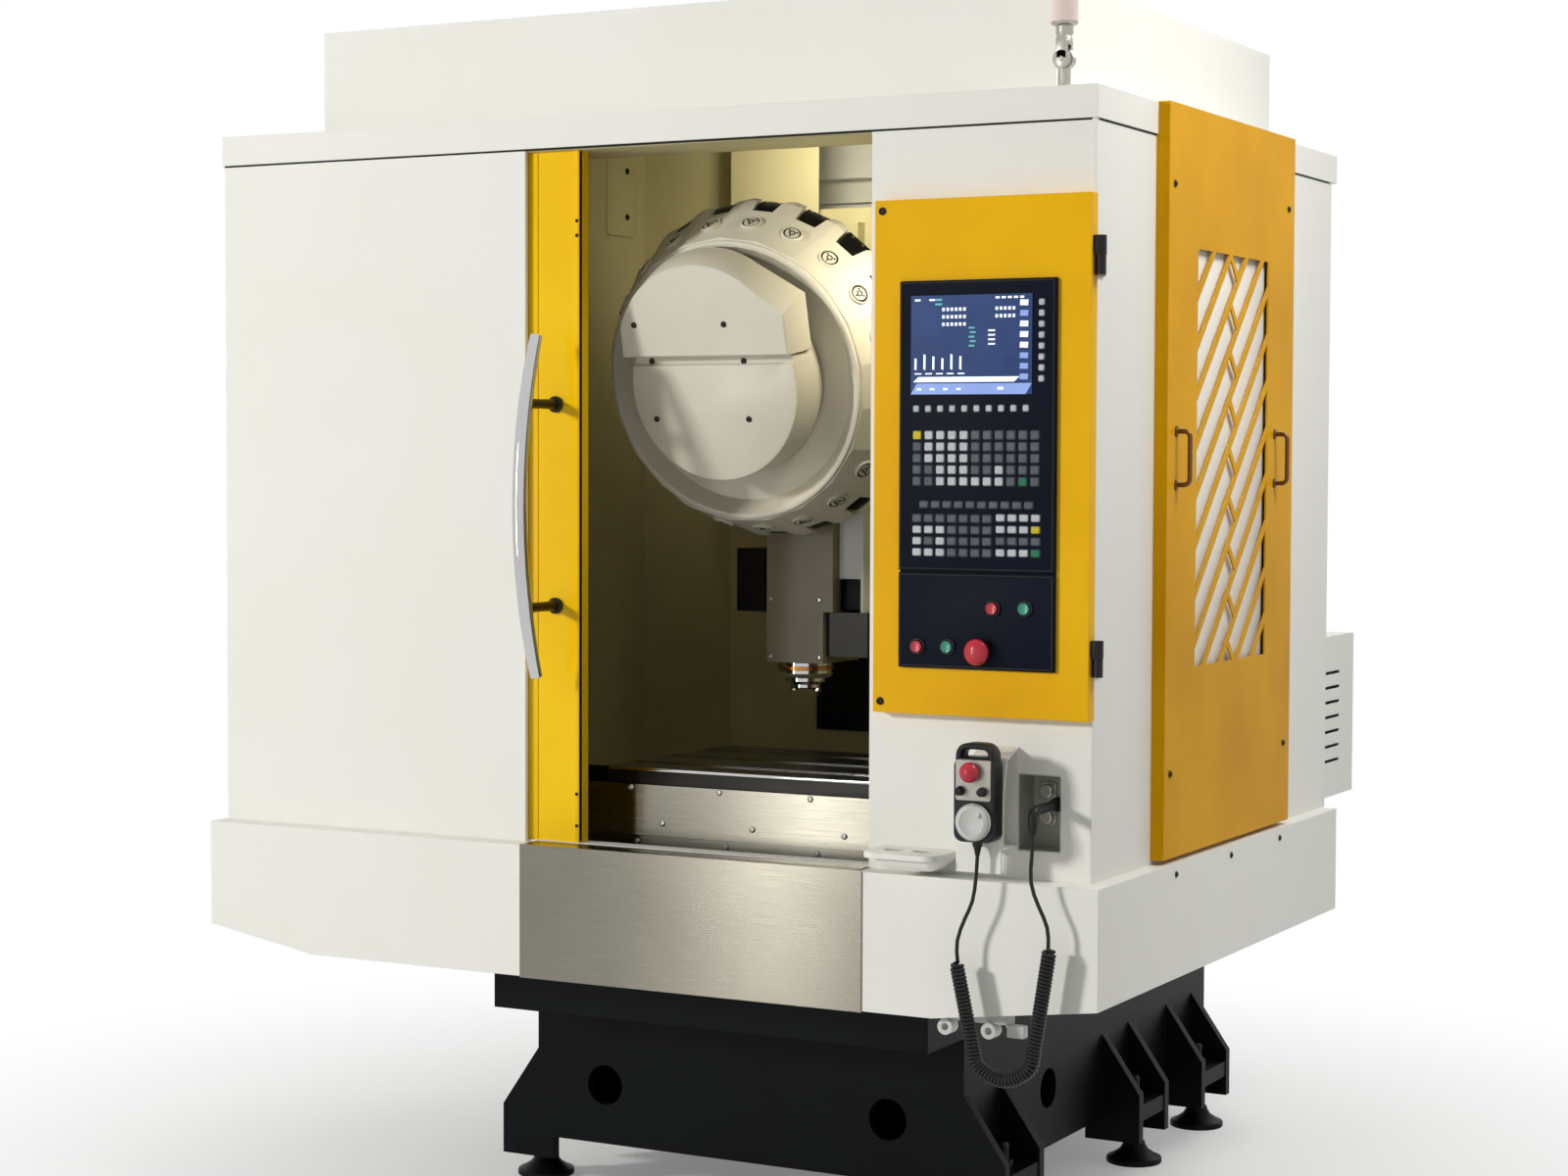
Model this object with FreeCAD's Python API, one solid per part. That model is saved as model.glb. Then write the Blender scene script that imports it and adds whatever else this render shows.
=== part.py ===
import FreeCAD, Part
import os
from math import acos, asin, atan2, cos, degrees, floor, pi, radians, sin, sqrt, tan

# Drilling and tapping centre with a sliding front door, a swinging control panel,
# a tilted 21-pocket tool turret and a hand pendant on a curly cord.
# Millimetres.  X runs to the operator's right, Y to the back, Z up from the floor.
# The origin lies on the floor under the middle of the machine's outer size.

V = FreeCAD.Vector
X_AXIS = V(1, 0, 0)
Y_AXIS = V(0, 1, 0)
Z_AXIS = V(0, 0, 1)

# ---------------------------------------------------------------- outer sizes
SHEET = 2.0                 # cabinet sheet metal
FOLD = 8.0                  # folded edge of a front panel
TOP_SHEET = 3.0             # plate over the work space
FINE = 8                    # sides of thin bars and studs
SMALL = 12                  # sides of small turned details
MEDIUM = 16                 # sides of the feet and holes in the base
LARGE = 24                  # sides of hand-sized turned details
RUN = 0.05                  # running clearance of guided faces
CAB_W = 1708.0              # cabinet width
CAB_D = 1189.0              # cabinet depth
LIP_Z = 1865.0              # top edge of the wall panels
SKIRT_TOP = 669.0           # top of the skirt, foot of the wall panels
SKIRT_OUT_R = 31.0          # skirt beyond the cabinet, right
SKIRT_OUT_L = 3.0           # skirt beyond the cabinet, left
SKIRT_OUT_F = 46.0          # skirt beyond the cabinet, front
GRILLE_PROUD = 23.0         # gold side panel stands off the wall
GRILLE_HANDLE_OUT = 28.0    # its handles beyond that
FRONT_REACH = 123.0         # pendant's stop button in front of the cabinet
REAR_REACH = 1467.0         # back of the louvred box behind the cabinet's front

FACE_R = (CAB_W + SKIRT_OUT_L - GRILLE_PROUD - GRILLE_HANDLE_OUT) / 2
FACE_L = FACE_R - CAB_W
FACE_F = (FRONT_REACH - REAR_REACH) / 2
FACE_B = FACE_F + CAB_D
MX = FACE_R - 749.0         # spindle, turret and base centre

# ---------------------------------------------------------------- base
BASE_HALF = 428.0
BASE_WALL = 20.0
BASE_F = FACE_F + 229.0     # front plate
BASE_B = FACE_F + 1414.0
BEAM_F = FACE_F + 85.0      # front beam under the skirt
BEAM_BOTTOM = 354.0
DECK_Z = 480.0
DECK_T = 40.0
LEG_BOTTOM = 53.0
ARCH_Z = 93.0               # front plate's lower edge between the legs
WING_OUT = 77.0             # gussets beyond the side plates
WING_LEG = 109.0            # leg width measured from the gusset's outer edge
WING_TOP = 255.0
WING_LOW = 144.0
GUSSET_T = 20.0
SHELF_BOTTOM = 92.0
SHELF_TOP = 122.0
SHELF_Y = ((229.0, 398.0), (853.0, 1007.0), (1192.0, 1355.0))
LIFT_HOLE_R = 36.0
LIFT_HOLE_Z = 200.0
LIFT_HOLE_X = 285.0
SIDE_HOLE_Y = FACE_F + 597.0
FOOT_OFFSET = 37.0          # foot centre outside the side plate
FOOT_Y = (313.0, 930.0, 1274.0)
FOOT_R = 52.5
FOOT_RIM = 10.0
FOOT_NECK_R = 20.0
FOOT_H = 40.0
FOOT_BOLT_R = 10.0
FOOT_BOLT_TOP = 165.0
FOOT_HOLE_R = 11.0
NUT_R = 17.0
NUT_H = 14.0

# ---------------------------------------------------------------- bed and slides
BED_HALF = 250.0
BED_F = FACE_F + 70.0
BED_B = FACE_F + 870.0
BED_TOP = 618.0
RAIL_W = 28.0
Y_RAIL_X = 200.0
Y_RAIL_H = 30.0
Y_RAIL_F = FACE_F + 90.0
Y_RAIL_B = FACE_F + 860.0
SADDLE_HALF = 540.0
SADDLE_F = FACE_F + 122.0
SADDLE_D = 430.0
SADDLE_BOTTOM = 680.0
SADDLE_DECK = 698.0
SADDLE_WALL = 12.0
SADDLE_TOP = 742.0
X_RAIL_W = 20.0
X_RAIL_H = 20.0
X_RAIL_OFFSET = 125.0       # rails either side of the table's middle
CARRIAGE_SIDE = 14.0        # carriage wall beside a rail
CARRIAGE_L = 70.0
TABLE_L = 700.0
TABLE_W = 420.0
TABLE_T = 50.0
TABLE_TOP = 794.0
TABLE_X = MX + 135.0        # table centre as shown
TABLE_F = FACE_F + 127.0
SLOT_PITCH = 125.0
SLOT_W = 14.0
SLOT_HEAD_W = 24.0
SLOT_NECK = 13.0
SLOT_DEPTH = 23.0
APRON_HALF = 560.0
APRON_T = 3.0
APRON_TOP = 766.0
APRON_BOTTOM = 677.0
SILL_STEP = 10.0            # lower strip behind the upper one
SILL_BOTTOM = 653.0
SCREW_R = 10.0
Y_SCREW_Z = 633.0
X_SCREW_Z = 720.0
SCREW_LEAD = 16.0
MOTOR_HALF = 30.0
MOTOR_L = 90.0

# ---------------------------------------------------------------- column and head
COLUMN_HALF = 230.0
COLUMN_F = FACE_F + 920.0
COLUMN_B = FACE_F + 1150.0
COLUMN_TOP = 1830.0
Z_RAIL_X = 125.0
Z_RAIL_W = 25.0
Z_RAIL_D = 30.0
Z_RAIL_BOTTOM = 970.0
Z_RAIL_TOP = 1800.0
Z_SCREW_BACK = 20.0         # screw axis in front of the column's face
Z_SCREW_R = 12.0
Z_BEARING_HALF = Z_SCREW_R + 14
Z_MOTOR_HALF = 45.0
Z_MOTOR_H = 90.0
SPINDLE_Y = FACE_F + 463.0
HEAD_F = FACE_F + 417.0
HEAD_L = 57.0
HEAD_R = 59.0
HEAD_R_UPPER = 78.0
HEAD_BOTTOM = 966.0
HEAD_STEP = 1059.0
HEAD_TOP = 1440.0
HEAD_BODY_B = FACE_F + 560.0
ARM_HALF = 90.0
ARM_BOTTOM = 1030.0
ARM_RISE = 60.0
CARRIER_HALF = 160.0
CARRIER_T = 32.0
CARRIER_BOTTOM = 1000.0
NOSE_R = 50.0
NOSE_BOTTOM = 944.0
SPINDLE_R = 38.0
SPINDLE_NOSE_R = 28.0
SPINDLE_STEP = 930.0
SPINDLE_END = 917.0
SPINDLE_SHAFT_R = 26.0
SPINDLE_SHAFT_TOP = 1110.0
TAPER_R = 16.0
TAPER_TOP_R = 9.0
TAPER_L = 48.0
DRIVE_HALF = 75.0
DRIVE_F = FACE_F + 430.0
DRIVE_H = 200.0
SIDE_COVER = (148.0, 470.0, 700.0, 1054.0, 1170.0)
PUMP_BOX = (142.0, 430.0, 519.0, 979.0)

# ---------------------------------------------------------------- turret
TURRET_TILT = 11.0          # axis drops to the front
TURRET_Y = FACE_F + 239.0
TURRET_Z = 1478.5
POTS = 21
POT_PHASE = 7.5             # first pocket past the top, towards +X
POT_R = 19.0
POT_T = 7.0
POT_SIDES = 10
DRUM_FRONT = 48.0
DRUM_FRONT_R = 247.0
DRUM_EDGE = -66.0
DRUM_EDGE_R = 298.0
DRUM_BACK = -90.0
RIM_LIP = 54.0
RIM_R = 244.0
RIM_INNER_R = 235.0
DISH_FLOOR = 26.0
DISH_R = 214.0
WEB_T = 20.0
HUB_R = 95.0
DRUM_WALL_R = 252.0
WINDOW_W = 58.0
WINDOW_NARROW = 40.0
WINDOW_FRONT = -38.0
WINDOW_DEPTH = 26.0
COVER_R = 162.0
COVER_WALL = 3.0
COVER_SIDES = 40
COVER_BACK = 30.0
COVER_FRONT = 123.0
COVER_STEP = 58.0
GROOVE_LOW = 41.0
GROOVE_HIGH = 57.0
GROOVE_DEPTH = 9.0
UPPER_FRONT = 135.0
UPPER_BEVEL = 82.0
CROWN_STEPS = 14            # points along the upper cover's bow
YOKE_IN = 172.0
YOKE_T = 20.0
YOKE_BOTTOM = 1410.0
YOKE_TOP = 1560.0
YOKE_PLATE_T = 18.0
YOKE_GAP = 4.0

# ---------------------------------------------------------------- skirt
SKIRT_SHEET = 3.0
BED_GAP = 5.0               # room between the bed and the pan round it
CURB_H = 40.0               # raised rim round the bed
SKIRT_B = FACE_F + 1167.0
SKIRT_LOW = 442.0           # front's lowest edge
SKIRT_END_L = 481.0
SKIRT_END_R = 477.0
SKIRT_KNEE_L = 734.0        # where the front's lower edge starts to rise
SKIRT_KNEE_R = 495.0
LEDGE = 60.0
APRON_PLATE_L = 287.0
APRON_PLATE_R = 371.0

# ---------------------------------------------------------------- front, door
OPEN_L = FACE_R - 1037.0
OPEN_R = FACE_R - 389.0
PANEL_L_END = FACE_R - 1055.0
OPEN_TOP = 1859.0
DOOR_W = 680.0
DOOR_R = FACE_R - 952.0
DOOR_F = FACE_F + 12.0
DOOR_T = 28.0
DOOR_BOTTOM = 672.0
DOOR_TOP = 1860.0
DOOR_STILE = 86.0
DOOR_RAIL = 190.0
GLASS_T = 6.0
TRACK_L = 1636.0
TRACK_R = 372.0
HANDLE_X = FACE_R - 1000.0
HANDLE_R = 12.5
HANDLE_BOTTOM = 962.0
HANDLE_TOP = 1542.0
HANDLE_END_Y = FACE_F - 50.0
HANDLE_MID_Y = FACE_F - 102.0
HANDLE_POST_Z = (1080.0, 1427.0)
HANDLE_POST_R = 9.0

# ---------------------------------------------------------------- control door
PANEL_W = 370.0
PANEL_OVER = 3.0
PANEL_BOTTOM = 927.0
PANEL_TOP = 1748.0
PANEL_FRONT = FACE_F - 26.0
UNIT_L = FACE_R - 322.0
UNIT_R = FACE_R - 52.0
UNIT_BOTTOM = 1002.0
UNIT_TOP = 1618.0
UNIT_FRONT = FACE_F - 33.0
UNIT_DEPTH = 96.0
UNIT_SEAM = 1156.0
CUT_L = FACE_R - 343.0
CUT_R = FACE_R - 30.0
CUT_BOTTOM = 980.0
CUT_TOP = 1640.0
SCREEN = (FACE_R - 301.0, FACE_R - 92.0, 1437.0, 1594.0)
GLASS_PROUD = 1.5
KEY_H = 2.5
HINGE_Z = ((996.0, 1053.0), (1621.0, 1682.0))
HINGE_X = FACE_R + 12.0
HINGE_Y = FACE_F - 10.0
HINGE_R = 8.5
HINGE_PIN_R = 4.0
BUTTON_R = 9.5
BUTTON_OUT = 13.0
BEZEL_R = 13.5
BEZEL_H = 4.0
STOP_R = 21.0
STOP_OUT = 22.0
STOP_GAP = 0.5              # left between a pressed stop button and its seat

# ---------------------------------------------------------------- pendant and cord
PEND_L = FACE_R - 194.0
PEND_R = FACE_R - 124.0
PEND_BOTTOM = 736.0
PEND_TOP = 892.0
PEND_F = FACE_F - 99.0
PEND_D = 38.0
PEND_X = (PEND_L + PEND_R) / 2
CORD_Y = PEND_F + PEND_D / 2
CORD_R = 2.75
RELIEF_R = 6.5
RELIEF_L = 24.0
COIL_R = 7.0                # centre of the wire from the coil's axis
WIRE_R = 2.5
COIL_TURNS = 9
PLUG_X = FACE_R - 65.0
PLUG_Z = 790.0
PLUG_END_Z = 752.0
PLUG_R = 11.0
RECESS = (FACE_R - 127.0, FACE_R - 49.0, 713.0, 840.0)
RECESS_D = 62.0
SOCKET_R = 11.0

# ---------------------------------------------------------------- roof
ROOF_OVER = 3.0
ROOF_H = 52.0
ROOF_B = FACE_F + 1212.0
ROOF_LIP = 40.0
HOUSING_L = FACE_R - 1584.0
HOUSING_R = FACE_R - 126.0
HOUSING_F = FACE_F + 135.0
HOUSING_TOP = 2115.0
HOUSING_INSET = 25.0
LAMP_X = FACE_R - 86.0
LAMP_Y = FACE_F + 73.0
LAMP_PIVOT_Z = 1968.0
LAMP_R = 22.0
LAMP_H = 190.0
LAMP_STEM_R = 10.0

# ---------------------------------------------------------------- liner
LINER_HALF = 665.0
LINER_F = FACE_F + 66.0
LINER_B = FACE_F + 1000.0
COVER_PLANE = FACE_F + 885.0
COVER_HALF = 395.0
COVER_SPREAD = 52.0
COVER_OPEN = 197.0
COVER_OPEN_BOTTOM = 800.0


def box(x0, x1, y0, y1, z0, z1):
    return Part.makeBox(x1 - x0, y1 - y0, z1 - z0, V(x0, y0, z0))


def rod(radius, start, end):
    way = end.sub(start)
    return Part.makeCylinder(radius, way.Length, start, way)


def unit(v):
    return v * (1.0 / v.Length)


def section_polygon(point, way, radius, sides):
    """An even-sided section square to the way, as large as a round one in area."""
    across = unit(way.cross(Y_AXIS)) if abs(way.y) < 0.9 else unit(way.cross(X_AXIS))
    other = unit(way.cross(across))
    corner = radius * sqrt(2 * pi / (sides * sin(2 * pi / sides)))
    points = []
    for i in range(sides):
        angle = 2 * pi * (i + 0.5) / sides
        points.append(point.add(across * (corner * cos(angle))).add(other * (corner * sin(angle))))
    return polygon(points)


def bar(radius, start, end, sides):
    """A small bar of even-sided section, which keeps the model light."""
    way = end.sub(start)
    return Part.Face(section_polygon(start, unit(way), radius, sides)).extrude(way)


def flat_sided(rings, halved=False):
    """A solid with flat faces between rings of as many points each, halved where they'd twist."""
    faces = [Part.Face(polygon(rings[0])), Part.Face(polygon(rings[-1]))]
    count = len(rings[0])
    for low, high in zip(rings, rings[1:]):
        for i in range(count):
            k = (i + 1) % count
            if halved:
                faces.append(Part.Face(polygon([low[i], low[k], high[k]])))
                faces.append(Part.Face(polygon([low[i], high[k], high[i]])))
            else:
                faces.append(Part.Face(polygon([low[i], low[k], high[k], high[i]])))
    shell = Part.makeShell(faces)
    shell.sewShape()
    solid = Part.makeSolid(shell)
    if solid.Volume < 0:
        solid.reverse()
    return solid


def stacked(profile, sides):
    """A light turned piece from even-sided rings at (radius, height)."""
    turns = [2 * pi * (i + 0.5) / sides for i in range(sides)]
    return flat_sided([[V(r * cos(a), r * sin(a), h) for a in turns] for r, h in profile])


def fuse(shapes):
    if len(shapes) == 1:
        return shapes[0]
    return shapes[0].multiFuse(shapes[1:]).removeSplitter()


def cut(shape, tools):
    return shape.cut(tools)


def polygon(points):
    return Part.makePolygon(points + [points[0]])


def prism(points, way):
    return Part.Face(polygon(points)).extrude(way)


def shell_box(x0, x1, y0, y1, z0, z1, wall, open_faces):
    """A sheet box; open_faces names the sides left out, such as ('-z',)."""
    grow = wall + 1.0
    low = [x0 + wall, y0 + wall, z0 + wall]
    high = [x1 - wall, y1 - wall, z1 - wall]
    for face in open_faces:
        index = "xyz".index(face[1])
        if face[0] == "-":
            low[index] -= grow
        else:
            high[index] += grow
    outer = box(x0, x1, y0, y1, z0, z1)
    inner = box(low[0], high[0], low[1], high[1], low[2], high[2])
    return outer.cut(inner)


def carriage(x_mid, rail_w, y0, y1, bottom, top, rail_top):
    """A slide block astride a rail that runs along Y."""
    half = rail_w / 2 + CARRIAGE_SIDE
    block = box(x_mid - half, x_mid + half, y0, y1, bottom, top)
    slot = box(x_mid - rail_w / 2 - RUN, x_mid + rail_w / 2 + RUN, y0 - 1, y1 + 1, bottom - 1, rail_top + RUN)
    return block.cut(slot)


# ================================================================ base
def side_signs():
    return (-1, 1)


def gusset(side, y0):
    """One triangular side plate of a foot bracket, its leg reaching below the shelf."""
    wall = MX + side * BASE_HALF
    inner = wall - side * (WING_LEG - WING_OUT)
    outer = wall + side * WING_OUT
    points = [
        V(inner, y0, LEG_BOTTOM),
        V(outer, y0, LEG_BOTTOM),
        V(outer, y0, WING_LOW),
        V(wall, y0, WING_TOP),
        V(inner, y0, WING_TOP),
    ]
    return prism(points, V(0, GUSSET_T, 0))


def foot_places():
    return [V(MX + s * (BASE_HALF + FOOT_OFFSET), FACE_F + y, 0) for s in side_signs() for y in FOOT_Y]


def bracket(side, y0, y1):
    wall = MX + side * BASE_HALF
    outer = wall + side * (WING_OUT - 2)
    x0, x1 = sorted((wall, outer))
    shelf = box(x0, x1, y0, y1, SHELF_BOTTOM, SHELF_TOP)
    return [gusset(side, y0), gusset(side, y1 - GUSSET_T), shelf]


def base_frame():
    left = MX - BASE_HALF
    right = MX + BASE_HALF
    front = box(left, right, BASE_F, BASE_F + BASE_WALL, ARCH_Z, DECK_Z)
    back = box(left, right, BASE_B - BASE_WALL, BASE_B, ARCH_Z, DECK_Z)
    deck = box(left, right, BASE_F, BASE_B, DECK_Z - DECK_T, DECK_Z)
    beam = box(left, right, BEAM_F, BASE_F, BEAM_BOTTOM, DECK_Z)
    hollow = box(left + BASE_WALL, right - BASE_WALL, BEAM_F + BASE_WALL, BASE_F, BEAM_BOTTOM + BASE_WALL,
                 DECK_Z - DECK_T)
    sides = [
        box(left, left + BASE_WALL, BASE_F, BASE_B, ARCH_Z, DECK_Z),
        box(right - BASE_WALL, right, BASE_F, BASE_B, ARCH_Z, DECK_Z),
    ]
    parts = [front, back, deck, beam.cut(hollow)] + sides
    for side in side_signs():
        for y0, y1 in SHELF_Y:
            parts += bracket(side, FACE_F + y0, FACE_F + y1)
    bed = box(MX - BED_HALF, MX + BED_HALF, BED_F, BED_B, DECK_Z - DECK_T, BED_TOP)
    bed_hollow = box(MX - BED_HALF + 40, MX + BED_HALF - 40, BED_F + 40, BED_B - 40, DECK_Z - DECK_T - 1,
                     BED_TOP - 40)
    parts.append(bed.cut(bed_hollow))
    for side in side_signs():
        x = MX + side * Y_RAIL_X
        parts.append(box(x - RAIL_W / 2, x + RAIL_W / 2, Y_RAIL_F, Y_RAIL_B, BED_TOP, BED_TOP + Y_RAIL_H))
    for y0, y1 in Y_BEARINGS:
        parts.append(box(MX - MOTOR_HALF, MX + MOTOR_HALF, y0, y1, BED_TOP, Y_SCREW_Z + SCREW_R + 8))
    motor_y = Y_BEARINGS[1][1]
    parts.append(box(MX - MOTOR_HALF, MX + MOTOR_HALF, motor_y, motor_y + MOTOR_L, BED_TOP,
                     Y_SCREW_Z + MOTOR_HALF - 2))
    holes = []
    for side in side_signs():
        x = MX + side * LIFT_HOLE_X
        holes.append(rod(LIFT_HOLE_R, V(x, BASE_F - 1, LIFT_HOLE_Z), V(x, BASE_F + BASE_WALL + 1, LIFT_HOLE_Z)))
    holes.append(rod(LIFT_HOLE_R, V(left - 1, SIDE_HOLE_Y, LIFT_HOLE_Z), V(right + 1, SIDE_HOLE_Y, LIFT_HOLE_Z)))
    for place in foot_places():
        holes.append(bar(FOOT_HOLE_R, place.add(V(0, 0, SHELF_BOTTOM - 1)), place.add(V(0, 0, SHELF_TOP + 1)), FINE))
    holes.append(rod(SCREW_R + RUN, V(MX, Y_BEARINGS[0][0] - 1, Y_SCREW_Z), V(MX, motor_y, Y_SCREW_Z)))
    return fuse(parts).cut(holes)


def hexagon_nut(place, z0):
    points = [
        V(place.x + NUT_R * cos(radians(60 * i)), place.y + NUT_R * sin(radians(60 * i)), z0) for i in range(6)
    ]
    return prism(points, V(0, 0, NUT_H))


def foot(place):
    pad = stacked([(FOOT_R, 0), (FOOT_R, FOOT_RIM), (FOOT_NECK_R, FOOT_H)], MEDIUM)
    stud = bar(FOOT_BOLT_R, V(0, 0, FOOT_H), V(0, 0, FOOT_BOLT_TOP), FINE)
    body = pad.fuse(stud)
    body.translate(place)
    return fuse([body, hexagon_nut(place, SHELF_BOTTOM - NUT_H), hexagon_nut(place, SHELF_TOP)])


# ================================================================ saddle, table
Y_BEARINGS = (
    (FACE_F + 150.0, FACE_F + 170.0),
    (FACE_F + 742.0, FACE_F + 762.0),
)
SADDLE_B = SADDLE_F + SADDLE_D
TABLE_MID_Y = TABLE_F + TABLE_W / 2
X_BEARINGS = (-505.0, 485.0)
BEARING_T = 20.0


def x_screw_line():
    return V(MX + X_BEARINGS[0], TABLE_MID_Y, X_SCREW_Z), V(MX + X_BEARINGS[1] + BEARING_T, TABLE_MID_Y, X_SCREW_Z)


def saddle():
    left = MX - SADDLE_HALF
    right = MX + SADDLE_HALF
    parts = [
        box(left, right, SADDLE_F, SADDLE_B, SADDLE_BOTTOM, SADDLE_DECK),
        box(left, right, SADDLE_F, SADDLE_F + SADDLE_WALL, SADDLE_BOTTOM, SADDLE_TOP),
        box(left, right, SADDLE_B - SADDLE_WALL, SADDLE_B, SADDLE_BOTTOM, SADDLE_TOP),
        box(left, right, SADDLE_F + SILL_STEP, SADDLE_F + SILL_STEP + SADDLE_WALL, SILL_BOTTOM, SADDLE_BOTTOM),
    ]
    for side in side_signs():
        y = TABLE_MID_Y + side * X_RAIL_OFFSET
        parts.append(box(left + 20, right - 20, y - X_RAIL_W / 2, y + X_RAIL_W / 2, SADDLE_DECK,
                         SADDLE_DECK + X_RAIL_H))
        for mid in (SADDLE_F + 90, SADDLE_B - 90):
            parts.append(carriage(MX + side * Y_RAIL_X, RAIL_W, mid - CARRIAGE_L / 2, mid + CARRIAGE_L / 2,
                                  BED_TOP + 4, SADDLE_BOTTOM, BED_TOP + Y_RAIL_H))
    nut_y = SADDLE_F + SADDLE_D / 2
    parts.append(box(MX - MOTOR_HALF, MX + MOTOR_HALF, nut_y - 30, nut_y + 30, Y_SCREW_Z - SCREW_R - 4,
                     SADDLE_BOTTOM))
    for x in X_BEARINGS:
        parts.append(box(MX + x, MX + x + BEARING_T, TABLE_MID_Y - MOTOR_HALF, TABLE_MID_Y + MOTOR_HALF,
                         SADDLE_DECK, SADDLE_TOP))
    motor_x = MX - SADDLE_HALF
    parts.append(box(motor_x, MX + X_BEARINGS[0], TABLE_MID_Y - MOTOR_HALF, TABLE_MID_Y + MOTOR_HALF, SADDLE_DECK,
                     SADDLE_TOP))
    start, end = x_screw_line()
    holes = [
        rod(SCREW_R + RUN, V(MX, nut_y - 31, Y_SCREW_Z), V(MX, nut_y + 31, Y_SCREW_Z)),
        rod(SCREW_R + RUN, start, end.add(V(1, 0, 0))),
    ]
    return fuse(parts).cut(holes)


def saddle_apron():
    left = MX - APRON_HALF
    right = MX + APRON_HALF
    upper = box(left, right, SADDLE_F - APRON_T, SADDLE_F, APRON_BOTTOM, APRON_TOP)
    step = SADDLE_F + SILL_STEP
    lower = box(left, right, step - APRON_T, step, SILL_BOTTOM, SADDLE_BOTTOM)
    join = box(left, right, SADDLE_F - APRON_T, step, APRON_BOTTOM, SADDLE_BOTTOM)
    return fuse([upper, lower, join])


def t_slot(y):
    x0 = TABLE_X - TABLE_L / 2 - 1
    x1 = TABLE_X + TABLE_L / 2 + 1
    neck = box(x0, x1, y - SLOT_W / 2, y + SLOT_W / 2, TABLE_TOP - SLOT_DEPTH, TABLE_TOP + 1)
    head = box(x0, x1, y - SLOT_HEAD_W / 2, y + SLOT_HEAD_W / 2, TABLE_TOP - SLOT_DEPTH, TABLE_TOP - SLOT_NECK)
    return [neck, head]


def table():
    bottom = TABLE_TOP - TABLE_T
    parts = [box(TABLE_X - TABLE_L / 2, TABLE_X + TABLE_L / 2, TABLE_F, TABLE_F + TABLE_W, bottom, TABLE_TOP)]
    for side in side_signs():
        y = TABLE_MID_Y + side * X_RAIL_OFFSET
        for x in (TABLE_X - 150, TABLE_X + 150):
            half = X_RAIL_W / 2 + CARRIAGE_SIDE
            block = box(x - CARRIAGE_L / 2, x + CARRIAGE_L / 2, y - half, y + half, SADDLE_DECK + 4, bottom)
            slot = box(x - CARRIAGE_L, x + CARRIAGE_L, y - X_RAIL_W / 2 - RUN, y + X_RAIL_W / 2 + RUN,
                       SADDLE_DECK, SADDLE_DECK + X_RAIL_H + RUN)
            parts.append(block.cut(slot))
    nut = box(TABLE_X - 30, TABLE_X + 30, TABLE_MID_Y - MOTOR_HALF, TABLE_MID_Y + MOTOR_HALF, SADDLE_DECK + 4, bottom)
    parts.append(nut)
    slots = []
    for row in (-1, 0, 1):
        slots += t_slot(TABLE_MID_Y + row * SLOT_PITCH)
    start = V(TABLE_X - 31, TABLE_MID_Y, X_SCREW_Z)
    slots.append(rod(SCREW_R + RUN, start, start.add(V(62, 0, 0))))
    return fuse(parts).cut(slots)


# ================================================================ column, head
Z_SCREW_Y = COLUMN_F - Z_SCREW_BACK


def column():
    parts = [
        box(MX - COLUMN_HALF, MX + COLUMN_HALF, COLUMN_F, COLUMN_B, DECK_Z, COLUMN_TOP),
    ]
    hollow = box(MX - COLUMN_HALF + 30, MX + COLUMN_HALF - 30, COLUMN_F + 30, COLUMN_B + 1, DECK_Z + 30,
                 COLUMN_TOP - 30)
    body = parts[0].cut(hollow)
    parts = [body]
    for side in side_signs():
        x = MX + side * Z_RAIL_X
        parts.append(box(x - Z_RAIL_W / 2, x + Z_RAIL_W / 2, COLUMN_F - Z_RAIL_D, COLUMN_F, Z_RAIL_BOTTOM,
                         Z_RAIL_TOP))
    half = Z_BEARING_HALF
    for z0 in (Z_RAIL_BOTTOM - 20, Z_RAIL_TOP):
        parts.append(box(MX - half, MX + half, Z_SCREW_Y - half, COLUMN_F, z0, z0 + 20))
    parts.append(box(MX - Z_MOTOR_HALF, MX + Z_MOTOR_HALF, COLUMN_F - 2 * Z_MOTOR_HALF, COLUMN_F, Z_RAIL_TOP + 20,
                     Z_RAIL_TOP + 20 + Z_MOTOR_H))
    parts.append(box(MX - Z_MOTOR_HALF, MX + Z_MOTOR_HALF, COLUMN_F, COLUMN_F + 30, COLUMN_TOP,
                     Z_RAIL_TOP + 20 + Z_MOTOR_H))
    hole = rod(Z_SCREW_R + RUN, V(MX, Z_SCREW_Y, Z_RAIL_BOTTOM - 20), V(MX, Z_SCREW_Y, Z_RAIL_TOP + 20))
    return fuse(parts).cut(hole)


def z_carriage(x, z0, z1, front):
    half = Z_RAIL_W / 2 + CARRIAGE_SIDE
    block = box(x - half, x + half, front, COLUMN_F - 4, z0, z1)
    slot = box(x - Z_RAIL_W / 2 - RUN, x + Z_RAIL_W / 2 + RUN, COLUMN_F - Z_RAIL_D - RUN, COLUMN_F, z0 - 1, z1 + 1)
    return block.cut(slot)


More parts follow.
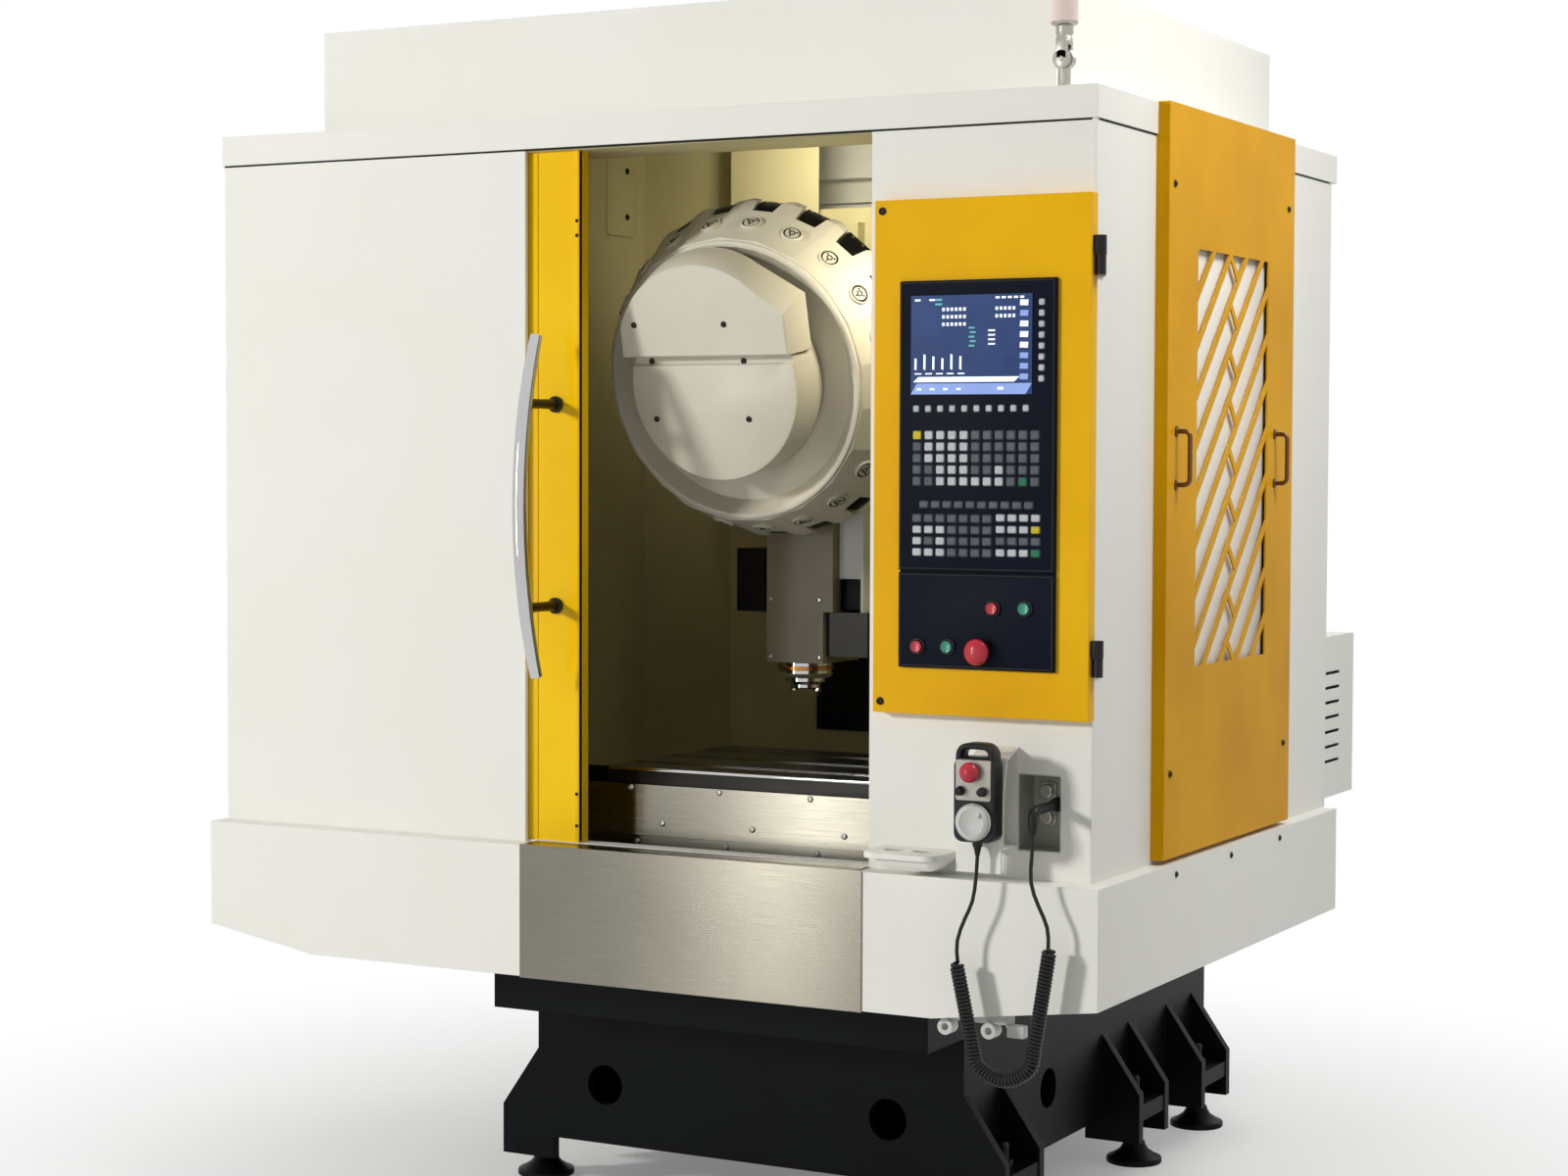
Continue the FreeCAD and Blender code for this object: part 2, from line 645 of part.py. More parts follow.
def head():
    plate_b = COLUMN_F - Z_RAIL_D - 8
    plate_f = plate_b - CARRIER_T
    lower = box(MX - HEAD_L, MX + HEAD_R, HEAD_F, HEAD_BODY_B, HEAD_BOTTOM, HEAD_STEP)
    upper = box(MX - HEAD_L, MX + HEAD_R_UPPER, HEAD_F, HEAD_BODY_B, HEAD_STEP, HEAD_TOP)
    arm_points = [
        V(MX - ARM_HALF, HEAD_BODY_B - 40, ARM_BOTTOM),
        V(MX - ARM_HALF, plate_f, ARM_BOTTOM + ARM_RISE),
        V(MX - ARM_HALF, plate_f, HEAD_TOP),
        V(MX - ARM_HALF, HEAD_BODY_B - 40, HEAD_TOP),
    ]
    arm = prism(arm_points, V(2 * ARM_HALF, 0, 0))
    plate = box(MX - CARRIER_HALF, MX + CARRIER_HALF, plate_f, plate_b, CARRIER_BOTTOM, HEAD_TOP)
    parts = [lower, upper, arm, plate]
    for side in side_signs():
        for z0 in (CARRIER_BOTTOM + 20, HEAD_TOP - 90):
            parts.append(z_carriage(MX + side * Z_RAIL_X, z0, z0 + CARRIAGE_L, plate_b))
    nut_z = (CARRIER_BOTTOM + HEAD_TOP) / 2
    parts.append(box(MX - 35, MX + 35, plate_b, COLUMN_F - 4, nut_z - 40, nut_z + 40))
    drive = box(MX - DRIVE_HALF, MX + DRIVE_HALF, DRIVE_F, DRIVE_F + 2 * DRIVE_HALF, HEAD_TOP, HEAD_TOP + DRIVE_H)
    parts.append(drive)
    axis = V(MX, SPINDLE_Y, 0)
    nose = stacked([(NOSE_R - 6, NOSE_BOTTOM - 6), (NOSE_R, NOSE_BOTTOM), (NOSE_R, HEAD_BOTTOM)], LARGE)
    nose.translate(axis)
    parts.append(nose)
    bore = rod(SPINDLE_SHAFT_R + RUN, axis.add(V(0, 0, NOSE_BOTTOM - 7)), axis.add(V(0, 0, SPINDLE_SHAFT_TOP + RUN)))
    screw = rod(Z_SCREW_R + RUN, V(MX, Z_SCREW_Y, nut_z - 41), V(MX, Z_SCREW_Y, nut_z + 41))
    return fuse(parts).cut([bore, screw])


def spindle():
    seat = NOSE_BOTTOM - 6 - RUN
    nose = stacked([
        (SPINDLE_NOSE_R, SPINDLE_END), (SPINDLE_NOSE_R, SPINDLE_STEP - 4), (SPINDLE_R, SPINDLE_STEP), (SPINDLE_R, seat),
    ], LARGE)
    taper = stacked([(TAPER_R, SPINDLE_END), (TAPER_TOP_R, SPINDLE_END + TAPER_L)], LARGE)
    shaft = rod(SPINDLE_SHAFT_R, V(0, 0, seat - 1), V(0, 0, SPINDLE_SHAFT_TOP))
    body = nose.fuse(shaft).cut(taper)
    body.translate(V(MX, SPINDLE_Y, 0))
    keys = []
    for side in side_signs():
        x = MX + side * (SPINDLE_NOSE_R - 4)
        keys.append(box(x - 5, x + 5, SPINDLE_Y - 6, SPINDLE_Y + 6, SPINDLE_END - 5, SPINDLE_END + 3))
    return fuse([body] + keys)


def head_covers():
    reach, y0, y1, z0, z1 = SIDE_COVER
    left = shell_box(MX - reach, MX - ARM_HALF, FACE_F + y0, FACE_F + y1, z0, z1, SHEET, ("+x",))
    rim = box(MX - ARM_HALF - 14, MX - ARM_HALF, HEAD_BODY_B - 40, FACE_F + y1 - 20, z0 + 20, z1 - 20)
    left = fuse([left, rim, box(MX - reach, MX - ARM_HALF, FACE_F + y1 - 30, FACE_F + y1 - 10, z0, z1)])
    reach, y0, y1, z0 = PUMP_BOX
    right = box(MX + HEAD_R, MX + reach, FACE_F + y0, FACE_F + y1, z0, HEAD_STEP)
    return Part.makeCompound([left, right])


# ================================================================ turret
def to_turret(shape):
    """Local z is the turret axis pointing forward and down, local y the rim's top."""
    shape.rotate(V(0, 0, 0), X_AXIS, 90 + TURRET_TILT)
    shape.translate(V(MX, TURRET_Y, TURRET_Z))
    return shape


def pocket_ring(inradius, a):
    """Corners of the drum's outline, which has one flat for each pocket."""
    corner = inradius / cos(pi / POTS)
    turns = [radians(POT_PHASE) + 2 * pi * (i + 0.5) / POTS for i in range(POTS)]
    return [V(corner * sin(turn), corner * cos(turn), a) for turn in turns]


def drum_disc(profile):
    """An even-sided disc about the turret axis, two sides to each pocket."""
    disc = stacked(profile, 2 * POTS)
    disc.rotate(V(0, 0, 0), Z_AXIS, -POT_PHASE)
    return disc


def turret_drum():
    band = flat_sided([
        pocket_ring(DRUM_EDGE_R, DRUM_BACK), pocket_ring(DRUM_EDGE_R, DRUM_EDGE), pocket_ring(DRUM_FRONT_R, DRUM_FRONT),
    ])
    lip = drum_disc([(RIM_R, DISH_FLOOR - 6), (RIM_R, RIM_LIP - 3), (RIM_R - 3, RIM_LIP)])
    body = fuse([band, lip])
    dish = drum_disc([(DISH_R, DISH_FLOOR), (RIM_INNER_R, RIM_LIP), (RIM_INNER_R, RIM_LIP + 1)])
    bore = Part.makeCylinder(HUB_R, DRUM_FRONT - DRUM_BACK + 2, V(0, 0, DRUM_BACK - 1))
    relief = drum_disc([(DRUM_WALL_R, DRUM_BACK - 1), (DRUM_WALL_R - 30, DISH_FLOOR - WEB_T)])
    boss = drum_disc([(HUB_R + 22, DRUM_BACK - 2), (HUB_R + 22, DISH_FLOOR - WEB_T + 1)])
    relief = relief.cut(boss)
    tools = [dish, bore, relief]
    for i in range(POTS):
        angle = POT_PHASE + 360.0 * i / POTS
        base_r = DRUM_EDGE_R - WINDOW_DEPTH
        points = [
            V(-WINDOW_NARROW / 2, base_r, WINDOW_FRONT),
            V(WINDOW_NARROW / 2, base_r, WINDOW_FRONT),
            V(WINDOW_W / 2, base_r, DRUM_BACK - 1),
            V(-WINDOW_W / 2, base_r, DRUM_BACK - 1),
        ]
        window = prism(points, V(0, 2 * WINDOW_DEPTH, 0))
        window.rotate(V(0, 0, 0), Z_AXIS, -angle)
        tools.append(window)
    return to_turret(body.cut(tools))


def gripper(angle):
    """A tool gripper seated in its window of the drum's rim."""
    base_r = DRUM_EDGE_R - WINDOW_DEPTH
    inset = 1.5
    points = [
        V(-WINDOW_NARROW / 2 + inset, base_r, WINDOW_FRONT),
        V(WINDOW_NARROW / 2 - inset, base_r, WINDOW_FRONT),
        V(WINDOW_W / 2 - inset, base_r, DRUM_BACK + 4),
        V(-WINDOW_W / 2 + inset, base_r, DRUM_BACK + 4),
    ]
    block = prism(points, V(0, WINDOW_DEPTH - 11, 0))
    block.rotate(V(0, 0, 0), Z_AXIS, -angle)
    return to_turret(block)


def turret_pots():
    slope = atan2(DRUM_EDGE_R - DRUM_FRONT_R, DRUM_FRONT - DRUM_EDGE)
    share = DRUM_FRONT / (DRUM_FRONT - DRUM_EDGE)
    radius = DRUM_FRONT_R + share * (DRUM_EDGE_R - DRUM_FRONT_R)
    cap = stacked([(POT_R, 0), (POT_R, POT_T)], POT_SIDES)
    pocket = stacked([(POT_R - 4, POT_T - 2), (POT_R - 4, POT_T + 1)], POT_SIDES)
    pots = []
    for i in range(POTS):
        pot = cap.cut(pocket)
        pot.rotate(V(0, 0, 0), X_AXIS, degrees(slope) - 90)
        pot.translate(V(0, radius, 0))
        pot.rotate(V(0, 0, 0), Z_AXIS, -(POT_PHASE + 360.0 * i / POTS))
        pots.append(to_turret(pot))
        pots.append(gripper(POT_PHASE + 360.0 * i / POTS))
    return Part.makeCompound(pots)


def disc_segment(radius, top, a0, a1):
    """A disc cut off above the height top."""
    disc = stacked([(radius, a0), (radius, a1)], COVER_SIDES)
    limit = Part.makeBox(2 * radius + 2, 2 * radius + 2, a1 - a0 + 2, V(-radius - 1, top - 2 * radius - 2, a0 - 1))
    return disc.common(limit)


def hub_cover_lower():
    skirt = stacked([(COVER_R, COVER_BACK), (COVER_R, COVER_STEP)], COVER_SIDES)
    full = disc_segment(COVER_R, GROOVE_HIGH, COVER_BACK, COVER_FRONT)
    outer = fuse([skirt, full])
    groove = Part.makeBox(2 * COVER_R + 2, GROOVE_HIGH - GROOVE_LOW + 1, GROOVE_DEPTH + 1,
                          V(-COVER_R - 1, GROOVE_LOW, COVER_FRONT - GROOVE_DEPTH))
    inner_r = COVER_R - COVER_WALL
    hollow = stacked([(inner_r, COVER_BACK - 1), (inner_r, COVER_STEP)], COVER_SIDES)
    deep = disc_segment(inner_r, GROOVE_HIGH - COVER_WALL, COVER_BACK - 1, COVER_FRONT - GROOVE_DEPTH - COVER_WALL)
    front = disc_segment(inner_r, GROOVE_LOW - COVER_WALL, COVER_BACK - 1, COVER_FRONT - COVER_WALL)
    body = outer.cut([groove, hollow, deep, front])
    roof_opening = Part.makeBox(2 * COVER_R, COVER_R, COVER_WALL + 2,
                                V(-COVER_R, GROOVE_HIGH, COVER_STEP - 1))
    return to_turret(body.cut(roof_opening))


def upper_outline(a, spread):
    left = -184.0 - spread * 0.4
    right = 136.0 + spread
    base = GROOVE_HIGH
    shoulder = V(left, 111.0 + spread * 0.2, a)
    crown = V(-79.0 + spread * 0.2, 208.0 + spread * 0.8, a)
    facet = V(60.0 + spread * 0.4, 182.0 + spread * 0.9, a)
    corner = V(132.0 + spread, 140.0 + spread * 0.5, a)
    foot_r = V(right, base, a)
    foot_l = V(left, base, a)
    bow = Part.Arc(shoulder, crown, facet).toShape().discretize(CROWN_STEPS)
    return [foot_l] + bow + [corner, foot_r]


def hub_cover_upper():
    spread = 26.0
    nose = flat_sided([upper_outline(UPPER_BEVEL, spread), upper_outline(UPPER_FRONT, 0.0)], halved=True)
    wall = prism(upper_outline(COVER_STEP, spread), V(0, 0, UPPER_BEVEL - COVER_STEP))
    outer = fuse([nose, wall])
    hollow = Part.makeBox(220.0, 60.0, UPPER_FRONT - COVER_WALL - COVER_STEP + 1,
                          V(-120.0, GROOVE_HIGH + COVER_WALL, COVER_STEP - 1))
    return to_turret(outer.cut(hollow))


def turret_carrier():
    hub = Part.makeCylinder(HUB_R - RUN, COVER_FRONT - COVER_WALL - DRUM_BACK, V(0, 0, DRUM_BACK))
    limit = Part.makeBox(400, 200 + GROOVE_LOW - COVER_WALL, 400, V(-200, -200, COVER_BACK + 2))
    front = hub.common(limit)
    rear = hub.common(Part.makeBox(400, 400, COVER_BACK + 2 - DRUM_BACK, V(-200, -200, DRUM_BACK)))
    step = Part.makeBox(120, 55, UPPER_FRONT - COVER_WALL - COVER_BACK, V(-80, GROOVE_HIGH + COVER_WALL, COVER_BACK))
    neck_top = Part.makeBox(120, 70, COVER_FRONT - GROOVE_DEPTH - COVER_WALL - COVER_BACK, V(-60, 0, COVER_BACK))
    lug = Part.makeBox(100, 30, COVER_STEP - COVER_BACK, V(-50, GROOVE_HIGH - 20, COVER_BACK))
    plate_front = DRUM_BACK - YOKE_GAP
    flange = stacked([(HUB_R + 15, plate_front), (HUB_R + 15, plate_front + YOKE_GAP - RUN)], LARGE)
    flange = flange.fuse(Part.makeCylinder(HUB_R - RUN, YOKE_GAP, V(0, 0, plate_front)))
    reach = YOKE_IN + YOKE_T
    plate = Part.makeBox(2 * reach, 200, YOKE_PLATE_T, V(-reach, -90, plate_front - YOKE_PLATE_T))
    inner = disc_segment(COVER_R, GROOVE_HIGH - COVER_WALL, COVER_BACK, COVER_FRONT)
    neck = neck_top.common(inner)
    hub_shape = to_turret(fuse([front, rear, neck, step, lug, flange, plate]))
    arms = []
    for side in side_signs():
        x0, x1 = sorted((MX + side * YOKE_IN, MX + side * reach))
        arms.append(box(x0, x1, TURRET_Y + 116, COLUMN_F, YOKE_BOTTOM, YOKE_TOP))
    return fuse([hub_shape] + arms)


# ================================================================ skirt and panels
def skirt_front_outline(y, x0, x1):
    return [
        V(x0, y, SKIRT_END_L),
        V(MX - SKIRT_KNEE_L, y, SKIRT_LOW),
        V(MX + SKIRT_KNEE_R, y, SKIRT_LOW),
        V(x1, y, SKIRT_END_R),
        V(x1, y, SKIRT_TOP),
        V(x0, y, SKIRT_TOP),
    ]


def skirt_pan():
    x0 = FACE_L - SKIRT_OUT_L
    x1 = FACE_R + SKIRT_OUT_R
    y0 = FACE_F - SKIRT_OUT_F
    y1 = SKIRT_B
    t = SKIRT_SHEET
    front = prism(skirt_front_outline(y0, x0, x1), V(0, t, 0))
    right = prism([V(x1, y0, SKIRT_END_R), V(x1, y1, SKIRT_END_R), V(x1, y1, SKIRT_TOP), V(x1, y0, SKIRT_TOP)],
                  V(-t, 0, 0))
    left = prism([V(x0, y0, SKIRT_END_L), V(x0, y1, SKIRT_END_R), V(x0, y1, SKIRT_TOP), V(x0, y0, SKIRT_TOP)],
                 V(t, 0, 0))
    back = box(x0, x1, y1 - t, y1, DECK_Z, SKIRT_TOP)
    floor = box(x0, x1, y0, y1, DECK_Z, DECK_Z + t)
    ledge = box(x0, x1, y0, y1, SKIRT_TOP - t, SKIRT_TOP)
    ledge_hole = box(FACE_L + LEDGE, FACE_R - LEDGE, FACE_F + 50, FACE_B - LEDGE, SKIRT_TOP - t - 1, SKIRT_TOP + 1)
    reach = COLUMN_HALF + BED_GAP
    notch = box(MX - reach, MX + reach, COLUMN_F, COLUMN_B + BED_GAP, SKIRT_TOP - t - 1, SKIRT_TOP + 1)
    half = BED_HALF + BED_GAP
    front_y = BED_F - BED_GAP
    back_y = COLUMN_B + BED_GAP
    bed_hole = box(MX - half, MX + half, front_y, back_y, DECK_Z - 1, DECK_Z + t + 1)
    curb = box(MX - half - t, MX + half + t, front_y - t, back_y + t, DECK_Z, DECK_Z + CURB_H)
    curb = curb.cut(box(MX - half, MX + half, front_y, back_y, DECK_Z - 1, DECK_Z + CURB_H + 1))
    track = box(FACE_R - TRACK_L, FACE_R - TRACK_R, DOOR_F - 4, DOOR_F + DOOR_T + 4, SKIRT_TOP, DOOR_BOTTOM)
    return fuse([front, right, left, back, floor.cut(bed_hole), ledge.cut([ledge_hole, notch]), curb, track])


def apron_plate():
    y1 = FACE_F - SKIRT_OUT_F
    x0 = MX - APRON_PLATE_L
    x1 = MX + APRON_PLATE_R
    plate = box(x0, x1, y1 - SHEET, y1, SKIRT_LOW - 2, SKIRT_TOP + 1 + SHEET)
    hem = box(max(x0, OPEN_L), min(x1, OPEN_R), y1 - SHEET, DOOR_F - 6, SKIRT_TOP, SKIRT_TOP + SHEET)
    return fuse([plate.cut(box(x0 - 1, x1 + 1, y1 - 9, y1 + 1, SKIRT_TOP + SHEET, SKIRT_TOP + 9)), hem])


def left_panel():
    front = box(FACE_L, PANEL_L_END, FACE_F, FACE_F + SHEET, SKIRT_TOP, LIP_Z)
    fold = box(PANEL_L_END - SHEET, PANEL_L_END, FACE_F, FACE_F + FOLD, SKIRT_TOP, LIP_Z - TOP_SHEET)
    side = box(FACE_L, FACE_L + SHEET, FACE_F, FACE_B - SHEET, SKIRT_TOP, LIP_Z)
    return fuse([front, fold, side])


def right_front_panel():
    y1 = FACE_F + SHEET
    front = box(OPEN_R, FACE_R - SHEET, FACE_F, y1, SKIRT_TOP, LIP_Z)
    fold = box(OPEN_R, OPEN_R + SHEET, FACE_F, FACE_F + FOLD, SKIRT_TOP, LIP_Z - TOP_SHEET)
    x0, x1, z0, z1 = RECESS
    holes = [
        box(CUT_L, CUT_R, FACE_F - 1, y1 + 1, CUT_BOTTOM, CUT_TOP),
        box(x0 + SHEET, x1 - SHEET, FACE_F - 1, y1 + 1, z0 + SHEET, z1 - SHEET),
    ]
    return fuse([front, fold]).cut(holes)


def right_side_panel():
    side = box(FACE_R - SHEET, FACE_R, FACE_F, FACE_B - SHEET, SKIRT_TOP, LIP_Z)
    fold = box(FACE_R - 30, FACE_R, FACE_B - 2 * SHEET, FACE_B - SHEET, SKIRT_TOP, LIP_Z)
    return fuse([side, fold])


def rear_panel():
    panel = box(FACE_L, FACE_R, FACE_B - SHEET, FACE_B, SKIRT_TOP, LIP_Z)
    x0, x1, z0, z1 = EC_INNER
    gap = box(x0 + 60, x1 - 60, FACE_B - 9, FACE_B + 9, z0 + 60, z0 + 160)
    return panel.cut(gap)


def roof_cover():
    x0 = FACE_L - ROOF_OVER
    x1 = FACE_R + SKIRT_SHEET
    y0 = FACE_F - ROOF_OVER - 1
    z1 = LIP_Z + ROOF_H
    cap = shell_box(x0, x1, y0, ROOF_B, LIP_Z, z1, SHEET, ("-z",))
    lip = box(x0, x1, y0, ROOF_B, LIP_Z, LIP_Z + SHEET)
    lip_hole = box(x0 + ROOF_LIP, x1 - ROOF_LIP, y0 + ROOF_LIP, ROOF_B - ROOF_LIP, LIP_Z - 1, LIP_Z + SHEET + 1)
    inset = HOUSING_INSET
    hole = box(HOUSING_L + inset, HOUSING_R - inset, HOUSING_F + inset, FACE_B - inset, z1 - 9, z1 + 1)
    return fuse([cap, lip.cut(lip_hole)]).cut(hole)


def top_housing():
    return shell_box(HOUSING_L, HOUSING_R, HOUSING_F, FACE_B, LIP_Z + ROOF_H, HOUSING_TOP, SHEET, ("-z",))


def inner_liner():
    """Splash walls: two sides, a back wall and a bevelled cover round the column."""
    t = SHEET
    left = MX - LINER_HALF
    right = MX + LINER_HALF
    z0 = DECK_Z + SKIRT_SHEET
    z1 = LIP_Z
    top = HOUSING_TOP - SHEET - 3
    tall_f = HOUSING_F + HOUSING_INSET + 5
    tall_r = HOUSING_R - HOUSING_INSET - 5
    spread = COVER_HALF + COVER_SPREAD
    foot_z = COVER_OPEN_BOTTOM - 50
    parts = [
        box(left - t, left, LINER_F, LINER_B, z0, z1),
        box(left - t, left, tall_f, LINER_B, z1, top),
        box(right, right + t, LINER_F, LINER_B, z0, z1),
        box(left - t, MX - spread + t, LINER_B, LINER_B + t, z0, top),
        box(MX + spread - t, right + t, LINER_B, LINER_B + t, z0, z1),
        box(MX + spread - t, tall_r, LINER_B, LINER_B + t, z1, top),
    ]
    outline = []
    for side in side_signs():
        x = MX + side * spread
        outline.append([
            V(x, LINER_B, foot_z), V(MX + side * COVER_HALF, COVER_PLANE, foot_z),
            V(MX + side * (COVER_HALF - t), COVER_PLANE + t, foot_z), V(x - side * t, LINER_B + t, foot_z),
            V(x, LINER_B + t, foot_z),
        ])
    parts += [prism(points, V(0, 0, top - foot_z)) for points in outline]
    plate = box(MX - COVER_HALF, MX + COVER_HALF, COVER_PLANE, COVER_PLANE + t, foot_z, top)
    parts.append(plate.cut(box(MX - COVER_OPEN, MX + COVER_OPEN, COVER_PLANE - 1, COVER_PLANE + t + 1,
                               COVER_OPEN_BOTTOM, top - 30)))
    low = box(MX - spread, MX + spread, LINER_B, LINER_B + t, z0, foot_z)
    room = BED_HALF + BED_GAP + SKIRT_SHEET
    parts.append(low.cut(box(MX - room, MX + room, LINER_B - 1, LINER_B + t + 1, z0 - 1, foot_z + 1)))
    shelf = box(MX - spread + t, MX + spread - t, COVER_PLANE, LINER_B + t, foot_z - t, foot_z)
    parts.append(shelf.cut(box(MX - COLUMN_HALF - 5, MX + COLUMN_HALF + 5, COLUMN_F - 5, LINER_B + 9, 0, LIP_Z)))
    parts.append(box(left - t, right + t, FACE_F + SHEET, tall_f, z1 - TOP_SHEET, z1))
    parts.append(box(tall_r, right + t, tall_f, LINER_B + t, z1 - TOP_SHEET, z1))
    parts.append(box(FACE_R - TRACK_L, FACE_R - TRACK_R, DOOR_F - 4, DOOR_F + DOOR_T + 4, DOOR_TOP, z1))
    parts.append(box(left, left + 6, FACE_F + 520, FACE_F + 760, 1560, 1790))
    return fuse(parts)


def way_cover():
    half = COVER_OPEN - 5
    y1 = COLUMN_F - Z_RAIL_D - 2
    plates = []
    steps = 3
    height = (CARRIER_BOTTOM - 6 - COVER_OPEN_BOTTOM) / steps
    for i in range(steps):
        z0 = COVER_OPEN_BOTTOM + i * height
        plates.append(box(MX - half + 4 * i, MX + half - 4 * i, y1 - 10 + 2 * i, y1, z0, z0 + height))
    stand = box(MX - 60, MX + 60, y1, COLUMN_F, COVER_OPEN_BOTTOM + 10, COVER_OPEN_BOTTOM + 100)
    room = Z_BEARING_HALF + 2
    bearing = box(MX - room, MX + room, y1 - 11, y1 + 1, Z_RAIL_BOTTOM - 22, CARRIER_BOTTOM)
    return fuse(plates + [stand]).cut(bearing)


# ================================================================ gold side panel
GRILLE_Y = (257.0, 899.0)
GRILLE_Z = (677.0, 1918.0)
GRILLE_OPEN_Y = (396.0, 756.0)
GRILLE_OPEN_Z = (989.0, 1687.0)
GRILLE_RIB = 12.0
GRILLE_PITCH = 83.0         # rib to rib, measured upright
GRILLE_FIRST_Z = 1524.0     # a rib's centre on the opening's front edge
GRILLE_LINK_Y = (559.0, 599.0)


def rib_height(index, y):
    """Height of the middle of a 45 degree rib at the distance y from the front."""
    return GRILLE_FIRST_Z + index * GRILLE_PITCH + (y - GRILLE_OPEN_Y[0])


def grille_slot(index, window):
    """The opening between two neighbouring ribs, crossed by one short link."""
    half = GRILLE_RIB / sqrt(2)
    front, rear = GRILLE_OPEN_Y
    x = FACE_R + GRILLE_PROUD - 2 * SKIRT_SHEET
    way = V(3 * SKIRT_SHEET, 0, 0)
    points = [
        V(x, FACE_F + front, rib_height(index, front) + half),
        V(x, FACE_F + rear, rib_height(index, rear) + half),
        V(x, FACE_F + rear, rib_height(index + 1, rear) - half),
        V(x, FACE_F + front, rib_height(index + 1, front) - half),
    ]
    link_f, link_r = GRILLE_LINK_Y
    top = rib_height(index + 1, link_f)
    foot = rib_height(index, link_r)
    link = prism([
        V(x, FACE_F + link_f - half, top), V(x, FACE_F + link_f + half, top),
        V(x, FACE_F + link_r + half, foot), V(x, FACE_F + link_r - half, foot),
    ], way)
    return prism(points, way).common(window).cut(link)


def grille_panel():
    y0, y1 = (FACE_F + v for v in GRILLE_Y)
    z0, z1 = GRILLE_Z
    x1 = FACE_R + GRILLE_PROUD
    body = shell_box(FACE_R, x1, y0, y1, z0, z1, SKIRT_SHEET, ("-x",))
    roof_clear = box(FACE_R - 1, FACE_R + SKIRT_SHEET, y0 - 1, y1 + 1, LIP_Z, z1 + 1)
    low, high = GRILLE_OPEN_Z
    front, rear = GRILLE_OPEN_Y
    window = box(FACE_R, x1 + SKIRT_SHEET, FACE_F + front, FACE_F + rear, low, high)
    lowest = int(floor((low - rib_height(0, rear)) / GRILLE_PITCH)) - 1
    highest = int(floor((high - rib_height(0, front)) / GRILLE_PITCH)) + 1
    cuts = [roof_clear]
    for index in range(lowest, highest):
        slot = grille_slot(index, window)
        if slot.Volume > GRILLE_PITCH * SKIRT_SHEET:
            cuts.append(slot)
    return body.cut(cuts)


def c_handle(y):
    x0 = FACE_R + GRILLE_PROUD
    x1 = x0 + GRILLE_HANDLE_OUT - 4
    low, high = 1290.0, 1386.0
    grip = bar(4, V(x1, y, low), V(x1, y, high), FINE)
    ends = [bar(4, V(x0, y, z), V(x1, y, z), FINE) for z in (low + 4, high - 4)]
    return fuse([grip] + ends)


def grille_handles():
    return Part.makeCompound([c_handle(FACE_F + y) for y in (300.0, 800.0)])


# ================================================================ rear boxes
EC_X = (FACE_R - 1400.0, FACE_R - 400.0)
EC_Z = (700.0, 1800.0)
EC_INNER = (EC_X[0], EC_X[1], EC_Z[0], EC_Z[1])
EC_B = FACE_F + 1430.0
EC_DOOR_T = 20.0
EC_HINGE_R = 7.5
EC_HINGE_OUT = 8.0
EC_PIN_R = 3.0
LOUVRE_X = (FACE_R - 331.0, FACE_R - 31.0)
LOUVRE_Z = (673.0, 988.0)
LOUVRES = 7
LOUVRE_PITCH = 29.0


def louvred_box():
    x0, x1 = LOUVRE_X
    z0, z1 = LOUVRE_Z
    y0, y1 = FACE_B, FACE_F + REAR_REACH
    body = shell_box(x0, x1, y0, y1, z0, z1, SHEET, ("-y",))
    slots = []
    mid = (z0 + z1) / 2
    for i in range(LOUVRES):
        z = mid + (i - (LOUVRES - 1) / 2) * LOUVRE_PITCH
        slots.append(box(x1 - 5, x1 + 1, y0 + 90, y0 + 188, z - 3, z + 3))
    lip = box(x0, x1, y0, y1 - 4, z1, z1 + SHEET)
    return fuse([body.cut(slots), lip])


def electrical_cabinet():
    x0, x1 = EC_X
    z0, z1 = EC_Z
    body = shell_box(x0, x1, FACE_B, EC_B, z0, z1, SHEET, ("+y",))
    plate = box(x0 + 60, x1 - 60, FACE_B + SHEET, FACE_B + SHEET + 4, z0 + 200, z1 - 60)
    units = []
    for i in range(4):
        left = x0 + 120 + i * 200
        units.append(box(left, left + 140, FACE_B + SHEET + 4, FACE_B + 150, z0 + 500, z0 + 860))
    x = x0 - EC_HINGE_OUT
    hinge = [bar(EC_HINGE_R, V(x, EC_B, z), V(x, EC_B, z + 60), SMALL) for z in (z0 + 100, z1 - 160)]
    leafs = [box(x, x0, EC_B - 30, EC_B, z, z + 60) for z in (z0 + 100, z1 - 160)]
    body = fuse([body, plate] + units + hinge + leafs)
    pins = [rod(EC_PIN_R + 0.3, V(x, EC_B, z - 1), V(x, EC_B, z + 61)) for z in (z0 + 100, z1 - 160)]
    return body.cut(pins)


def cabinet_door():
    x0, x1 = EC_X
    z0, z1 = EC_Z
    door = shell_box(x0 + 4, x1 - 1, EC_B + 0.3, EC_B + EC_DOOR_T, z0 + 2, z1 - 2, SHEET, ("-y",))
    parts = [door]
    x = x0 - EC_HINGE_OUT
    for z in (z0 + 100, z1 - 160):
        parts.append(bar(EC_HINGE_R, V(x, EC_B, z + 60.3), V(x, EC_B, z + 84), SMALL))
        parts.append(rod(EC_PIN_R, V(x, EC_B, z + 2), V(x, EC_B, z + 84)))
        parts.append(box(x, x0 + 8, EC_B + 2.3, EC_B + EC_HINGE_R - 0.2, z + 60.3, z + 84))
    latch = box(x1 - 60, x1 - 36, EC_B + EC_DOOR_T, EC_B + EC_DOOR_T + 12, 1200, 1320)
    parts.append(latch)
    return fuse(parts)


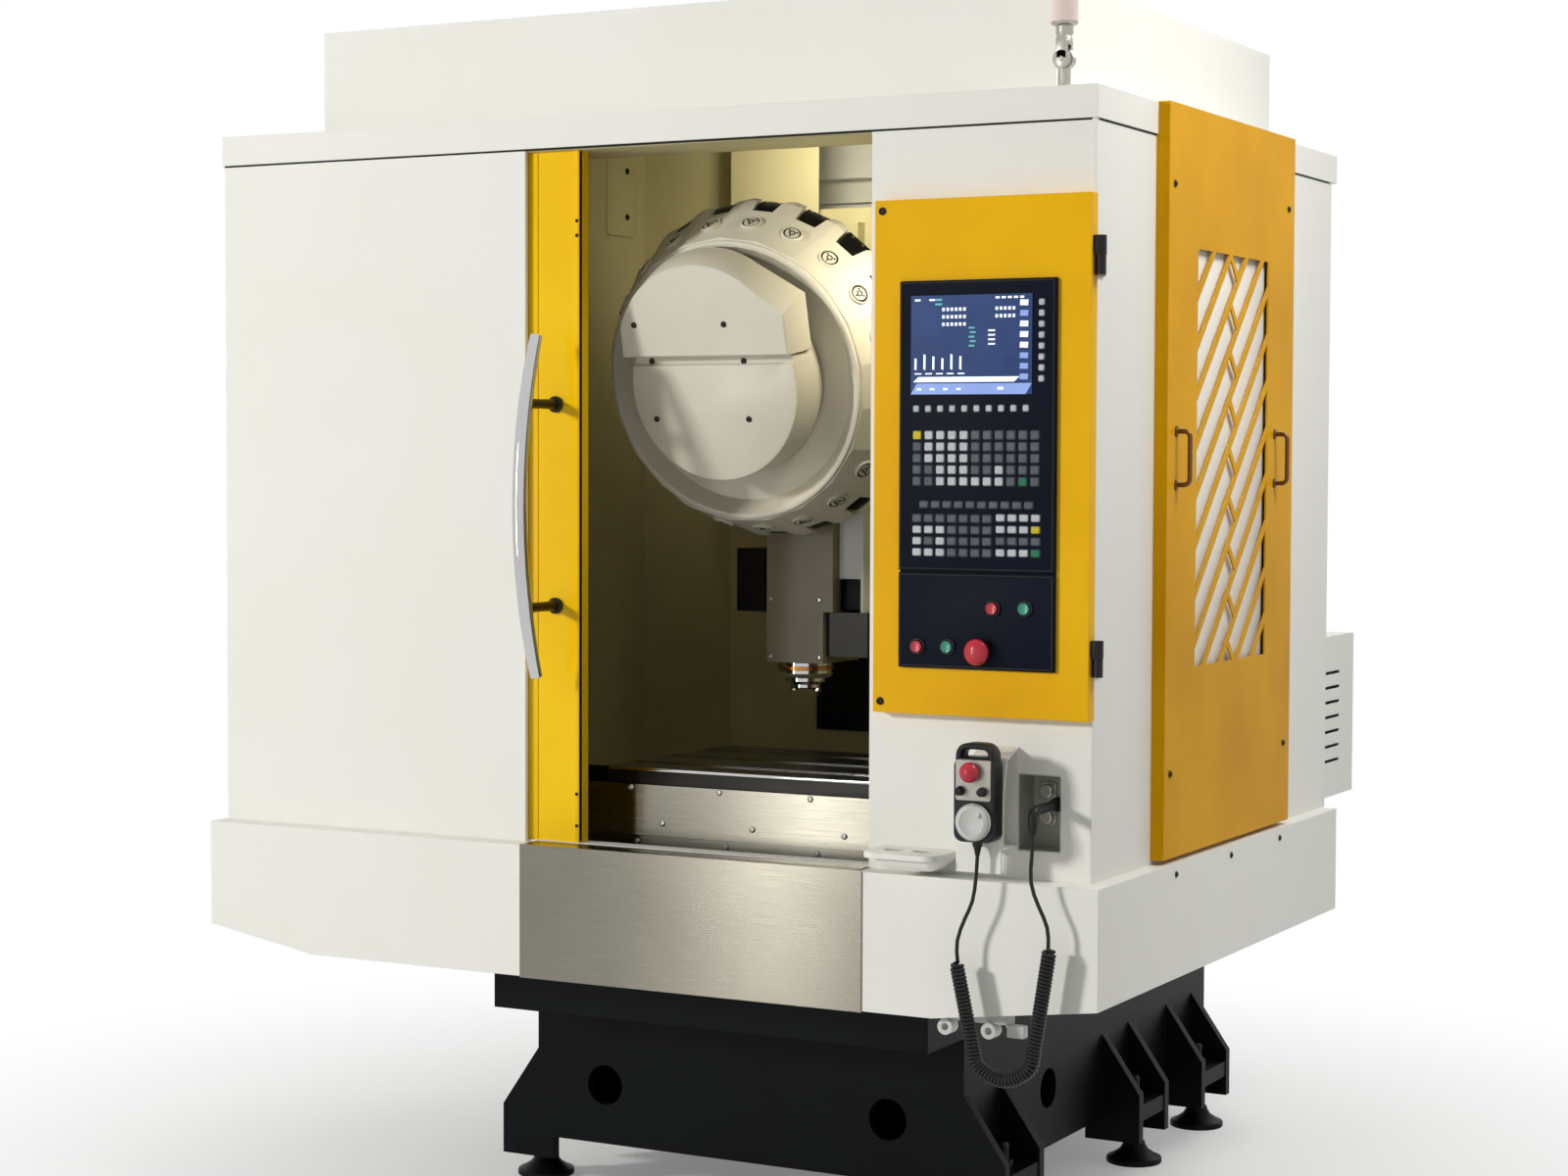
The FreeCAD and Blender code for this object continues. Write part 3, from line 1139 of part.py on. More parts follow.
# ================================================================ sliding door
def door_frame():
    x0 = DOOR_R - DOOR_W
    x1 = DOOR_R
    y0 = DOOR_F
    y1 = DOOR_F + DOOR_T
    body = box(x0, x1, y0, y1, DOOR_BOTTOM, DOOR_TOP)
    hole = box(x0 + DOOR_STILE, x1 - DOOR_STILE, y0 - 1, y1 + 1, DOOR_BOTTOM + DOOR_RAIL, DOOR_TOP - DOOR_RAIL)
    rebate = box(x0 + DOOR_STILE - 12, x1 - DOOR_STILE + 12, y1 - GLASS_T, y1 + 1, DOOR_BOTTOM + DOOR_RAIL - 12,
                 DOOR_TOP - DOOR_RAIL + 12)
    return body.cut([hole, rebate])


def door_window():
    x0 = DOOR_R - DOOR_W + DOOR_STILE - 12
    x1 = DOOR_R - DOOR_STILE + 12
    y1 = DOOR_F + DOOR_T
    return box(x0, x1, y1 - GLASS_T, y1, DOOR_BOTTOM + DOOR_RAIL - 12, DOOR_TOP - DOOR_RAIL + 12)


def door_handle():
    """A bowed bar on two posts; the bow is one arc about an axis along X."""
    mid_z = (HANDLE_BOTTOM + HANDLE_TOP) / 2
    half = (HANDLE_TOP - HANDLE_BOTTOM) / 2
    rise = HANDLE_END_Y - HANDLE_MID_Y
    bow_r = (half * half + rise * rise) / (2 * rise)
    centre = V(HANDLE_X, HANDLE_MID_Y + bow_r, mid_z)
    reach = asin(half / bow_r)
    start = V(HANDLE_X, HANDLE_END_Y, HANDLE_BOTTOM)
    section = Part.Face(section_polygon(start, V(0, -sin(reach), cos(reach)), HANDLE_R, FINE))
    parts = [section.revolve(centre, X_AXIS, -2 * degrees(reach))]
    for z in HANDLE_POST_Z:
        off = abs(z - mid_z)
        y = centre.y - sqrt(bow_r * bow_r - off * off)
        parts.append(bar(HANDLE_POST_R, V(HANDLE_X, y, z), V(HANDLE_X, DOOR_F, z), SMALL))
        parts.append(bar(HANDLE_POST_R + 5, V(HANDLE_X, DOOR_F - 6, z), V(HANDLE_X, DOOR_F, z), SMALL))
    return fuse(parts)


# ================================================================ control door
BUTTONS = {
    "button_red_upper": (FACE_R - 156.0, 1100.0),
    "button_green_upper": (FACE_R - 101.0, 1101.0),
    "button_red_lower": (FACE_R - 287.0, 1036.0),
    "button_green_lower": (FACE_R - 234.0, 1037.0),
}
STOP_PLACE = (FACE_R - 178.0, 1031.0)
BUTTON_TRAVEL = 4.0


def control_door():
    x0 = FACE_R - PANEL_W
    x1 = FACE_R + PANEL_OVER
    y1 = FACE_F - 1.0
    body = shell_box(x0, x1, PANEL_FRONT, y1, PANEL_BOTTOM, PANEL_TOP, SHEET, ("+y",))
    hole = box(UNIT_L, UNIT_R, PANEL_FRONT - 1, PANEL_FRONT + SHEET + 1, UNIT_BOTTOM, UNIT_TOP)
    parts = [body.cut(hole)]
    for z0, z1 in HINGE_Z:
        mid = (z0 + z1) / 2
        parts.append(bar(HINGE_R, V(HINGE_X, HINGE_Y, mid + 0.3), V(HINGE_X, HINGE_Y, z1), SMALL))
        parts.append(rod(HINGE_PIN_R, V(HINGE_X, HINGE_Y, z0), V(HINGE_X, HINGE_Y, z1)))
        parts.append(box(x1, HINGE_X, HINGE_Y - HINGE_R, HINGE_Y - HINGE_R + 4, mid + 0.3, z1))
    return fuse(parts)


def panel_hinges():
    parts = []
    for z0, z1 in HINGE_Z:
        mid = (z0 + z1) / 2
        knuckle = bar(HINGE_R, V(HINGE_X, HINGE_Y, z0), V(HINGE_X, HINGE_Y, mid), SMALL)
        leaf = box(FACE_R, FACE_R + 4, FACE_F, FACE_F + 30, z0, mid)
        web = box(FACE_R + PANEL_OVER + 0.5, HINGE_X, HINGE_Y + HINGE_PIN_R + 2, FACE_F + 6, z0, mid)
        hole = rod(HINGE_PIN_R + 0.1, V(HINGE_X, HINGE_Y, z0 - 1), V(HINGE_X, HINGE_Y, mid + 1))
        parts.append(fuse([knuckle, leaf, web]).cut(hole))
    return Part.makeCompound(parts)


def key_rows(rows, x0, x1, z0, z1, size):
    """Raised rows of keys, from the middle of the first key to that of the last."""
    bars = []
    for j in range(rows):
        z = z0 if rows == 1 else z0 + (z1 - z0) * j / (rows - 1)
        bars.append(box(x0 - size / 2, x1 + size / 2, UNIT_FRONT - KEY_H, UNIT_FRONT, z - size / 2, z + size / 2))
    return bars


def cnc_unit():
    back = UNIT_FRONT + UNIT_DEPTH
    body = box(UNIT_L, UNIT_R, UNIT_FRONT, PANEL_FRONT + SHEET, UNIT_BOTTOM, UNIT_TOP)
    rear = box(UNIT_L - 8, UNIT_R + 8, PANEL_FRONT + SHEET, back, UNIT_BOTTOM - 8, UNIT_TOP + 8)
    x0, x1, z0, z1 = SCREEN
    seam = box(UNIT_L - 1, UNIT_R + 1, UNIT_FRONT - 1, UNIT_FRONT + 1.5, UNIT_SEAM - 1.5, UNIT_SEAM + 1.5)
    pocket = box(x0, x1, UNIT_FRONT - 1, UNIT_FRONT + 4, z0, z1)
    holes = [seam, pocket]
    bezels = []
    for x, z in list(BUTTONS.values()) + [STOP_PLACE]:
        bezels.append(bar(BEZEL_R, V(x, UNIT_FRONT - BEZEL_H, z), V(x, UNIT_FRONT, z), SMALL))
        holes.append(bar(BUTTON_R + RUN, V(x, UNIT_FRONT - BEZEL_H - 1, z), V(x, UNIT_FRONT + 20, z), SMALL))
    keys = key_rows(1, FACE_R - 291.5, FACE_R - 102, 1415, 1415, 11)
    keys += [box(FACE_R - 81.5, FACE_R - 70.5, UNIT_FRONT - KEY_H, UNIT_FRONT, 1455, 1586)]
    keys += key_rows(5, FACE_R - 289.5, FACE_R - 86, 1300, 1373, 13)
    keys += key_rows(1, FACE_R - 277, FACE_R - 96, 1263, 1263, 10)
    keys += key_rows(4, FACE_R - 289, FACE_R - 167, 1187, 1241, 13)
    keys += key_rows(4, FACE_R - 144, FACE_R - 84, 1188, 1243, 13)
    return fuse([body, rear] + bezels).cut(holes).fuse(keys)


def display_glass():
    x0, x1, z0, z1 = SCREEN
    return box(x0, x1, UNIT_FRONT - GLASS_PROUD, UNIT_FRONT + 4, z0, z1)


def push_button(x, z):
    head_y = UNIT_FRONT - BEZEL_H - BUTTON_TRAVEL
    return bar(BUTTON_R, V(x, head_y, z), V(x, UNIT_FRONT + 20 - BUTTON_TRAVEL - 1, z), SMALL)


def mushroom(x, face_y, z, stem_r, stem_in, head_r, out, travel):
    """A stop button: a stem in its bore and a domed head clear of the bezel by its travel."""
    base = face_y - travel - STOP_GAP
    head = stacked([
        (head_r * 0.8, stem_in), (head_r, stem_in + out * 0.35), (head_r, stem_in + out * 0.6),
        (head_r * 0.75, stem_in + out * 0.92), (head_r * 0.4, stem_in + out),
    ], LARGE)
    stem = Part.Face(section_polygon(V(0, 0, 0), Z_AXIS, stem_r, SMALL)).extrude(V(0, 0, stem_in + 1))
    body = head.fuse(stem)
    body.rotate(V(0, 0, 0), X_AXIS, 90)
    body.translate(V(x, base + stem_in, z))
    return body


def panel_estop():
    x, z = STOP_PLACE
    return mushroom(x, UNIT_FRONT - BEZEL_H, z, BUTTON_R, 18.0, STOP_R, STOP_OUT - BEZEL_H - 2, BUTTON_TRAVEL)


# ================================================================ pendant
PEND_STOP = (FACE_R - 162.0, 847.0)
PEND_KNOBS = {"pendant_axis_knob": FACE_R - 180.0, "pendant_scale_knob": FACE_R - 142.0}
PEND_KNOB_Z = 817.0
PEND_DIAL = (FACE_R - 157.0, 769.0)
PEND_DIAL_R = 29.5
PEND_FACE_T = 2.0
PEND_STOP_TRAVEL = 3.0
STEM_ROOM = 0.15            # even-sided holes around turning stems


def slot_outline(x0, x1, z0, z1, y):
    """A slot with round ends, lying in an XZ plane."""
    r = (z1 - z0) / 2
    zc = (z0 + z1) / 2
    edges = [
        Part.makeLine(V(x0 + r, y, z0), V(x1 - r, y, z0)),
        Part.Arc(V(x1 - r, y, z0), V(x1, y, zc), V(x1 - r, y, z1)).toShape(),
        Part.makeLine(V(x1 - r, y, z1), V(x0 + r, y, z1)),
        Part.Arc(V(x0 + r, y, z1), V(x0, y, zc), V(x0 + r, y, z0)).toShape(),
    ]
    return Part.Wire(edges)


def pendant_body():
    y0 = PEND_F
    y1 = PEND_F + PEND_D
    c = 14.0
    waist = 4.0
    points = [
        V(PEND_L + c, y0 + PEND_FACE_T, PEND_TOP), V(PEND_L, y0 + PEND_FACE_T, PEND_TOP - c),
        V(PEND_L, y0 + PEND_FACE_T, PEND_TOP - 70), V(PEND_L + waist, y0 + PEND_FACE_T, PEND_TOP - 85),
        V(PEND_L, y0 + PEND_FACE_T, PEND_BOTTOM + 50), V(PEND_L, y0 + PEND_FACE_T, PEND_BOTTOM + c),
        V(PEND_L + c, y0 + PEND_FACE_T, PEND_BOTTOM), V(PEND_R - c, y0 + PEND_FACE_T, PEND_BOTTOM),
        V(PEND_R, y0 + PEND_FACE_T, PEND_BOTTOM + c), V(PEND_R, y0 + PEND_FACE_T, PEND_BOTTOM + 50),
        V(PEND_R - waist, y0 + PEND_FACE_T, PEND_TOP - 85), V(PEND_R, y0 + PEND_FACE_T, PEND_TOP - 70),
        V(PEND_R, y0 + PEND_FACE_T, PEND_TOP - c), V(PEND_R - c, y0 + PEND_FACE_T, PEND_TOP),
    ]
    body = prism(points, V(0, PEND_D - PEND_FACE_T, 0))
    plate = box(PEND_L + 4, PEND_R - 4, y0, y0 + PEND_FACE_T, 803, 865)
    dial_x, dial_z = PEND_DIAL
    ring = bar(PEND_DIAL_R + 2, V(dial_x, y0, dial_z), V(dial_x, y0 + PEND_FACE_T, dial_z), LARGE)
    slot = Part.Face(slot_outline(FACE_R - 184, FACE_R - 134, 871, 884, y0 - 1)).extrude(V(0, PEND_D + 2, 0))
    holes = [slot]
    x, z = PEND_STOP
    holes.append(bar(6.0 + RUN, V(x, y0 - 1, z), V(x, y0 + 20, z), SMALL))
    for x in PEND_KNOBS.values():
        holes.append(bar(3.0 + STEM_ROOM, V(x, y0 - 1, PEND_KNOB_Z), V(x, y0 + 14, PEND_KNOB_Z), SMALL))
    holes.append(bar(6.0 + STEM_ROOM, V(dial_x, y0 - 1, dial_z), V(dial_x, y0 + 16, dial_z), SMALL))
    return fuse([body, plate, ring]).cut(holes)


def pendant_estop():
    x, z = PEND_STOP
    out = FRONT_REACH - (FACE_F - PEND_F) - PEND_STOP_TRAVEL - STOP_GAP
    return mushroom(x, PEND_F, z, 6.0, 16.0, 16.0, out, PEND_STOP_TRAVEL)


def pendant_knob(x):
    top = bar(7.5, V(x, PEND_F - 12, PEND_KNOB_Z), V(x, PEND_F - 0.3, PEND_KNOB_Z), SMALL)
    stem = rod(3.0, V(x, PEND_F - 1, PEND_KNOB_Z), V(x, PEND_F + 13, PEND_KNOB_Z))
    pointer = box(x - 1, x + 1, PEND_F - 13, PEND_F - 11, PEND_KNOB_Z, PEND_KNOB_Z + 7)
    return fuse([top, stem, pointer])


def pendant_dial():
    x, z = PEND_DIAL
    wheel = stacked([
        (PEND_DIAL_R, 15.3), (PEND_DIAL_R, 21), (PEND_DIAL_R - 3, 25), (PEND_DIAL_R - 8, 26), (PEND_DIAL_R - 10, 24),
    ], LARGE)
    stem = rod(6.0, V(0, 0, 0), V(0, 0, 16))
    body = wheel.fuse(stem)
    body.rotate(V(0, 0, 0), X_AXIS, 90)
    body.translate(V(x, PEND_F + 15, z))
    crank = bar(4.0, V(x + 12, PEND_F - 15, z + 12), V(x + 12, PEND_F - 7, z + 12), FINE)
    return fuse([body, crank])


def pendant_bracket():
    y1 = FACE_F
    y0 = PEND_F + PEND_D
    x0 = PEND_L + 6
    x1 = PEND_R
    side = [V(x0, y0, 722), V(x0, y0, 800), V(x0, y0 + 14, 866), V(x0, y1, 880), V(x0, y1, 722)]
    block = prism(side, V(x1 - x0, 0, 0))
    inner = [V(x0 + 3, y0 + 3, 725), V(x0 + 3, y0 + 3, 798), V(x0 + 3, y0 + 16, 862), V(x0 + 3, y1 - 3, 876),
             V(x0 + 3, y1 - 3, 725)]
    block = block.cut(prism(inner, V(x1 - x0, 0, 0)))
    plate = box(FACE_R - 205, FACE_R - 127, y0, y0 + 3, 684, 725)
    join = box(FACE_R - 188, FACE_R - 127, y0, y1, 722, 725)
    return fuse([block, plate, join])


def strain_relief():
    body = stacked([
        (RELIEF_R - 2.2, -RELIEF_L), (RELIEF_R, -10), (RELIEF_R + 1.5, -8), (RELIEF_R + 1.5, 0),
    ], SMALL)
    body.translate(V(PEND_X, CORD_Y, PEND_BOTTOM))
    return body


def connector_recess():
    x0, x1, z0, z1 = RECESS
    y1 = FACE_F + RECESS_D
    pocket = shell_box(x0 + SHEET, x1 - SHEET, FACE_F, y1, z0 + SHEET, z1 - SHEET, SHEET, ("-y",))
    flange = box(x0 - 4, x1 + 4, FACE_F + SHEET, FACE_F + 2 * SHEET, z0 - 4, z1 + 4)
    flange = flange.cut(box(x0 + SHEET, x1 - SHEET, FACE_F, FACE_F + 9, z0 + SHEET, z1 - SHEET))
    back = y1 - SHEET
    sockets = [bar(SOCKET_R, V(FACE_R - 98, back - 14, z), V(FACE_R - 98, back, z), SMALL) for z in (806, 764)]
    stub = bar(PLUG_R - 3, V(PLUG_X, back - 20, PLUG_Z), V(PLUG_X, back, PLUG_Z), SMALL)
    return fuse([pocket, flange] + sockets + [stub])


def cord_plug():
    back = FACE_F + RECESS_D - SHEET - 20
    level = V(PLUG_X, back, PLUG_Z)
    elbow = V(PLUG_X, CORD_Y, PLUG_Z)
    barrel = bar(PLUG_R, level, level.add(V(0, -34, 0)), SMALL)
    neck = bar(PLUG_R - 3, level, elbow.add(V(0, -PLUG_R + 3, 0)), SMALL)
    down = bar(PLUG_R - 3, elbow.add(V(0, 0, PLUG_R - 3)), elbow.add(V(0, 0, -16)), SMALL)
    gland = stacked([(PLUG_R - 5, PLUG_END_Z), (PLUG_R - 3, PLUG_Z - 16)], SMALL)
    gland.translate(V(PLUG_X, CORD_Y, 0))
    return fuse([barrel, neck, down, gland])


# ================================================================ cord
LEG_L_TOP = V(FACE_R - 195.0, CORD_Y, 545.0)
LEG_L_LOW = V(FACE_R - 164.0, CORD_Y, 404.0)
LEG_R_LOW = V(FACE_R - 62.0, CORD_Y, 404.0)
LEG_R_TOP = V(FACE_R - 35.0, CORD_Y, 579.0)


def coil_axis():
    """The coil's hanging line: two straight legs and the tangent arc between them."""
    down = unit(LEG_L_LOW.sub(LEG_L_TOP))
    up = unit(LEG_R_TOP.sub(LEG_R_LOW))
    a_down = atan2(down.z, down.x)
    a_up = atan2(up.z, up.x)
    turn = a_up - a_down
    chord = LEG_R_LOW.x - LEG_L_LOW.x
    bend = chord / 2 / sin(turn / 2)
    centre = LEG_L_LOW.add(V(-sin(a_down) * bend, 0, cos(a_down) * bend))
    end = centre.add(V(sin(a_up) * bend, 0, -cos(a_up) * bend))
    leg1 = LEG_L_LOW.sub(LEG_L_TOP).Length
    leg2 = LEG_R_TOP.sub(LEG_R_LOW).Length
    arc = bend * turn

    def at(s):
        if s < leg1:
            return LEG_L_TOP.add(down * s), down
        if s < leg1 + arc:
            angle = a_down + (s - leg1) / bend
            point = centre.add(V(sin(angle) * bend, 0, -cos(angle) * bend))
            return point, V(cos(angle), 0, sin(angle))
        return end.add(up * (s - leg1 - arc)), up

    return at, leg1 + arc + leg2


def coil_point(at, s, theta):
    point, way = at(s)
    side = V(-way.z, 0, way.x)
    return point.add(side * (COIL_R * cos(theta))).add(Y_AXIS * (COIL_R * sin(theta)))


def coil_nodes(at, length):
    """Wire points every half turn with their directions, with straight ends."""
    lead_in = 8.0
    span = length - 2 * lead_in
    turns = COIL_TURNS + 0.5
    pitch = span / turns
    nodes = []
    first, way = at(0.0)
    side = V(-way.z, 0, way.x)
    nodes.append((first.add(side * COIL_R), way))
    steps = int(round(turns * 2))
    for i in range(steps + 1):
        theta = pi / 2 + pi * i
        s = lead_in + pitch * (i / 2.0)
        before = coil_point(at, s - 0.01, theta - 0.01 * 2 * pi / pitch)
        after = coil_point(at, s + 0.01, theta + 0.01 * 2 * pi / pitch)
        nodes.append((coil_point(at, s, theta), unit(after.sub(before))))
    last, way = at(length)
    side = V(-way.z, 0, way.x)
    theta = pi / 2 + pi * steps + pi / 2
    nodes.append((last.add(side * (COIL_R * cos(theta))), way))
    return nodes


def biarc(p0, t0, p1, t1):
    """Two arcs from p0 along t0 to p1 along t1, as two three-point arcs."""
    v = p1.sub(p0)
    t = t0.add(t1)
    a = 2 * (1 - t0.dot(t1))
    b = v.dot(t)
    c = v.dot(v)
    if a < 1e-9:
        d = c / (2 * b) if abs(b) > 1e-9 else sqrt(c) / 2
    else:
        d = (-b + sqrt(b * b + a * c)) / a
    q0 = p0.add(t0 * d)
    q1 = p1.sub(t1 * d)
    joint = (q0.add(q1)) * 0.5
    return [arc_between(p0, t0, joint), arc_between(joint, unit(q1.sub(q0)), p1)]


def arc_between(p, t, q):
    """The circular edge that leaves p along t and ends in q."""
    v = q.sub(p)
    across = v.sub(t * v.dot(t))
    h = across.Length
    if h < 1e-6:
        return Part.makeLine(p, q), 1e9
    n = across * (1.0 / h)
    r = v.dot(v) / (2 * h)
    angle = acos(max(-1.0, min(1.0, (r - h) / r)))
    middle = p.add(t * (r * sin(angle / 2))).add(n * (r * (1 - cos(angle / 2))))
    return Part.Arc(p, middle, q).toShape(), r


COIL_SIDES = 4
TUBE_SIDES = 6


def cord_coil():
    at, length = coil_axis()
    nodes = coil_nodes(at, length)
    p0, t0 = nodes[0]
    start = p0.sub(t0 * (2 * WIRE_R))
    edges = [Part.makeLine(start, p0)]
    radii = []
    for (pa, ta), (pb, tb) in zip(nodes, nodes[1:]):
        for edge, r in biarc(pa, ta, pb, tb):
            edges.append(edge)
            radii.append(r)
    p1, t1 = nodes[-1]
    stop = p1.add(t1 * (2 * WIRE_R))
    edges.append(Part.makeLine(p1, stop))
    spine = Part.Wire(edges)
    sweep = Part.BRepOffsetAPI.MakePipeShell(spine)
    sweep.add(section_polygon(start, t0, WIRE_R, COIL_SIDES))
    sweep.build()
    sweep.makeSolid()
    shape = sweep.shape()
    expected = pi * WIRE_R * WIRE_R * spine.Length
    print("coil wire length %.0f mm, tightest arc %.2f mm, volume %.0f of %.0f mm3" % (
        spine.Length, min(radii), shape.Volume, expected))
    print("coil least gap to itself %.2f mm" % self_gap(edges))
    return shape, start, stop, t0, t1


def self_gap(edges):
    """Least open distance between stretches of wire that aren't neighbours."""
    points = []
    walked = 0.0
    for edge in edges:
        count = max(2, int(edge.Length / 1.2))
        first, last = edge.ParameterRange
        for i in range(count):
            points.append((walked + edge.Length * i / count, edge.valueAt(first + (last - first) * i / count)))
        walked += edge.Length
    least = 1e9
    near = 3.0 * 2 * WIRE_R
    for i in range(len(points)):
        for j in range(i + 1, min(i + 120, len(points))):
            if points[j][0] - points[i][0] > near:
                least = min(least, points[j][1].sub(points[i][1]).Length)
    return least - 2 * WIRE_R


def cord_run(name, points, radius):
    """A plain tube on straight runs joined by tangent arcs, and its printed radii."""
    corners = []
    for i in range(1, len(points) - 1):
        a = points[i].sub(points[i - 1])
        b = points[i + 1].sub(points[i])
        turn = unit(a).getAngle(unit(b))
        r = 0.45 * min(a.Length, b.Length) / tan(turn / 2)
        corners.append((points[i], unit(a), unit(b), turn, r))
    edges = []
    here = points[0]
    for point, a, b, turn, r in corners:
        trim = r * tan(turn / 2)
        enter = point.sub(a * trim)
        leave = point.add(b * trim)
        bisector = unit(b.sub(a))
        middle = point.add(bisector * (r / cos(turn / 2) - r))
        edges.append(Part.makeLine(here, enter))
        edges.append(Part.Arc(enter, middle, leave).toShape())
        here = leave
    edges.append(Part.makeLine(here, points[-1]))
    spine = Part.Wire(edges)
    ring = section_polygon(points[0], unit(points[1].sub(points[0])), radius, TUBE_SIDES)
    sweep = Part.BRepOffsetAPI.MakePipeShell(spine)
    sweep.add(ring)
    sweep.build()
    sweep.makeSolid()
    shape = sweep.shape()
    print("%s radii %s, volume %.0f of %.0f mm3" % (
        name, " ".join("%.0f" % c[4] for c in corners), shape.Volume, pi * radius * radius * spine.Length))
    return shape


def lead_points(end, way):
    top = V(PEND_X, CORD_Y, PEND_BOTTOM - RELIEF_L)
    return [
        top,
        top.add(V(-1.5, 0, -30)),
        top.add(V(-7, 0, -72)),
        V(end.x + 9, CORD_Y, end.z + 62),
        end.sub(way * 26),
        end,
    ]


def tail_points(start, way):
    top = V(PLUG_X, CORD_Y, PLUG_END_Z)
    return [
        start,
        start.add(way * 22),
        V(start.x - 14, CORD_Y, start.z + 54),
        V(PLUG_X - 5, CORD_Y, PLUG_END_Z - 74),
        top.sub(V(1, 0, 30)),
        top,
    ]


# ================================================================ small pieces
def tray():
    """A small folded tray hanging on the front, with two oval cup holes."""
    x0, x1 = FACE_R - 359.0, FACE_R - 224.0
    y0, y1 = FACE_F - 98.0, FACE_F
    z0, z1 = 700.0, 709.0
    r = 26.0
    edges = [
        Part.makeLine(V(x0, y1, z0), V(x0, y0 + r, z0)),
        Part.Arc(V(x0, y0 + r, z0), V(x0 + r * (1 - cos(pi / 4)), y0 + r * (1 - sin(pi / 4)), z0),
                 V(x0 + r, y0, z0)).toShape(),
        Part.makeLine(V(x0 + r, y0, z0), V(x1 - r, y0, z0)),
        Part.Arc(V(x1 - r, y0, z0), V(x1 - r * (1 - cos(pi / 4)), y0 + r * (1 - sin(pi / 4)), z0),
                 V(x1, y0 + r, z0)).toShape(),
        Part.makeLine(V(x1, y0 + r, z0), V(x1, y1, z0)),
        Part.makeLine(V(x1, y1, z0), V(x0, y1, z0)),
    ]
    body = Part.Face(Part.Wire(edges)).extrude(V(0, 0, z1 - z0))
    holes = [box(x0 + 4, x1 - 4, y0 + 12, y1 - 4, z0 - 1, z1 - 3)]
    for x in (x0 + 42, x1 - 42):
        ring = []
        for i in range(SMALL):
            angle = 2 * pi * i / SMALL
            ring.append(V(x + 21 * cos(angle), y0 + 48 + 12 * sin(angle), z0 - 5))
        holes.append(prism(ring, V(0, 0, 20)))
    flange = box(x0 + 10, x1 - 10, y1 - 3, y1, z0 - 28, z0)
    return fuse([body.cut(holes), flange])


def pipe_clamps():
    """Coolant pipe holders on a strip behind the skirt's front edge."""
    y = FACE_F - 20.0
    x0 = FACE_R - 250.0
    x1 = x0 + 150.0
    low = SKIRT_LOW - 14.0
    strip_z = SKIRT_END_R - 15.0
    inside = FACE_F - SKIRT_OUT_F + SKIRT_SHEET
    rings = (x0 + 14, x0 + 90)
    parts = [
        box(x0, x1, inside, y + 12, strip_z, strip_z + 4),
        box(x0, x1, y - 2, y + 2, low + 8, strip_z),
        box(x1 - 30, x1, y - 8, y + 8, low - 8, low + 12),
    ]
    parts += [bar(13, V(x, y - 12, low), V(x, y + 12, low), SMALL) for x in rings]
    holes = [bar(6, V(x, y - 13, low), V(x, y + 13, low), SMALL) for x in rings]
    return fuse(parts).cut(holes)


def lamp_bracket():
    z0 = LIP_Z + ROOF_H
    foot_plate = bar(20, V(LAMP_X, LAMP_Y, z0), V(LAMP_X, LAMP_Y, z0 + 4), LARGE)
    post = bar(LAMP_STEM_R, V(LAMP_X, LAMP_Y, z0), V(LAMP_X, LAMP_Y, LAMP_PIVOT_Z), SMALL)
    eye = bar(17, V(LAMP_X, LAMP_Y - 6, LAMP_PIVOT_Z), V(LAMP_X, LAMP_Y + 6, LAMP_PIVOT_Z), LARGE)
    shave = box(LAMP_X - 30, LAMP_X + 30, LAMP_Y - 30, LAMP_Y - 6, LAMP_PIVOT_Z - 20, LAMP_PIVOT_Z + 30)
    shave2 = box(LAMP_X - 30, LAMP_X + 30, LAMP_Y + 6, LAMP_Y + 30, LAMP_PIVOT_Z - 20, LAMP_PIVOT_Z + 30)
    pin = rod(6.05, V(LAMP_X, LAMP_Y - 20, LAMP_PIVOT_Z), V(LAMP_X, LAMP_Y + 20, LAMP_PIVOT_Z))
    return fuse([foot_plate, post, eye]).cut([shave, shave2, pin])


def lamp_head():
    pin = rod(6, V(LAMP_X, LAMP_Y - 14, LAMP_PIVOT_Z), V(LAMP_X, LAMP_Y + 14, LAMP_PIVOT_Z))
    cheeks = []
    for y0, y1 in ((LAMP_Y - 14, LAMP_Y - 6 - RUN), (LAMP_Y + 6 + RUN, LAMP_Y + 14)):
        cheeks.append(bar(15, V(LAMP_X, y0, LAMP_PIVOT_Z), V(LAMP_X, y1, LAMP_PIVOT_Z), SMALL))
        cheeks.append(box(LAMP_X - 9, LAMP_X + 9, y0, y1, LAMP_PIVOT_Z, LAMP_PIVOT_Z + 30))
    stem = bar(14, V(LAMP_X, LAMP_Y, LAMP_PIVOT_Z + 22), V(LAMP_X, LAMP_Y, LAMP_PIVOT_Z + 58), SMALL)
    tube = bar(LAMP_R, V(LAMP_X, LAMP_Y, LAMP_PIVOT_Z + 58), V(LAMP_X, LAMP_Y, LAMP_PIVOT_Z + 58 + LAMP_H), LARGE)
    return fuse([pin] + cheeks + [stem, tube])


def screw(start, end):
    return rod(SCREW_R, start, end)


def z_screw():
    return rod(Z_SCREW_R, V(MX, Z_SCREW_Y, Z_RAIL_BOTTOM - 20), V(MX, Z_SCREW_Y, Z_RAIL_TOP + 20))


def y_screw():
    return screw(V(MX, Y_BEARINGS[0][0], Y_SCREW_Z), V(MX, Y_BEARINGS[1][1], Y_SCREW_Z))


def x_screw():
    start, end = x_screw_line()
    return screw(start, end)


def save(name, shape):
    shape.exportStep("parts/%s.step" % name)


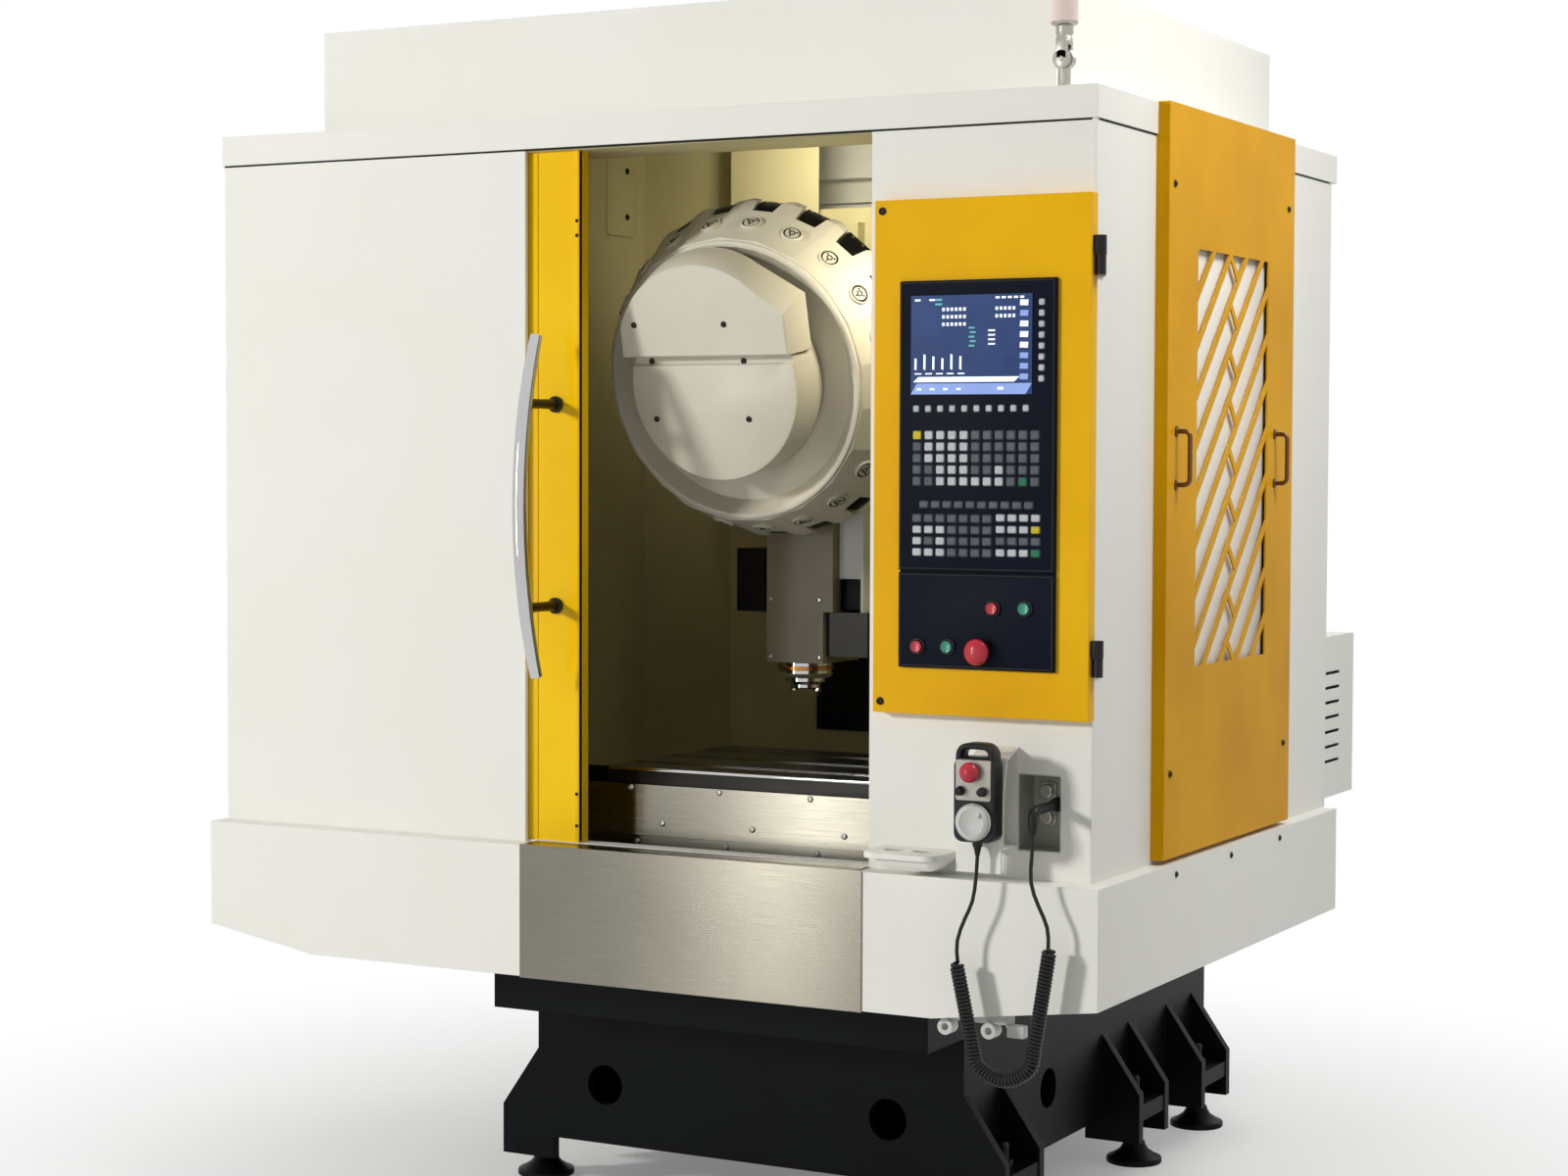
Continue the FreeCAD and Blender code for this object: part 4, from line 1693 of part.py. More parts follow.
def main():
    os.makedirs("parts", exist_ok=True)
    save("base_frame", base_frame())
    save("levelling_feet", Part.makeCompound([foot(p) for p in foot_places()]))
    save("column", column())
    save("saddle", saddle())
    save("saddle_apron", saddle_apron())
    save("table", table())
    save("head", head())
    save("head_covers", head_covers())
    save("spindle", spindle())
    save("x_screw", x_screw())
    save("y_screw", y_screw())
    save("z_screw", z_screw())
    save("turret_drum", turret_drum())
    save("turret_pots", turret_pots())
    save("turret_carrier", turret_carrier())
    save("hub_cover_upper", hub_cover_upper())
    save("hub_cover_lower", hub_cover_lower())
    save("skirt_pan", skirt_pan())
    save("apron_plate", apron_plate())
    save("left_panel", left_panel())
    save("right_front_panel", right_front_panel())
    save("right_side_panel", right_side_panel())
    save("rear_panel", rear_panel())
    save("roof_cover", roof_cover())
    save("top_housing", top_housing())
    save("inner_liner", inner_liner())
    save("way_cover", way_cover())
    save("grille_panel", grille_panel())
    save("grille_handles", grille_handles())
    save("louvred_box", louvred_box())
    save("electrical_cabinet", electrical_cabinet())
    save("cabinet_door", cabinet_door())
    save("door_frame", door_frame())
    save("door_window", door_window())
    save("door_handle", door_handle())
    save("control_door", control_door())
    save("panel_hinges", panel_hinges())
    save("cnc_unit", cnc_unit())
    save("display_glass", display_glass())
    for name, (x, z) in BUTTONS.items():
        save(name, push_button(x, z))
    save("panel_estop", panel_estop())
    save("pendant_body", pendant_body())
    save("pendant_estop", pendant_estop())
    for name, x in PEND_KNOBS.items():
        save(name, pendant_knob(x))
    save("pendant_dial", pendant_dial())
    save("pendant_bracket", pendant_bracket())
    save("strain_relief", strain_relief())
    save("connector_recess", connector_recess())
    save("cord_plug", cord_plug())
    coil, start, stop, way_in, way_out = cord_coil()
    save("cord_coil", coil)
    save("cord_lead", cord_run("cord_lead", lead_points(start, way_in), CORD_R))
    save("cord_tail", cord_run("cord_tail", tail_points(stop, way_out), CORD_R))
    save("tray", tray())
    save("pipe_clamps", pipe_clamps())
    save("lamp_bracket", lamp_bracket())
    save("lamp_head", lamp_head())


if __name__ == "__main__":
    main()
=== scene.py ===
"""Looks of a drilling and tapping centre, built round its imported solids.

Sizes in the classes are millimetres, and become metres where a mesh is made. X runs to the
operator's right, Y to the back and Z up from the floor, as in the solids.
"""

import logging
import math
from dataclasses import dataclass
from enum import Enum

import bmesh
import bpy
import numpy as np
from mathutils import Matrix


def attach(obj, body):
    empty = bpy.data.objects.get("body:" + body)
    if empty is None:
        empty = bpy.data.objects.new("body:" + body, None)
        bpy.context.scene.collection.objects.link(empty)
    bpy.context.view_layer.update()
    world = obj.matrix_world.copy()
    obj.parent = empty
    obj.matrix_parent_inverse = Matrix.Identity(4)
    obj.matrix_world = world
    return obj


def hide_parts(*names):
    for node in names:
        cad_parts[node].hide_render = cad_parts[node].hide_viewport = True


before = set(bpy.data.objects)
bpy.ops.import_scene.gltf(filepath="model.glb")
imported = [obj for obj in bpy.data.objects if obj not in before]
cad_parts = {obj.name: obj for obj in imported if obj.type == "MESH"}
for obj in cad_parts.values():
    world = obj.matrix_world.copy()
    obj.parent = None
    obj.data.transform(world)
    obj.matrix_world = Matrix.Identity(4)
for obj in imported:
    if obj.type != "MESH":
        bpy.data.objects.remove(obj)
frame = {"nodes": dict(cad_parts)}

Pair = tuple[float, float]
Place = tuple[float, float, float]

MM = 0.001
LOG = logging.getLogger("machining_centre")
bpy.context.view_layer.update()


# ---------------------------------------------------------------- places and shapes
class Facing(Enum):
    """Which way a piece looks. The rows are its own right, its own up and its outward way."""

    FRONT = ((1, 0, 0), (0, 0, 1), (0, -1, 0))
    RIGHT = ((0, 1, 0), (0, 0, 1), (1, 0, 0))
    BACK = ((-1, 0, 0), (0, 0, 1), (0, 1, 0))
    TOP = ((1, 0, 0), (0, 1, 0), (0, 0, 1))
    DOWN = ((1, 0, 0), (0, -1, 0), (0, 0, -1))
    TURRET = ((1, 0, 0), (0, -0.19081, 0.98163), (0, -0.98163, -0.19081))

    @property
    def axes(self) -> np.ndarray:
        """The three rows as an array."""
        return np.array(self.value, float)


@dataclass
class Skin:
    """A surface: its points in millimetres and its faces as rows of point numbers."""

    points: np.ndarray
    faces: list[tuple[int, ...]]

    def placed(self, facing: Facing, origin: Place) -> "Skin":
        """The same surface turned to a facing: origin + x right + y up + z out.

        Args:
            facing: Which way the surface's own z looks.
            origin: Where its own zero lies.

        Returns:
            A new surface in the machine's frame.
        """
        return Skin(np.array(origin, float) + self.points @ facing.axes, self.faces)

    def copied(self, places: np.ndarray) -> "Skin":
        """The surface once at each place, as one surface.

        Args:
            places: The (k, 3) offsets of the copies.

        Returns:
            One surface of k parts.
        """
        places = np.asarray(places, float)
        points = (places[:, None, :] + self.points[None]).reshape(-1, 3)
        step = len(self.points)
        faces = [tuple(i + step * k for i in face) for k in range(len(places)) for face in self.faces]
        return Skin(points, faces)


def joined(skins: list[Skin]) -> Skin:
    """Several surfaces as one.

    Args:
        skins: The surfaces.

    Returns:
        One surface holding them all.
    """
    starts = np.cumsum([0] + [len(skin.points) for skin in skins])
    faces = [tuple(i + int(start) for i in face) for skin, start in zip(skins, starts) for face in skin.faces]
    return Skin(np.concatenate([skin.points for skin in skins]), faces)


def lofted(rings: np.ndarray, ring_loop: bool = False) -> Skin:
    """Faces between rings of points: point j of ring i meets j and j + 1 of ring i + 1.

    Args:
        rings: An (m, n, 3) array of m closed rings.
        ring_loop: Whether the last ring meets the first, as on a tyre. Otherwise both ends are capped.

    Returns:
        A closed surface.
    """
    m, n, _ = rings.shape
    rows = np.arange(m if ring_loop else m - 1)
    i, j = np.meshgrid(rows, np.arange(n), indexing="ij")
    low, high = i * n, ((i + 1) % m) * n
    quads = np.stack([low + j, low + (j + 1) % n, high + (j + 1) % n, high + j], axis=-1).reshape(-1, 4)
    faces = [tuple(row) for row in quads.tolist()]
    if not ring_loop:
        faces += [tuple(range(n - 1, -1, -1)), tuple(range((m - 1) * n, m * n))]
    return Skin(rings.reshape(-1, 3), faces)


def circle(count: int) -> np.ndarray:
    """That many equal turns of a full circle, in radians."""
    return np.linspace(0, 2 * math.pi, count, endpoint=False)


def round_spots(radius: float, turn: np.ndarray) -> np.ndarray:
    """Places (r cos t, r sin t, 0) as an (n, 3) array."""
    return np.column_stack([radius * np.cos(turn), radius * np.sin(turn), np.zeros(len(turn))])


def flat_spots(pairs: tuple[Pair, ...] | list[Pair]) -> np.ndarray:
    """Places (a, b, 0) as an (n, 3) array."""
    return np.array([[a, b, 0.0] for a, b in pairs])


def level(outline: np.ndarray, height: float) -> np.ndarray:
    """A flat outline as a ring of points at a height."""
    return np.column_stack([outline, np.full(len(outline), height)])


def turned(profile: list[Pair], sides: int = 48, ring_loop: bool = False, flats: int = 0) -> Skin:
    """A turned form: a point at (radius, height) sweeps (r cos t, r sin t, height).

    Args:
        profile: The (radius, height) pairs in order.
        sides: Points round the axis.
        ring_loop: Whether the profile closes on itself.
        flats: For a socket or nut, the number of flats; the radius is then r / cos of the angle
            from the middle of the nearest flat.

    Returns:
        A closed surface about its own z.
    """
    radius, height = np.array(profile, float).T
    turn = circle(sides)
    reach = np.ones(sides)
    if flats:
        part = 2 * math.pi / flats
        reach = 1 / np.cos((turn + part / 2) % part - part / 2)
    x = radius[:, None] * (reach * np.cos(turn))[None]
    y = radius[:, None] * (reach * np.sin(turn))[None]
    z = np.broadcast_to(height[:, None], x.shape)
    return lofted(np.stack([x, y, z], axis=-1), ring_loop)


def rounded_outline(width: float, height: float, radius: float, steps: int = 6) -> np.ndarray:
    """A rectangle whose corners are quarter circles: corner centre + radius (cos t, sin t).

    Args:
        width: Size along x.
        height: Size along y.
        radius: Corner radius.
        steps: Points in each corner.

    Returns:
        An (n, 2) outline about zero, counter-clockwise.
    """
    radius = min(radius, width / 2 - 1e-3, height / 2 - 1e-3)
    turn = np.linspace(0, math.pi / 2, steps)[None] + (np.arange(4) * math.pi / 2)[:, None]
    cx = np.array([1, -1, -1, 1])[:, None] * (width / 2 - radius)
    cy = np.array([1, 1, -1, -1])[:, None] * (height / 2 - radius)
    return np.stack([cx + radius * np.cos(turn), cy + radius * np.sin(turn)], axis=-1).reshape(-1, 2)


def inset(outline: np.ndarray, depth: float) -> np.ndarray:
    """An outline moved inwards: each point shifts along the mitre of its two edges' inward normals.

    Args:
        outline: An (n, 2) counter-clockwise outline.
        depth: How far each edge moves in.

    Returns:
        The moved outline.
    """
    ahead = np.roll(outline, -1, axis=0) - outline
    ahead /= np.linalg.norm(ahead, axis=1, keepdims=True)
    normal = np.stack([-ahead[:, 1], ahead[:, 0]], axis=1)
    before = np.roll(normal, 1, axis=0)
    share = 1 + np.sum(normal * before, axis=1, keepdims=True)
    return outline + depth * (normal + before) / share


def raised(outline: np.ndarray, levels: list[Pair]) -> Skin:
    """A plate on an outline: one ring for each level, inset by its first number, at its second.

    Args:
        outline: An (n, 2) counter-clockwise outline.
        levels: (inset, height) pairs from the back to the front.

    Returns:
        A closed surface.
    """
    rings = [level(inset(outline, depth) if depth else outline, height) for depth, height in levels]
    return lofted(np.array(rings))


def eased(depth: float, edge: float) -> list[Pair]:
    """Levels of a plate of that depth whose front edge is rounded by a quarter circle."""
    turn = np.linspace(0, math.pi / 2, 4)
    return [(0.0, 0.0)] + [(edge * (1 - math.cos(a)), depth - edge * (1 - math.sin(a))) for a in turn]


def block(x0: float, x1: float, y0: float, y1: float, z0: float, z1: float, edge: float = 1.0) -> Skin:
    """A pressed or moulded block with a rounded outline and eased front and back edges.

    Args:
        x0: Left side.
        x1: Right side.
        y0: Front, which faces the operator.
        y1: Back.
        z0: Bottom.
        z1: Top.
        edge: Radius of its edges.

    Returns:
        A closed surface in the machine's frame.
    """
    depth = y1 - y0
    outline = rounded_outline(x1 - x0, z1 - z0, 1.5 * edge, 4)
    turn = np.linspace(0, math.pi / 2, 3)
    back = [(edge * (1 - math.sin(a)), edge * (1 - math.cos(a))) for a in turn]
    front = [(edge * (1 - math.cos(a)), depth - edge * (1 - math.sin(a))) for a in turn]
    return raised(outline, back + front).placed(Facing.FRONT, ((x0 + x1) / 2, y1, (z0 + z1) / 2))


def swept(path: np.ndarray, side: Place, sections: np.ndarray) -> Skin:
    """Sections along a flat path: point + u side + v (tangent x side).

    Args:
        path: An (m, 3) path that lies in a plane.
        side: The unit normal of that plane.
        sections: An (m, n, 2) array of (u, v) sections, one for each path point.

    Returns:
        A closed surface with capped ends.
    """
    tangent = np.gradient(path, axis=0)
    tangent /= np.linalg.norm(tangent, axis=1, keepdims=True)
    other = np.cross(tangent, np.array(side, float))
    rings = (path[:, None] + sections[..., :1] * np.array(side, float)[None, None]
             + sections[..., 1:] * other[:, None])
    return lofted(rings)


def ring_section(radius: np.ndarray, sides: int = 24) -> np.ndarray:
    """Round sections (r cos t, r sin t), one for each radius, as an (m, sides, 2) array."""
    turn = circle(sides)
    return np.asarray(radius)[:, None, None] * np.stack([np.cos(turn), np.sin(turn)], axis=-1)[None]


# ---------------------------------------------------------------- finishes
def linear(code: str) -> tuple[float, float, float, float]:
    """An sRGB hex colour as linear light.

    Args:
        code: The colour, such as "#e8e6df".

    Returns:
        Red, green, blue and an alpha of 1.
    """
    parts = np.array([int(code[i:i + 2], 16) for i in (1, 3, 5)]) / 255
    light = np.where(parts <= 0.04045, parts / 12.92, ((parts + 0.055) / 1.055) ** 2.4)
    return float(light[0]), float(light[1]), float(light[2]), 1.0


def add_node(tree: bpy.types.NodeTree, kind: str, settings: dict | None = None,
             links: dict | None = None) -> bpy.types.Node:
    """Adds a node with its settings and links.

    Args:
        tree: The node tree.
        kind: The node's type.
        settings: Values by input name or number, and attributes by their own name.
        links: Source sockets by input name or number.

    Returns:
        The node.
    """
    node = tree.nodes.new(kind)
    for key, value in (settings or {}).items():
        if isinstance(key, str) and key[0].islower():
            setattr(node, key, value)
        else:
            node.inputs[key].default_value = value
    for key, source in (links or {}).items():
        tree.links.new(source, node.inputs[key])
    return node


def bare_tree(owner: bpy.types.Material | bpy.types.World) -> bpy.types.NodeTree:
    """Switches the owner's nodes on, empties its tree and returns it."""
    owner.use_nodes = True
    owner.node_tree.nodes.clear()
    return owner.node_tree


def put(name: str, data: bpy.types.ID) -> bpy.types.Object:
    """A new object of that data, linked into the scene."""
    piece = bpy.data.objects.new(name, data)
    bpy.context.scene.collection.objects.link(piece)
    return piece


class Grain(Enum):
    """How a surface was made, as the stretch of its fine pattern along X, Y and Z."""

    PEEL = (1.0, 1.0, 1.0)
    BRUSHED_ALONG_X = (0.02, 1.0, 1.0)
    GROUND_ALONG_X = (0.05, 1.0, 1.0)


@dataclass(frozen=True)
class Finish:
    """A finish with a broad change of tone, a fine grain and light-catching edges.

    The broad tone and the grain are noise on object coordinates, so they stay put when a body
    moves. A grain finer than the picture shows is drawn at about 1 to 2 mm.
    """

    name: str
    colour: str
    toned: str
    roughness: float
    metallic: float = 0.0
    grain: Grain = Grain.PEEL
    grain_mm: float = 1.8
    relief_mm: float = 0.02
    tone_mm: float = 300.0
    rough_swing: float = 0.05
    # painted_glint: the share of lighter specks painted into the colour as glints.
    painted_glint: float = 0.0
    painted_glint_colour: str = "#ffffff"
    edge_mm: float = 1.2
    coat: float = 0.0
    emission: float = 0.0
    specular: float = 0.3
    streak: float = 0.0

    def build(self) -> bpy.types.Material:
        """Makes the material.

        Returns:
            The new material.
        """
        material = bpy.data.materials.new(self.name)
        tree = bare_tree(material)
        place = add_node(tree, "ShaderNodeTexCoord")
        broad = add_node(tree, "ShaderNodeTexNoise", {"Scale": 1 / (self.tone_mm * MM), "Detail": 4.0},
                         {"Vector": place.outputs["Object"]})
        spread = add_node(tree, "ShaderNodeMapRange", {"From Min": 0.36, "From Max": 0.66},
                          {"Value": broad.outputs["Fac"]})
        tone = add_node(tree, "ShaderNodeMixRGB", {"Color1": linear(self.colour), "Color2": linear(self.toned)},
                        {"Fac": spread.outputs["Result"]})
        stretch = add_node(tree, "ShaderNodeMapping", {"Scale": self.grain.value},
                           {"Vector": place.outputs["Object"]})
        fine = add_node(tree, "ShaderNodeTexNoise", {"Scale": 1 / (self.grain_mm * MM), "Detail": 2.0},
                        {"Vector": stretch.outputs["Vector"]})
        colour = tone.outputs["Color"]
        # Lighter specks where the fine grain peaks: painted glints of a texture catching light.
        if self.painted_glint:
            painted_glints = add_node(tree, "ShaderNodeMapRange", {"From Min": 0.5, "From Max": 0.72, "To Max": self.painted_glint},
                              {"Value": fine.outputs["Fac"]})
            mixed = add_node(tree, "ShaderNodeMixRGB", {"Color2": linear(self.painted_glint_colour)},
                             {"Color1": colour, "Fac": painted_glints.outputs["Result"]})
            colour = mixed.outputs["Color"]
        rough = add_node(tree, "ShaderNodeMapRange",
                         {"From Min": 0.3, "From Max": 0.7, "To Min": max(0.02, self.roughness - self.rough_swing),
                          "To Max": self.roughness + self.rough_swing}, {"Value": fine.outputs["Fac"]})
        edge = add_node(tree, "ShaderNodeBevel", {"samples": 4, "Radius": self.edge_mm * MM})
        bump = add_node(tree, "ShaderNodeBump", {"Strength": 1.0, "Distance": self.relief_mm * MM},
                        {"Height": fine.outputs["Fac"], "Normal": edge.outputs["Normal"]})
        settings = {"Metallic": self.metallic, "Specular IOR Level": 0.5 if self.metallic > 0.6 else self.specular,
                    "Coat Weight": self.coat, "Coat Roughness": 0.08}
        links = {"Base Color": colour, "Roughness": rough.outputs["Result"], "Normal": bump.outputs["Normal"]}
        if self.streak:
            along = add_node(tree, "ShaderNodeTangent", {"direction_type": "RADIAL", "axis": "Z"})
            settings.update({"Anisotropic": self.streak, "Anisotropic Rotation": 0.25})
            links["Tangent"] = along.outputs["Tangent"]
        if self.emission:
            settings["Emission Strength"] = self.emission
            links["Emission Color"] = colour
        skin = add_node(tree, "ShaderNodeBsdfPrincipled", settings, links)
        add_node(tree, "ShaderNodeOutputMaterial", None, {"Surface": skin.outputs["BSDF"]})
        return material


@dataclass(frozen=True)
class ClearSheet:
    """A clear or tinted sheet that light passes through."""

    name: str
    colour: str
    roughness: float
    ior: float

    def build(self) -> bpy.types.Material:
        """Makes the material: clear with a faint wipe of haze that changes its gloss.

        Returns:
            The new material.
        """
        material = bpy.data.materials.new(self.name)
        tree = bare_tree(material)
        place = add_node(tree, "ShaderNodeTexCoord")
        haze = add_node(tree, "ShaderNodeTexNoise", {"Scale": 9.0, "Detail": 5.0}, {"Vector": place.outputs["Object"]})
        rough = add_node(tree, "ShaderNodeMapRange", {"To Min": self.roughness, "To Max": self.roughness + 0.06},
                         {"Value": haze.outputs["Fac"]})
        skin = add_node(tree, "ShaderNodeBsdfPrincipled",
                        {"Base Color": linear(self.colour), "IOR": self.ior, "Transmission Weight": 0.92},
                        {"Roughness": rough.outputs["Result"]})
        add_node(tree, "ShaderNodeOutputMaterial", None, {"Surface": skin.outputs["BSDF"]})
        return material


class Paint(Enum):
    """The machine's finishes, each named for its real material."""

    # Powder-coated sheet steel: baked on, it leaves a soft gloss with a fine orange peel.
    WHITE = Finish("white_powder_coated_steel", "#f0f0eb", "#eeeee8", 0.40, specular=0.2)
    CREAM = Finish("cream_enamelled_casting", "#ddd9cb", "#d3cebd", 0.34, grain_mm=3.0, relief_mm=0.05)
    LINER = Finish("cream_powder_coated_liner", "#dbd3a8", "#cec698", 0.38)
    YELLOW = Finish("yellow_powder_coated_steel", "#fbcd02", "#f3bf00", 0.36, specular=0.14)
    # Textured gold-yellow powder: lighter specks painted into its colour as glints where the texture catches light.
    TEXTURED_YELLOW = Finish("textured_yellow_powder_coat", "#f4bc00", "#e8ac00", 0.42, relief_mm=0.08, grain_mm=2.4,
                      painted_glint=0.1, painted_glint_colour="#fbcb20", specular=0.12)
    # Gold powder, with the same lighter specks painted in as glints.
    GOLD = Finish("gold_powder_coated_steel", "#e2a606", "#d19604", 0.38, relief_mm=0.06, grain_mm=2.2,
                  painted_glint=0.1, painted_glint_colour="#e6b220", specular=0.04)
    # Thick satin black on a welded frame: broad waves from hand spraying over weld-cleaned plate.
    BLACK = Finish("satin_black_sprayed_frame", "#0d1012", "#090b0c", 0.44, relief_mm=0.1, grain_mm=5.0,
                   edge_mm=2.5, specular=0.08)
    GREY = Finish("grey_zinc_pressing", "#b4b4ab", "#a5a69c", 0.42, 0.3)
    TAUPE = Finish("warm_grey_enamelled_head", "#988e78", "#8a806b", 0.38, tone_mm=180.0)
    # Brushed stainless sheet: long horizontal scratches that smear reflections upwards.
    BRUSHED = Finish("brushed_stainless_sheet", "#7d7a70", "#6f6c63", 0.25, 1.0, Grain.BRUSHED_ALONG_X, 1.6, 0.003,
                     700.0, 0.03, streak=0.85)
    # Surface-ground cast iron: fine bright lay along the table.
    GROUND = Finish("ground_cast_iron", "#8b8982", "#6f6d66", 0.33, 1.0, Grain.GROUND_ALONG_X, 1.6, 0.04, 160.0, 0.1)
    SCREW = Finish("rolled_bearing_steel", "#a8a8a6", "#8f8f8c", 0.25, 1.0, grain_mm=2.0)
    CHROME = Finish("polished_chrome_plate", "#c4c4c3", "#bababa", 0.07, 1.0, relief_mm=0.003, rough_swing=0.03,
                    edge_mm=0.8)
    BRASS = Finish("turned_brass", "#c8862e", "#b07326", 0.26, 1.0, relief_mm=0.01)
    BRONZE = Finish("bronze_lacquered_zinc", "#6e4d2c", "#553a20", 0.30, 0.8, relief_mm=0.01, edge_mm=0.8)
    OXIDE = Finish("black_oxide_steel", "#26241f", "#1a1916", 0.36, 0.7, relief_mm=0.02, edge_mm=0.6)
    ZINC = Finish("zinc_plated_steel", "#b8b6ad", "#9f9d93", 0.3, 1.0, relief_mm=0.02, edge_mm=0.6)
    # Moulded ABS and nylon: a fine spark-eroded texture from the mould.
    NAVY = Finish("dark_navy_moulded_abs", "#121725", "#0e121d", 0.40, relief_mm=0.03, grain_mm=1.4, edge_mm=0.8,
                  specular=0.06)
    NYLON = Finish("black_moulded_nylon", "#161616", "#0f0f0f", 0.40, relief_mm=0.04, grain_mm=1.4, edge_mm=0.8,
                   specular=0.25)
    RUBBER = Finish("black_pvc_cord_sheath", "#101010", "#0b0b0b", 0.36, relief_mm=0.02, grain_mm=1.2, edge_mm=0.2)
    KEY_WHITE = Finish("pale_silicone_keys", "#c9ccd2", "#bcc0c6", 0.5, tone_mm=40.0, edge_mm=0.6)
    KEY_GREY = Finish("grey_silicone_keys", "#5b606a", "#4f545e", 0.5, tone_mm=40.0, edge_mm=0.6)
    KEY_DARK = Finish("dark_silicone_keys", "#333843", "#2c313b", 0.5, tone_mm=40.0, edge_mm=0.6)
    KEY_YELLOW = Finish("yellow_silicone_keys", "#d9c21e", "#cdb414", 0.5, tone_mm=40.0, edge_mm=0.6)
    KEY_GREEN = Finish("green_silicone_keys", "#1f7a55", "#196a49", 0.5, tone_mm=40.0, edge_mm=0.6)
    RED = Finish("red_moulded_abs", "#c32438", "#b51d30", 0.3, relief_mm=0.01, edge_mm=0.8, coat=0.3)
    GREEN = Finish("green_moulded_abs", "#219077", "#1a8069", 0.3, relief_mm=0.01, edge_mm=0.8, coat=0.3)
    WHITE_ABS = Finish("pale_moulded_abs", "#d4d5d2", "#c8c9c5", 0.36, relief_mm=0.02, edge_mm=0.8)
    PLATE = Finish("anodised_grey_face_plate", "#a4a19a", "#98958d", 0.4, 0.5, relief_mm=0.01, grain_mm=1.0,
                   edge_mm=0.5)
    TUBE = Finish("frosted_lamp_tube", "#ead9d4", "#e2cec8", 0.3, relief_mm=0.005, coat=0.4)
    DISPLAY = Finish("lit_display", "#33497a", "#2b3f6d", 0.25, relief_mm=0.002, tone_mm=90.0, edge_mm=0.3,
                     coat=0.0, emission=0.2, specular=0.1)
    DISPLAY_LIGHT = Finish("lit_display_marks", "#dfe8ef", "#d2dde8", 0.3, relief_mm=0.002, edge_mm=0.1,
                           emission=0.8)
    DISPLAY_SOFT = Finish("lit_display_soft_marks", "#7d93c9", "#7087bf", 0.3, relief_mm=0.002, edge_mm=0.1,
                          emission=0.7)
    DISPLAY_TEAL = Finish("lit_display_teal_marks", "#57a7a5", "#4c9a98", 0.3, relief_mm=0.002, edge_mm=0.1,
                          emission=0.7)
    # Near-black painted shade, put into the roof rim's gaps and under the tray's holes.
    PAINTED_SHADE = Finish("painted_shade_black", "#0c0c0b", "#080808", 0.6, edge_mm=0.2)
    GLASS = ClearSheet("laminated_safety_glass", "#dfe6e0", 0.02, 1.5)


# ---------------------------------------------------------------- workshop
class Workshop:
    """Makes finished pieces, hangs them on their bodies and dresses the solids."""

    def __init__(self, nodes: dict[str, bpy.types.Object]) -> None:
        """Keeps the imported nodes.

        Args:
            nodes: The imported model's objects by name.
        """
        self.nodes = nodes
        self.built: dict[Paint, bpy.types.Material] = {}

    def material(self, paint: Paint) -> bpy.types.Material:
        """The material of a finish, made once."""
        if paint not in self.built:
            self.built[paint] = paint.value.build()
        return self.built[paint]

    def dress(self, paint: Paint, *names: str) -> None:
        """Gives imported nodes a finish.

        Args:
            paint: The finish.
            names: The nodes.
        """
        for name in names:
            node = self.nodes[name]
            if not node.material_slots:
                node.data.materials.append(self.material(paint))
            for slot in node.material_slots:
                slot.material = self.material(paint)
            LOG.info("dressed %s", name)

    def make(self, name: str, skin: Skin, paint: Paint, body: str, replaces: tuple[str, ...] = (),
             crease: float = 38.0) -> bpy.types.Object:
        """Turns a surface into a finished piece on a body.

        Args:
            name: The piece's name.
            skin: Its surface in millimetres, in the machine's frame.
            paint: Its finish.
            body: The body that it rides on.
            replaces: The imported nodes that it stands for.
            crease: Edges sharper than this angle, in degrees, stay sharp.

        Returns:
            The new object.
        """
        mesh = bpy.data.meshes.new(name)
        mesh.from_pydata((skin.points * MM).tolist(), [], skin.faces)
        work = bmesh.new()
        work.from_mesh(mesh)
        bmesh.ops.remove_doubles(work, verts=work.verts, dist=1e-6)
        bmesh.ops.dissolve_degenerate(work, edges=work.edges, dist=1e-7)
        bmesh.ops.recalc_face_normals(work, faces=work.faces)
        work.to_mesh(mesh)
        work.free()
        mesh.shade_smooth()
        mesh.set_sharp_from_angle(angle=math.radians(crease))
        mesh.materials.append(self.material(paint))
        piece = put(name, mesh)
        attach(piece, body)
        if replaces:
            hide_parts(*replaces)
        LOG.info("made %s on %s", name, body)
        return piece


def pan_head(radius: float, height: float) -> Skin:
    """A screw's domed head with a hexagon socket, about its own z.

    The outer rings follow a quarter ellipse, and the socket's rings are hexagonal.

    Args:
        radius: Radius of the head.
        height: How far it stands out.

    Returns:
        A closed surface.
    """
    sides, rings, top_share, socket = 18, 4, 0.62, radius * 0.42
    turn = np.linspace(0, math.pi / 2, rings)[1:]
    slope = [(radius * (top_share + (1 - top_share) * math.cos(a)), height * math.sin(a)) for a in turn]
    dome = turned([(radius, 0.0)] + slope, sides).points.reshape(rings, sides, 3)
    hole = turned([(socket, height), (socket, height * 0.25)], sides, flats=6).points.reshape(2, sides, 3)
    return lofted(np.concatenate([dome, hole]))


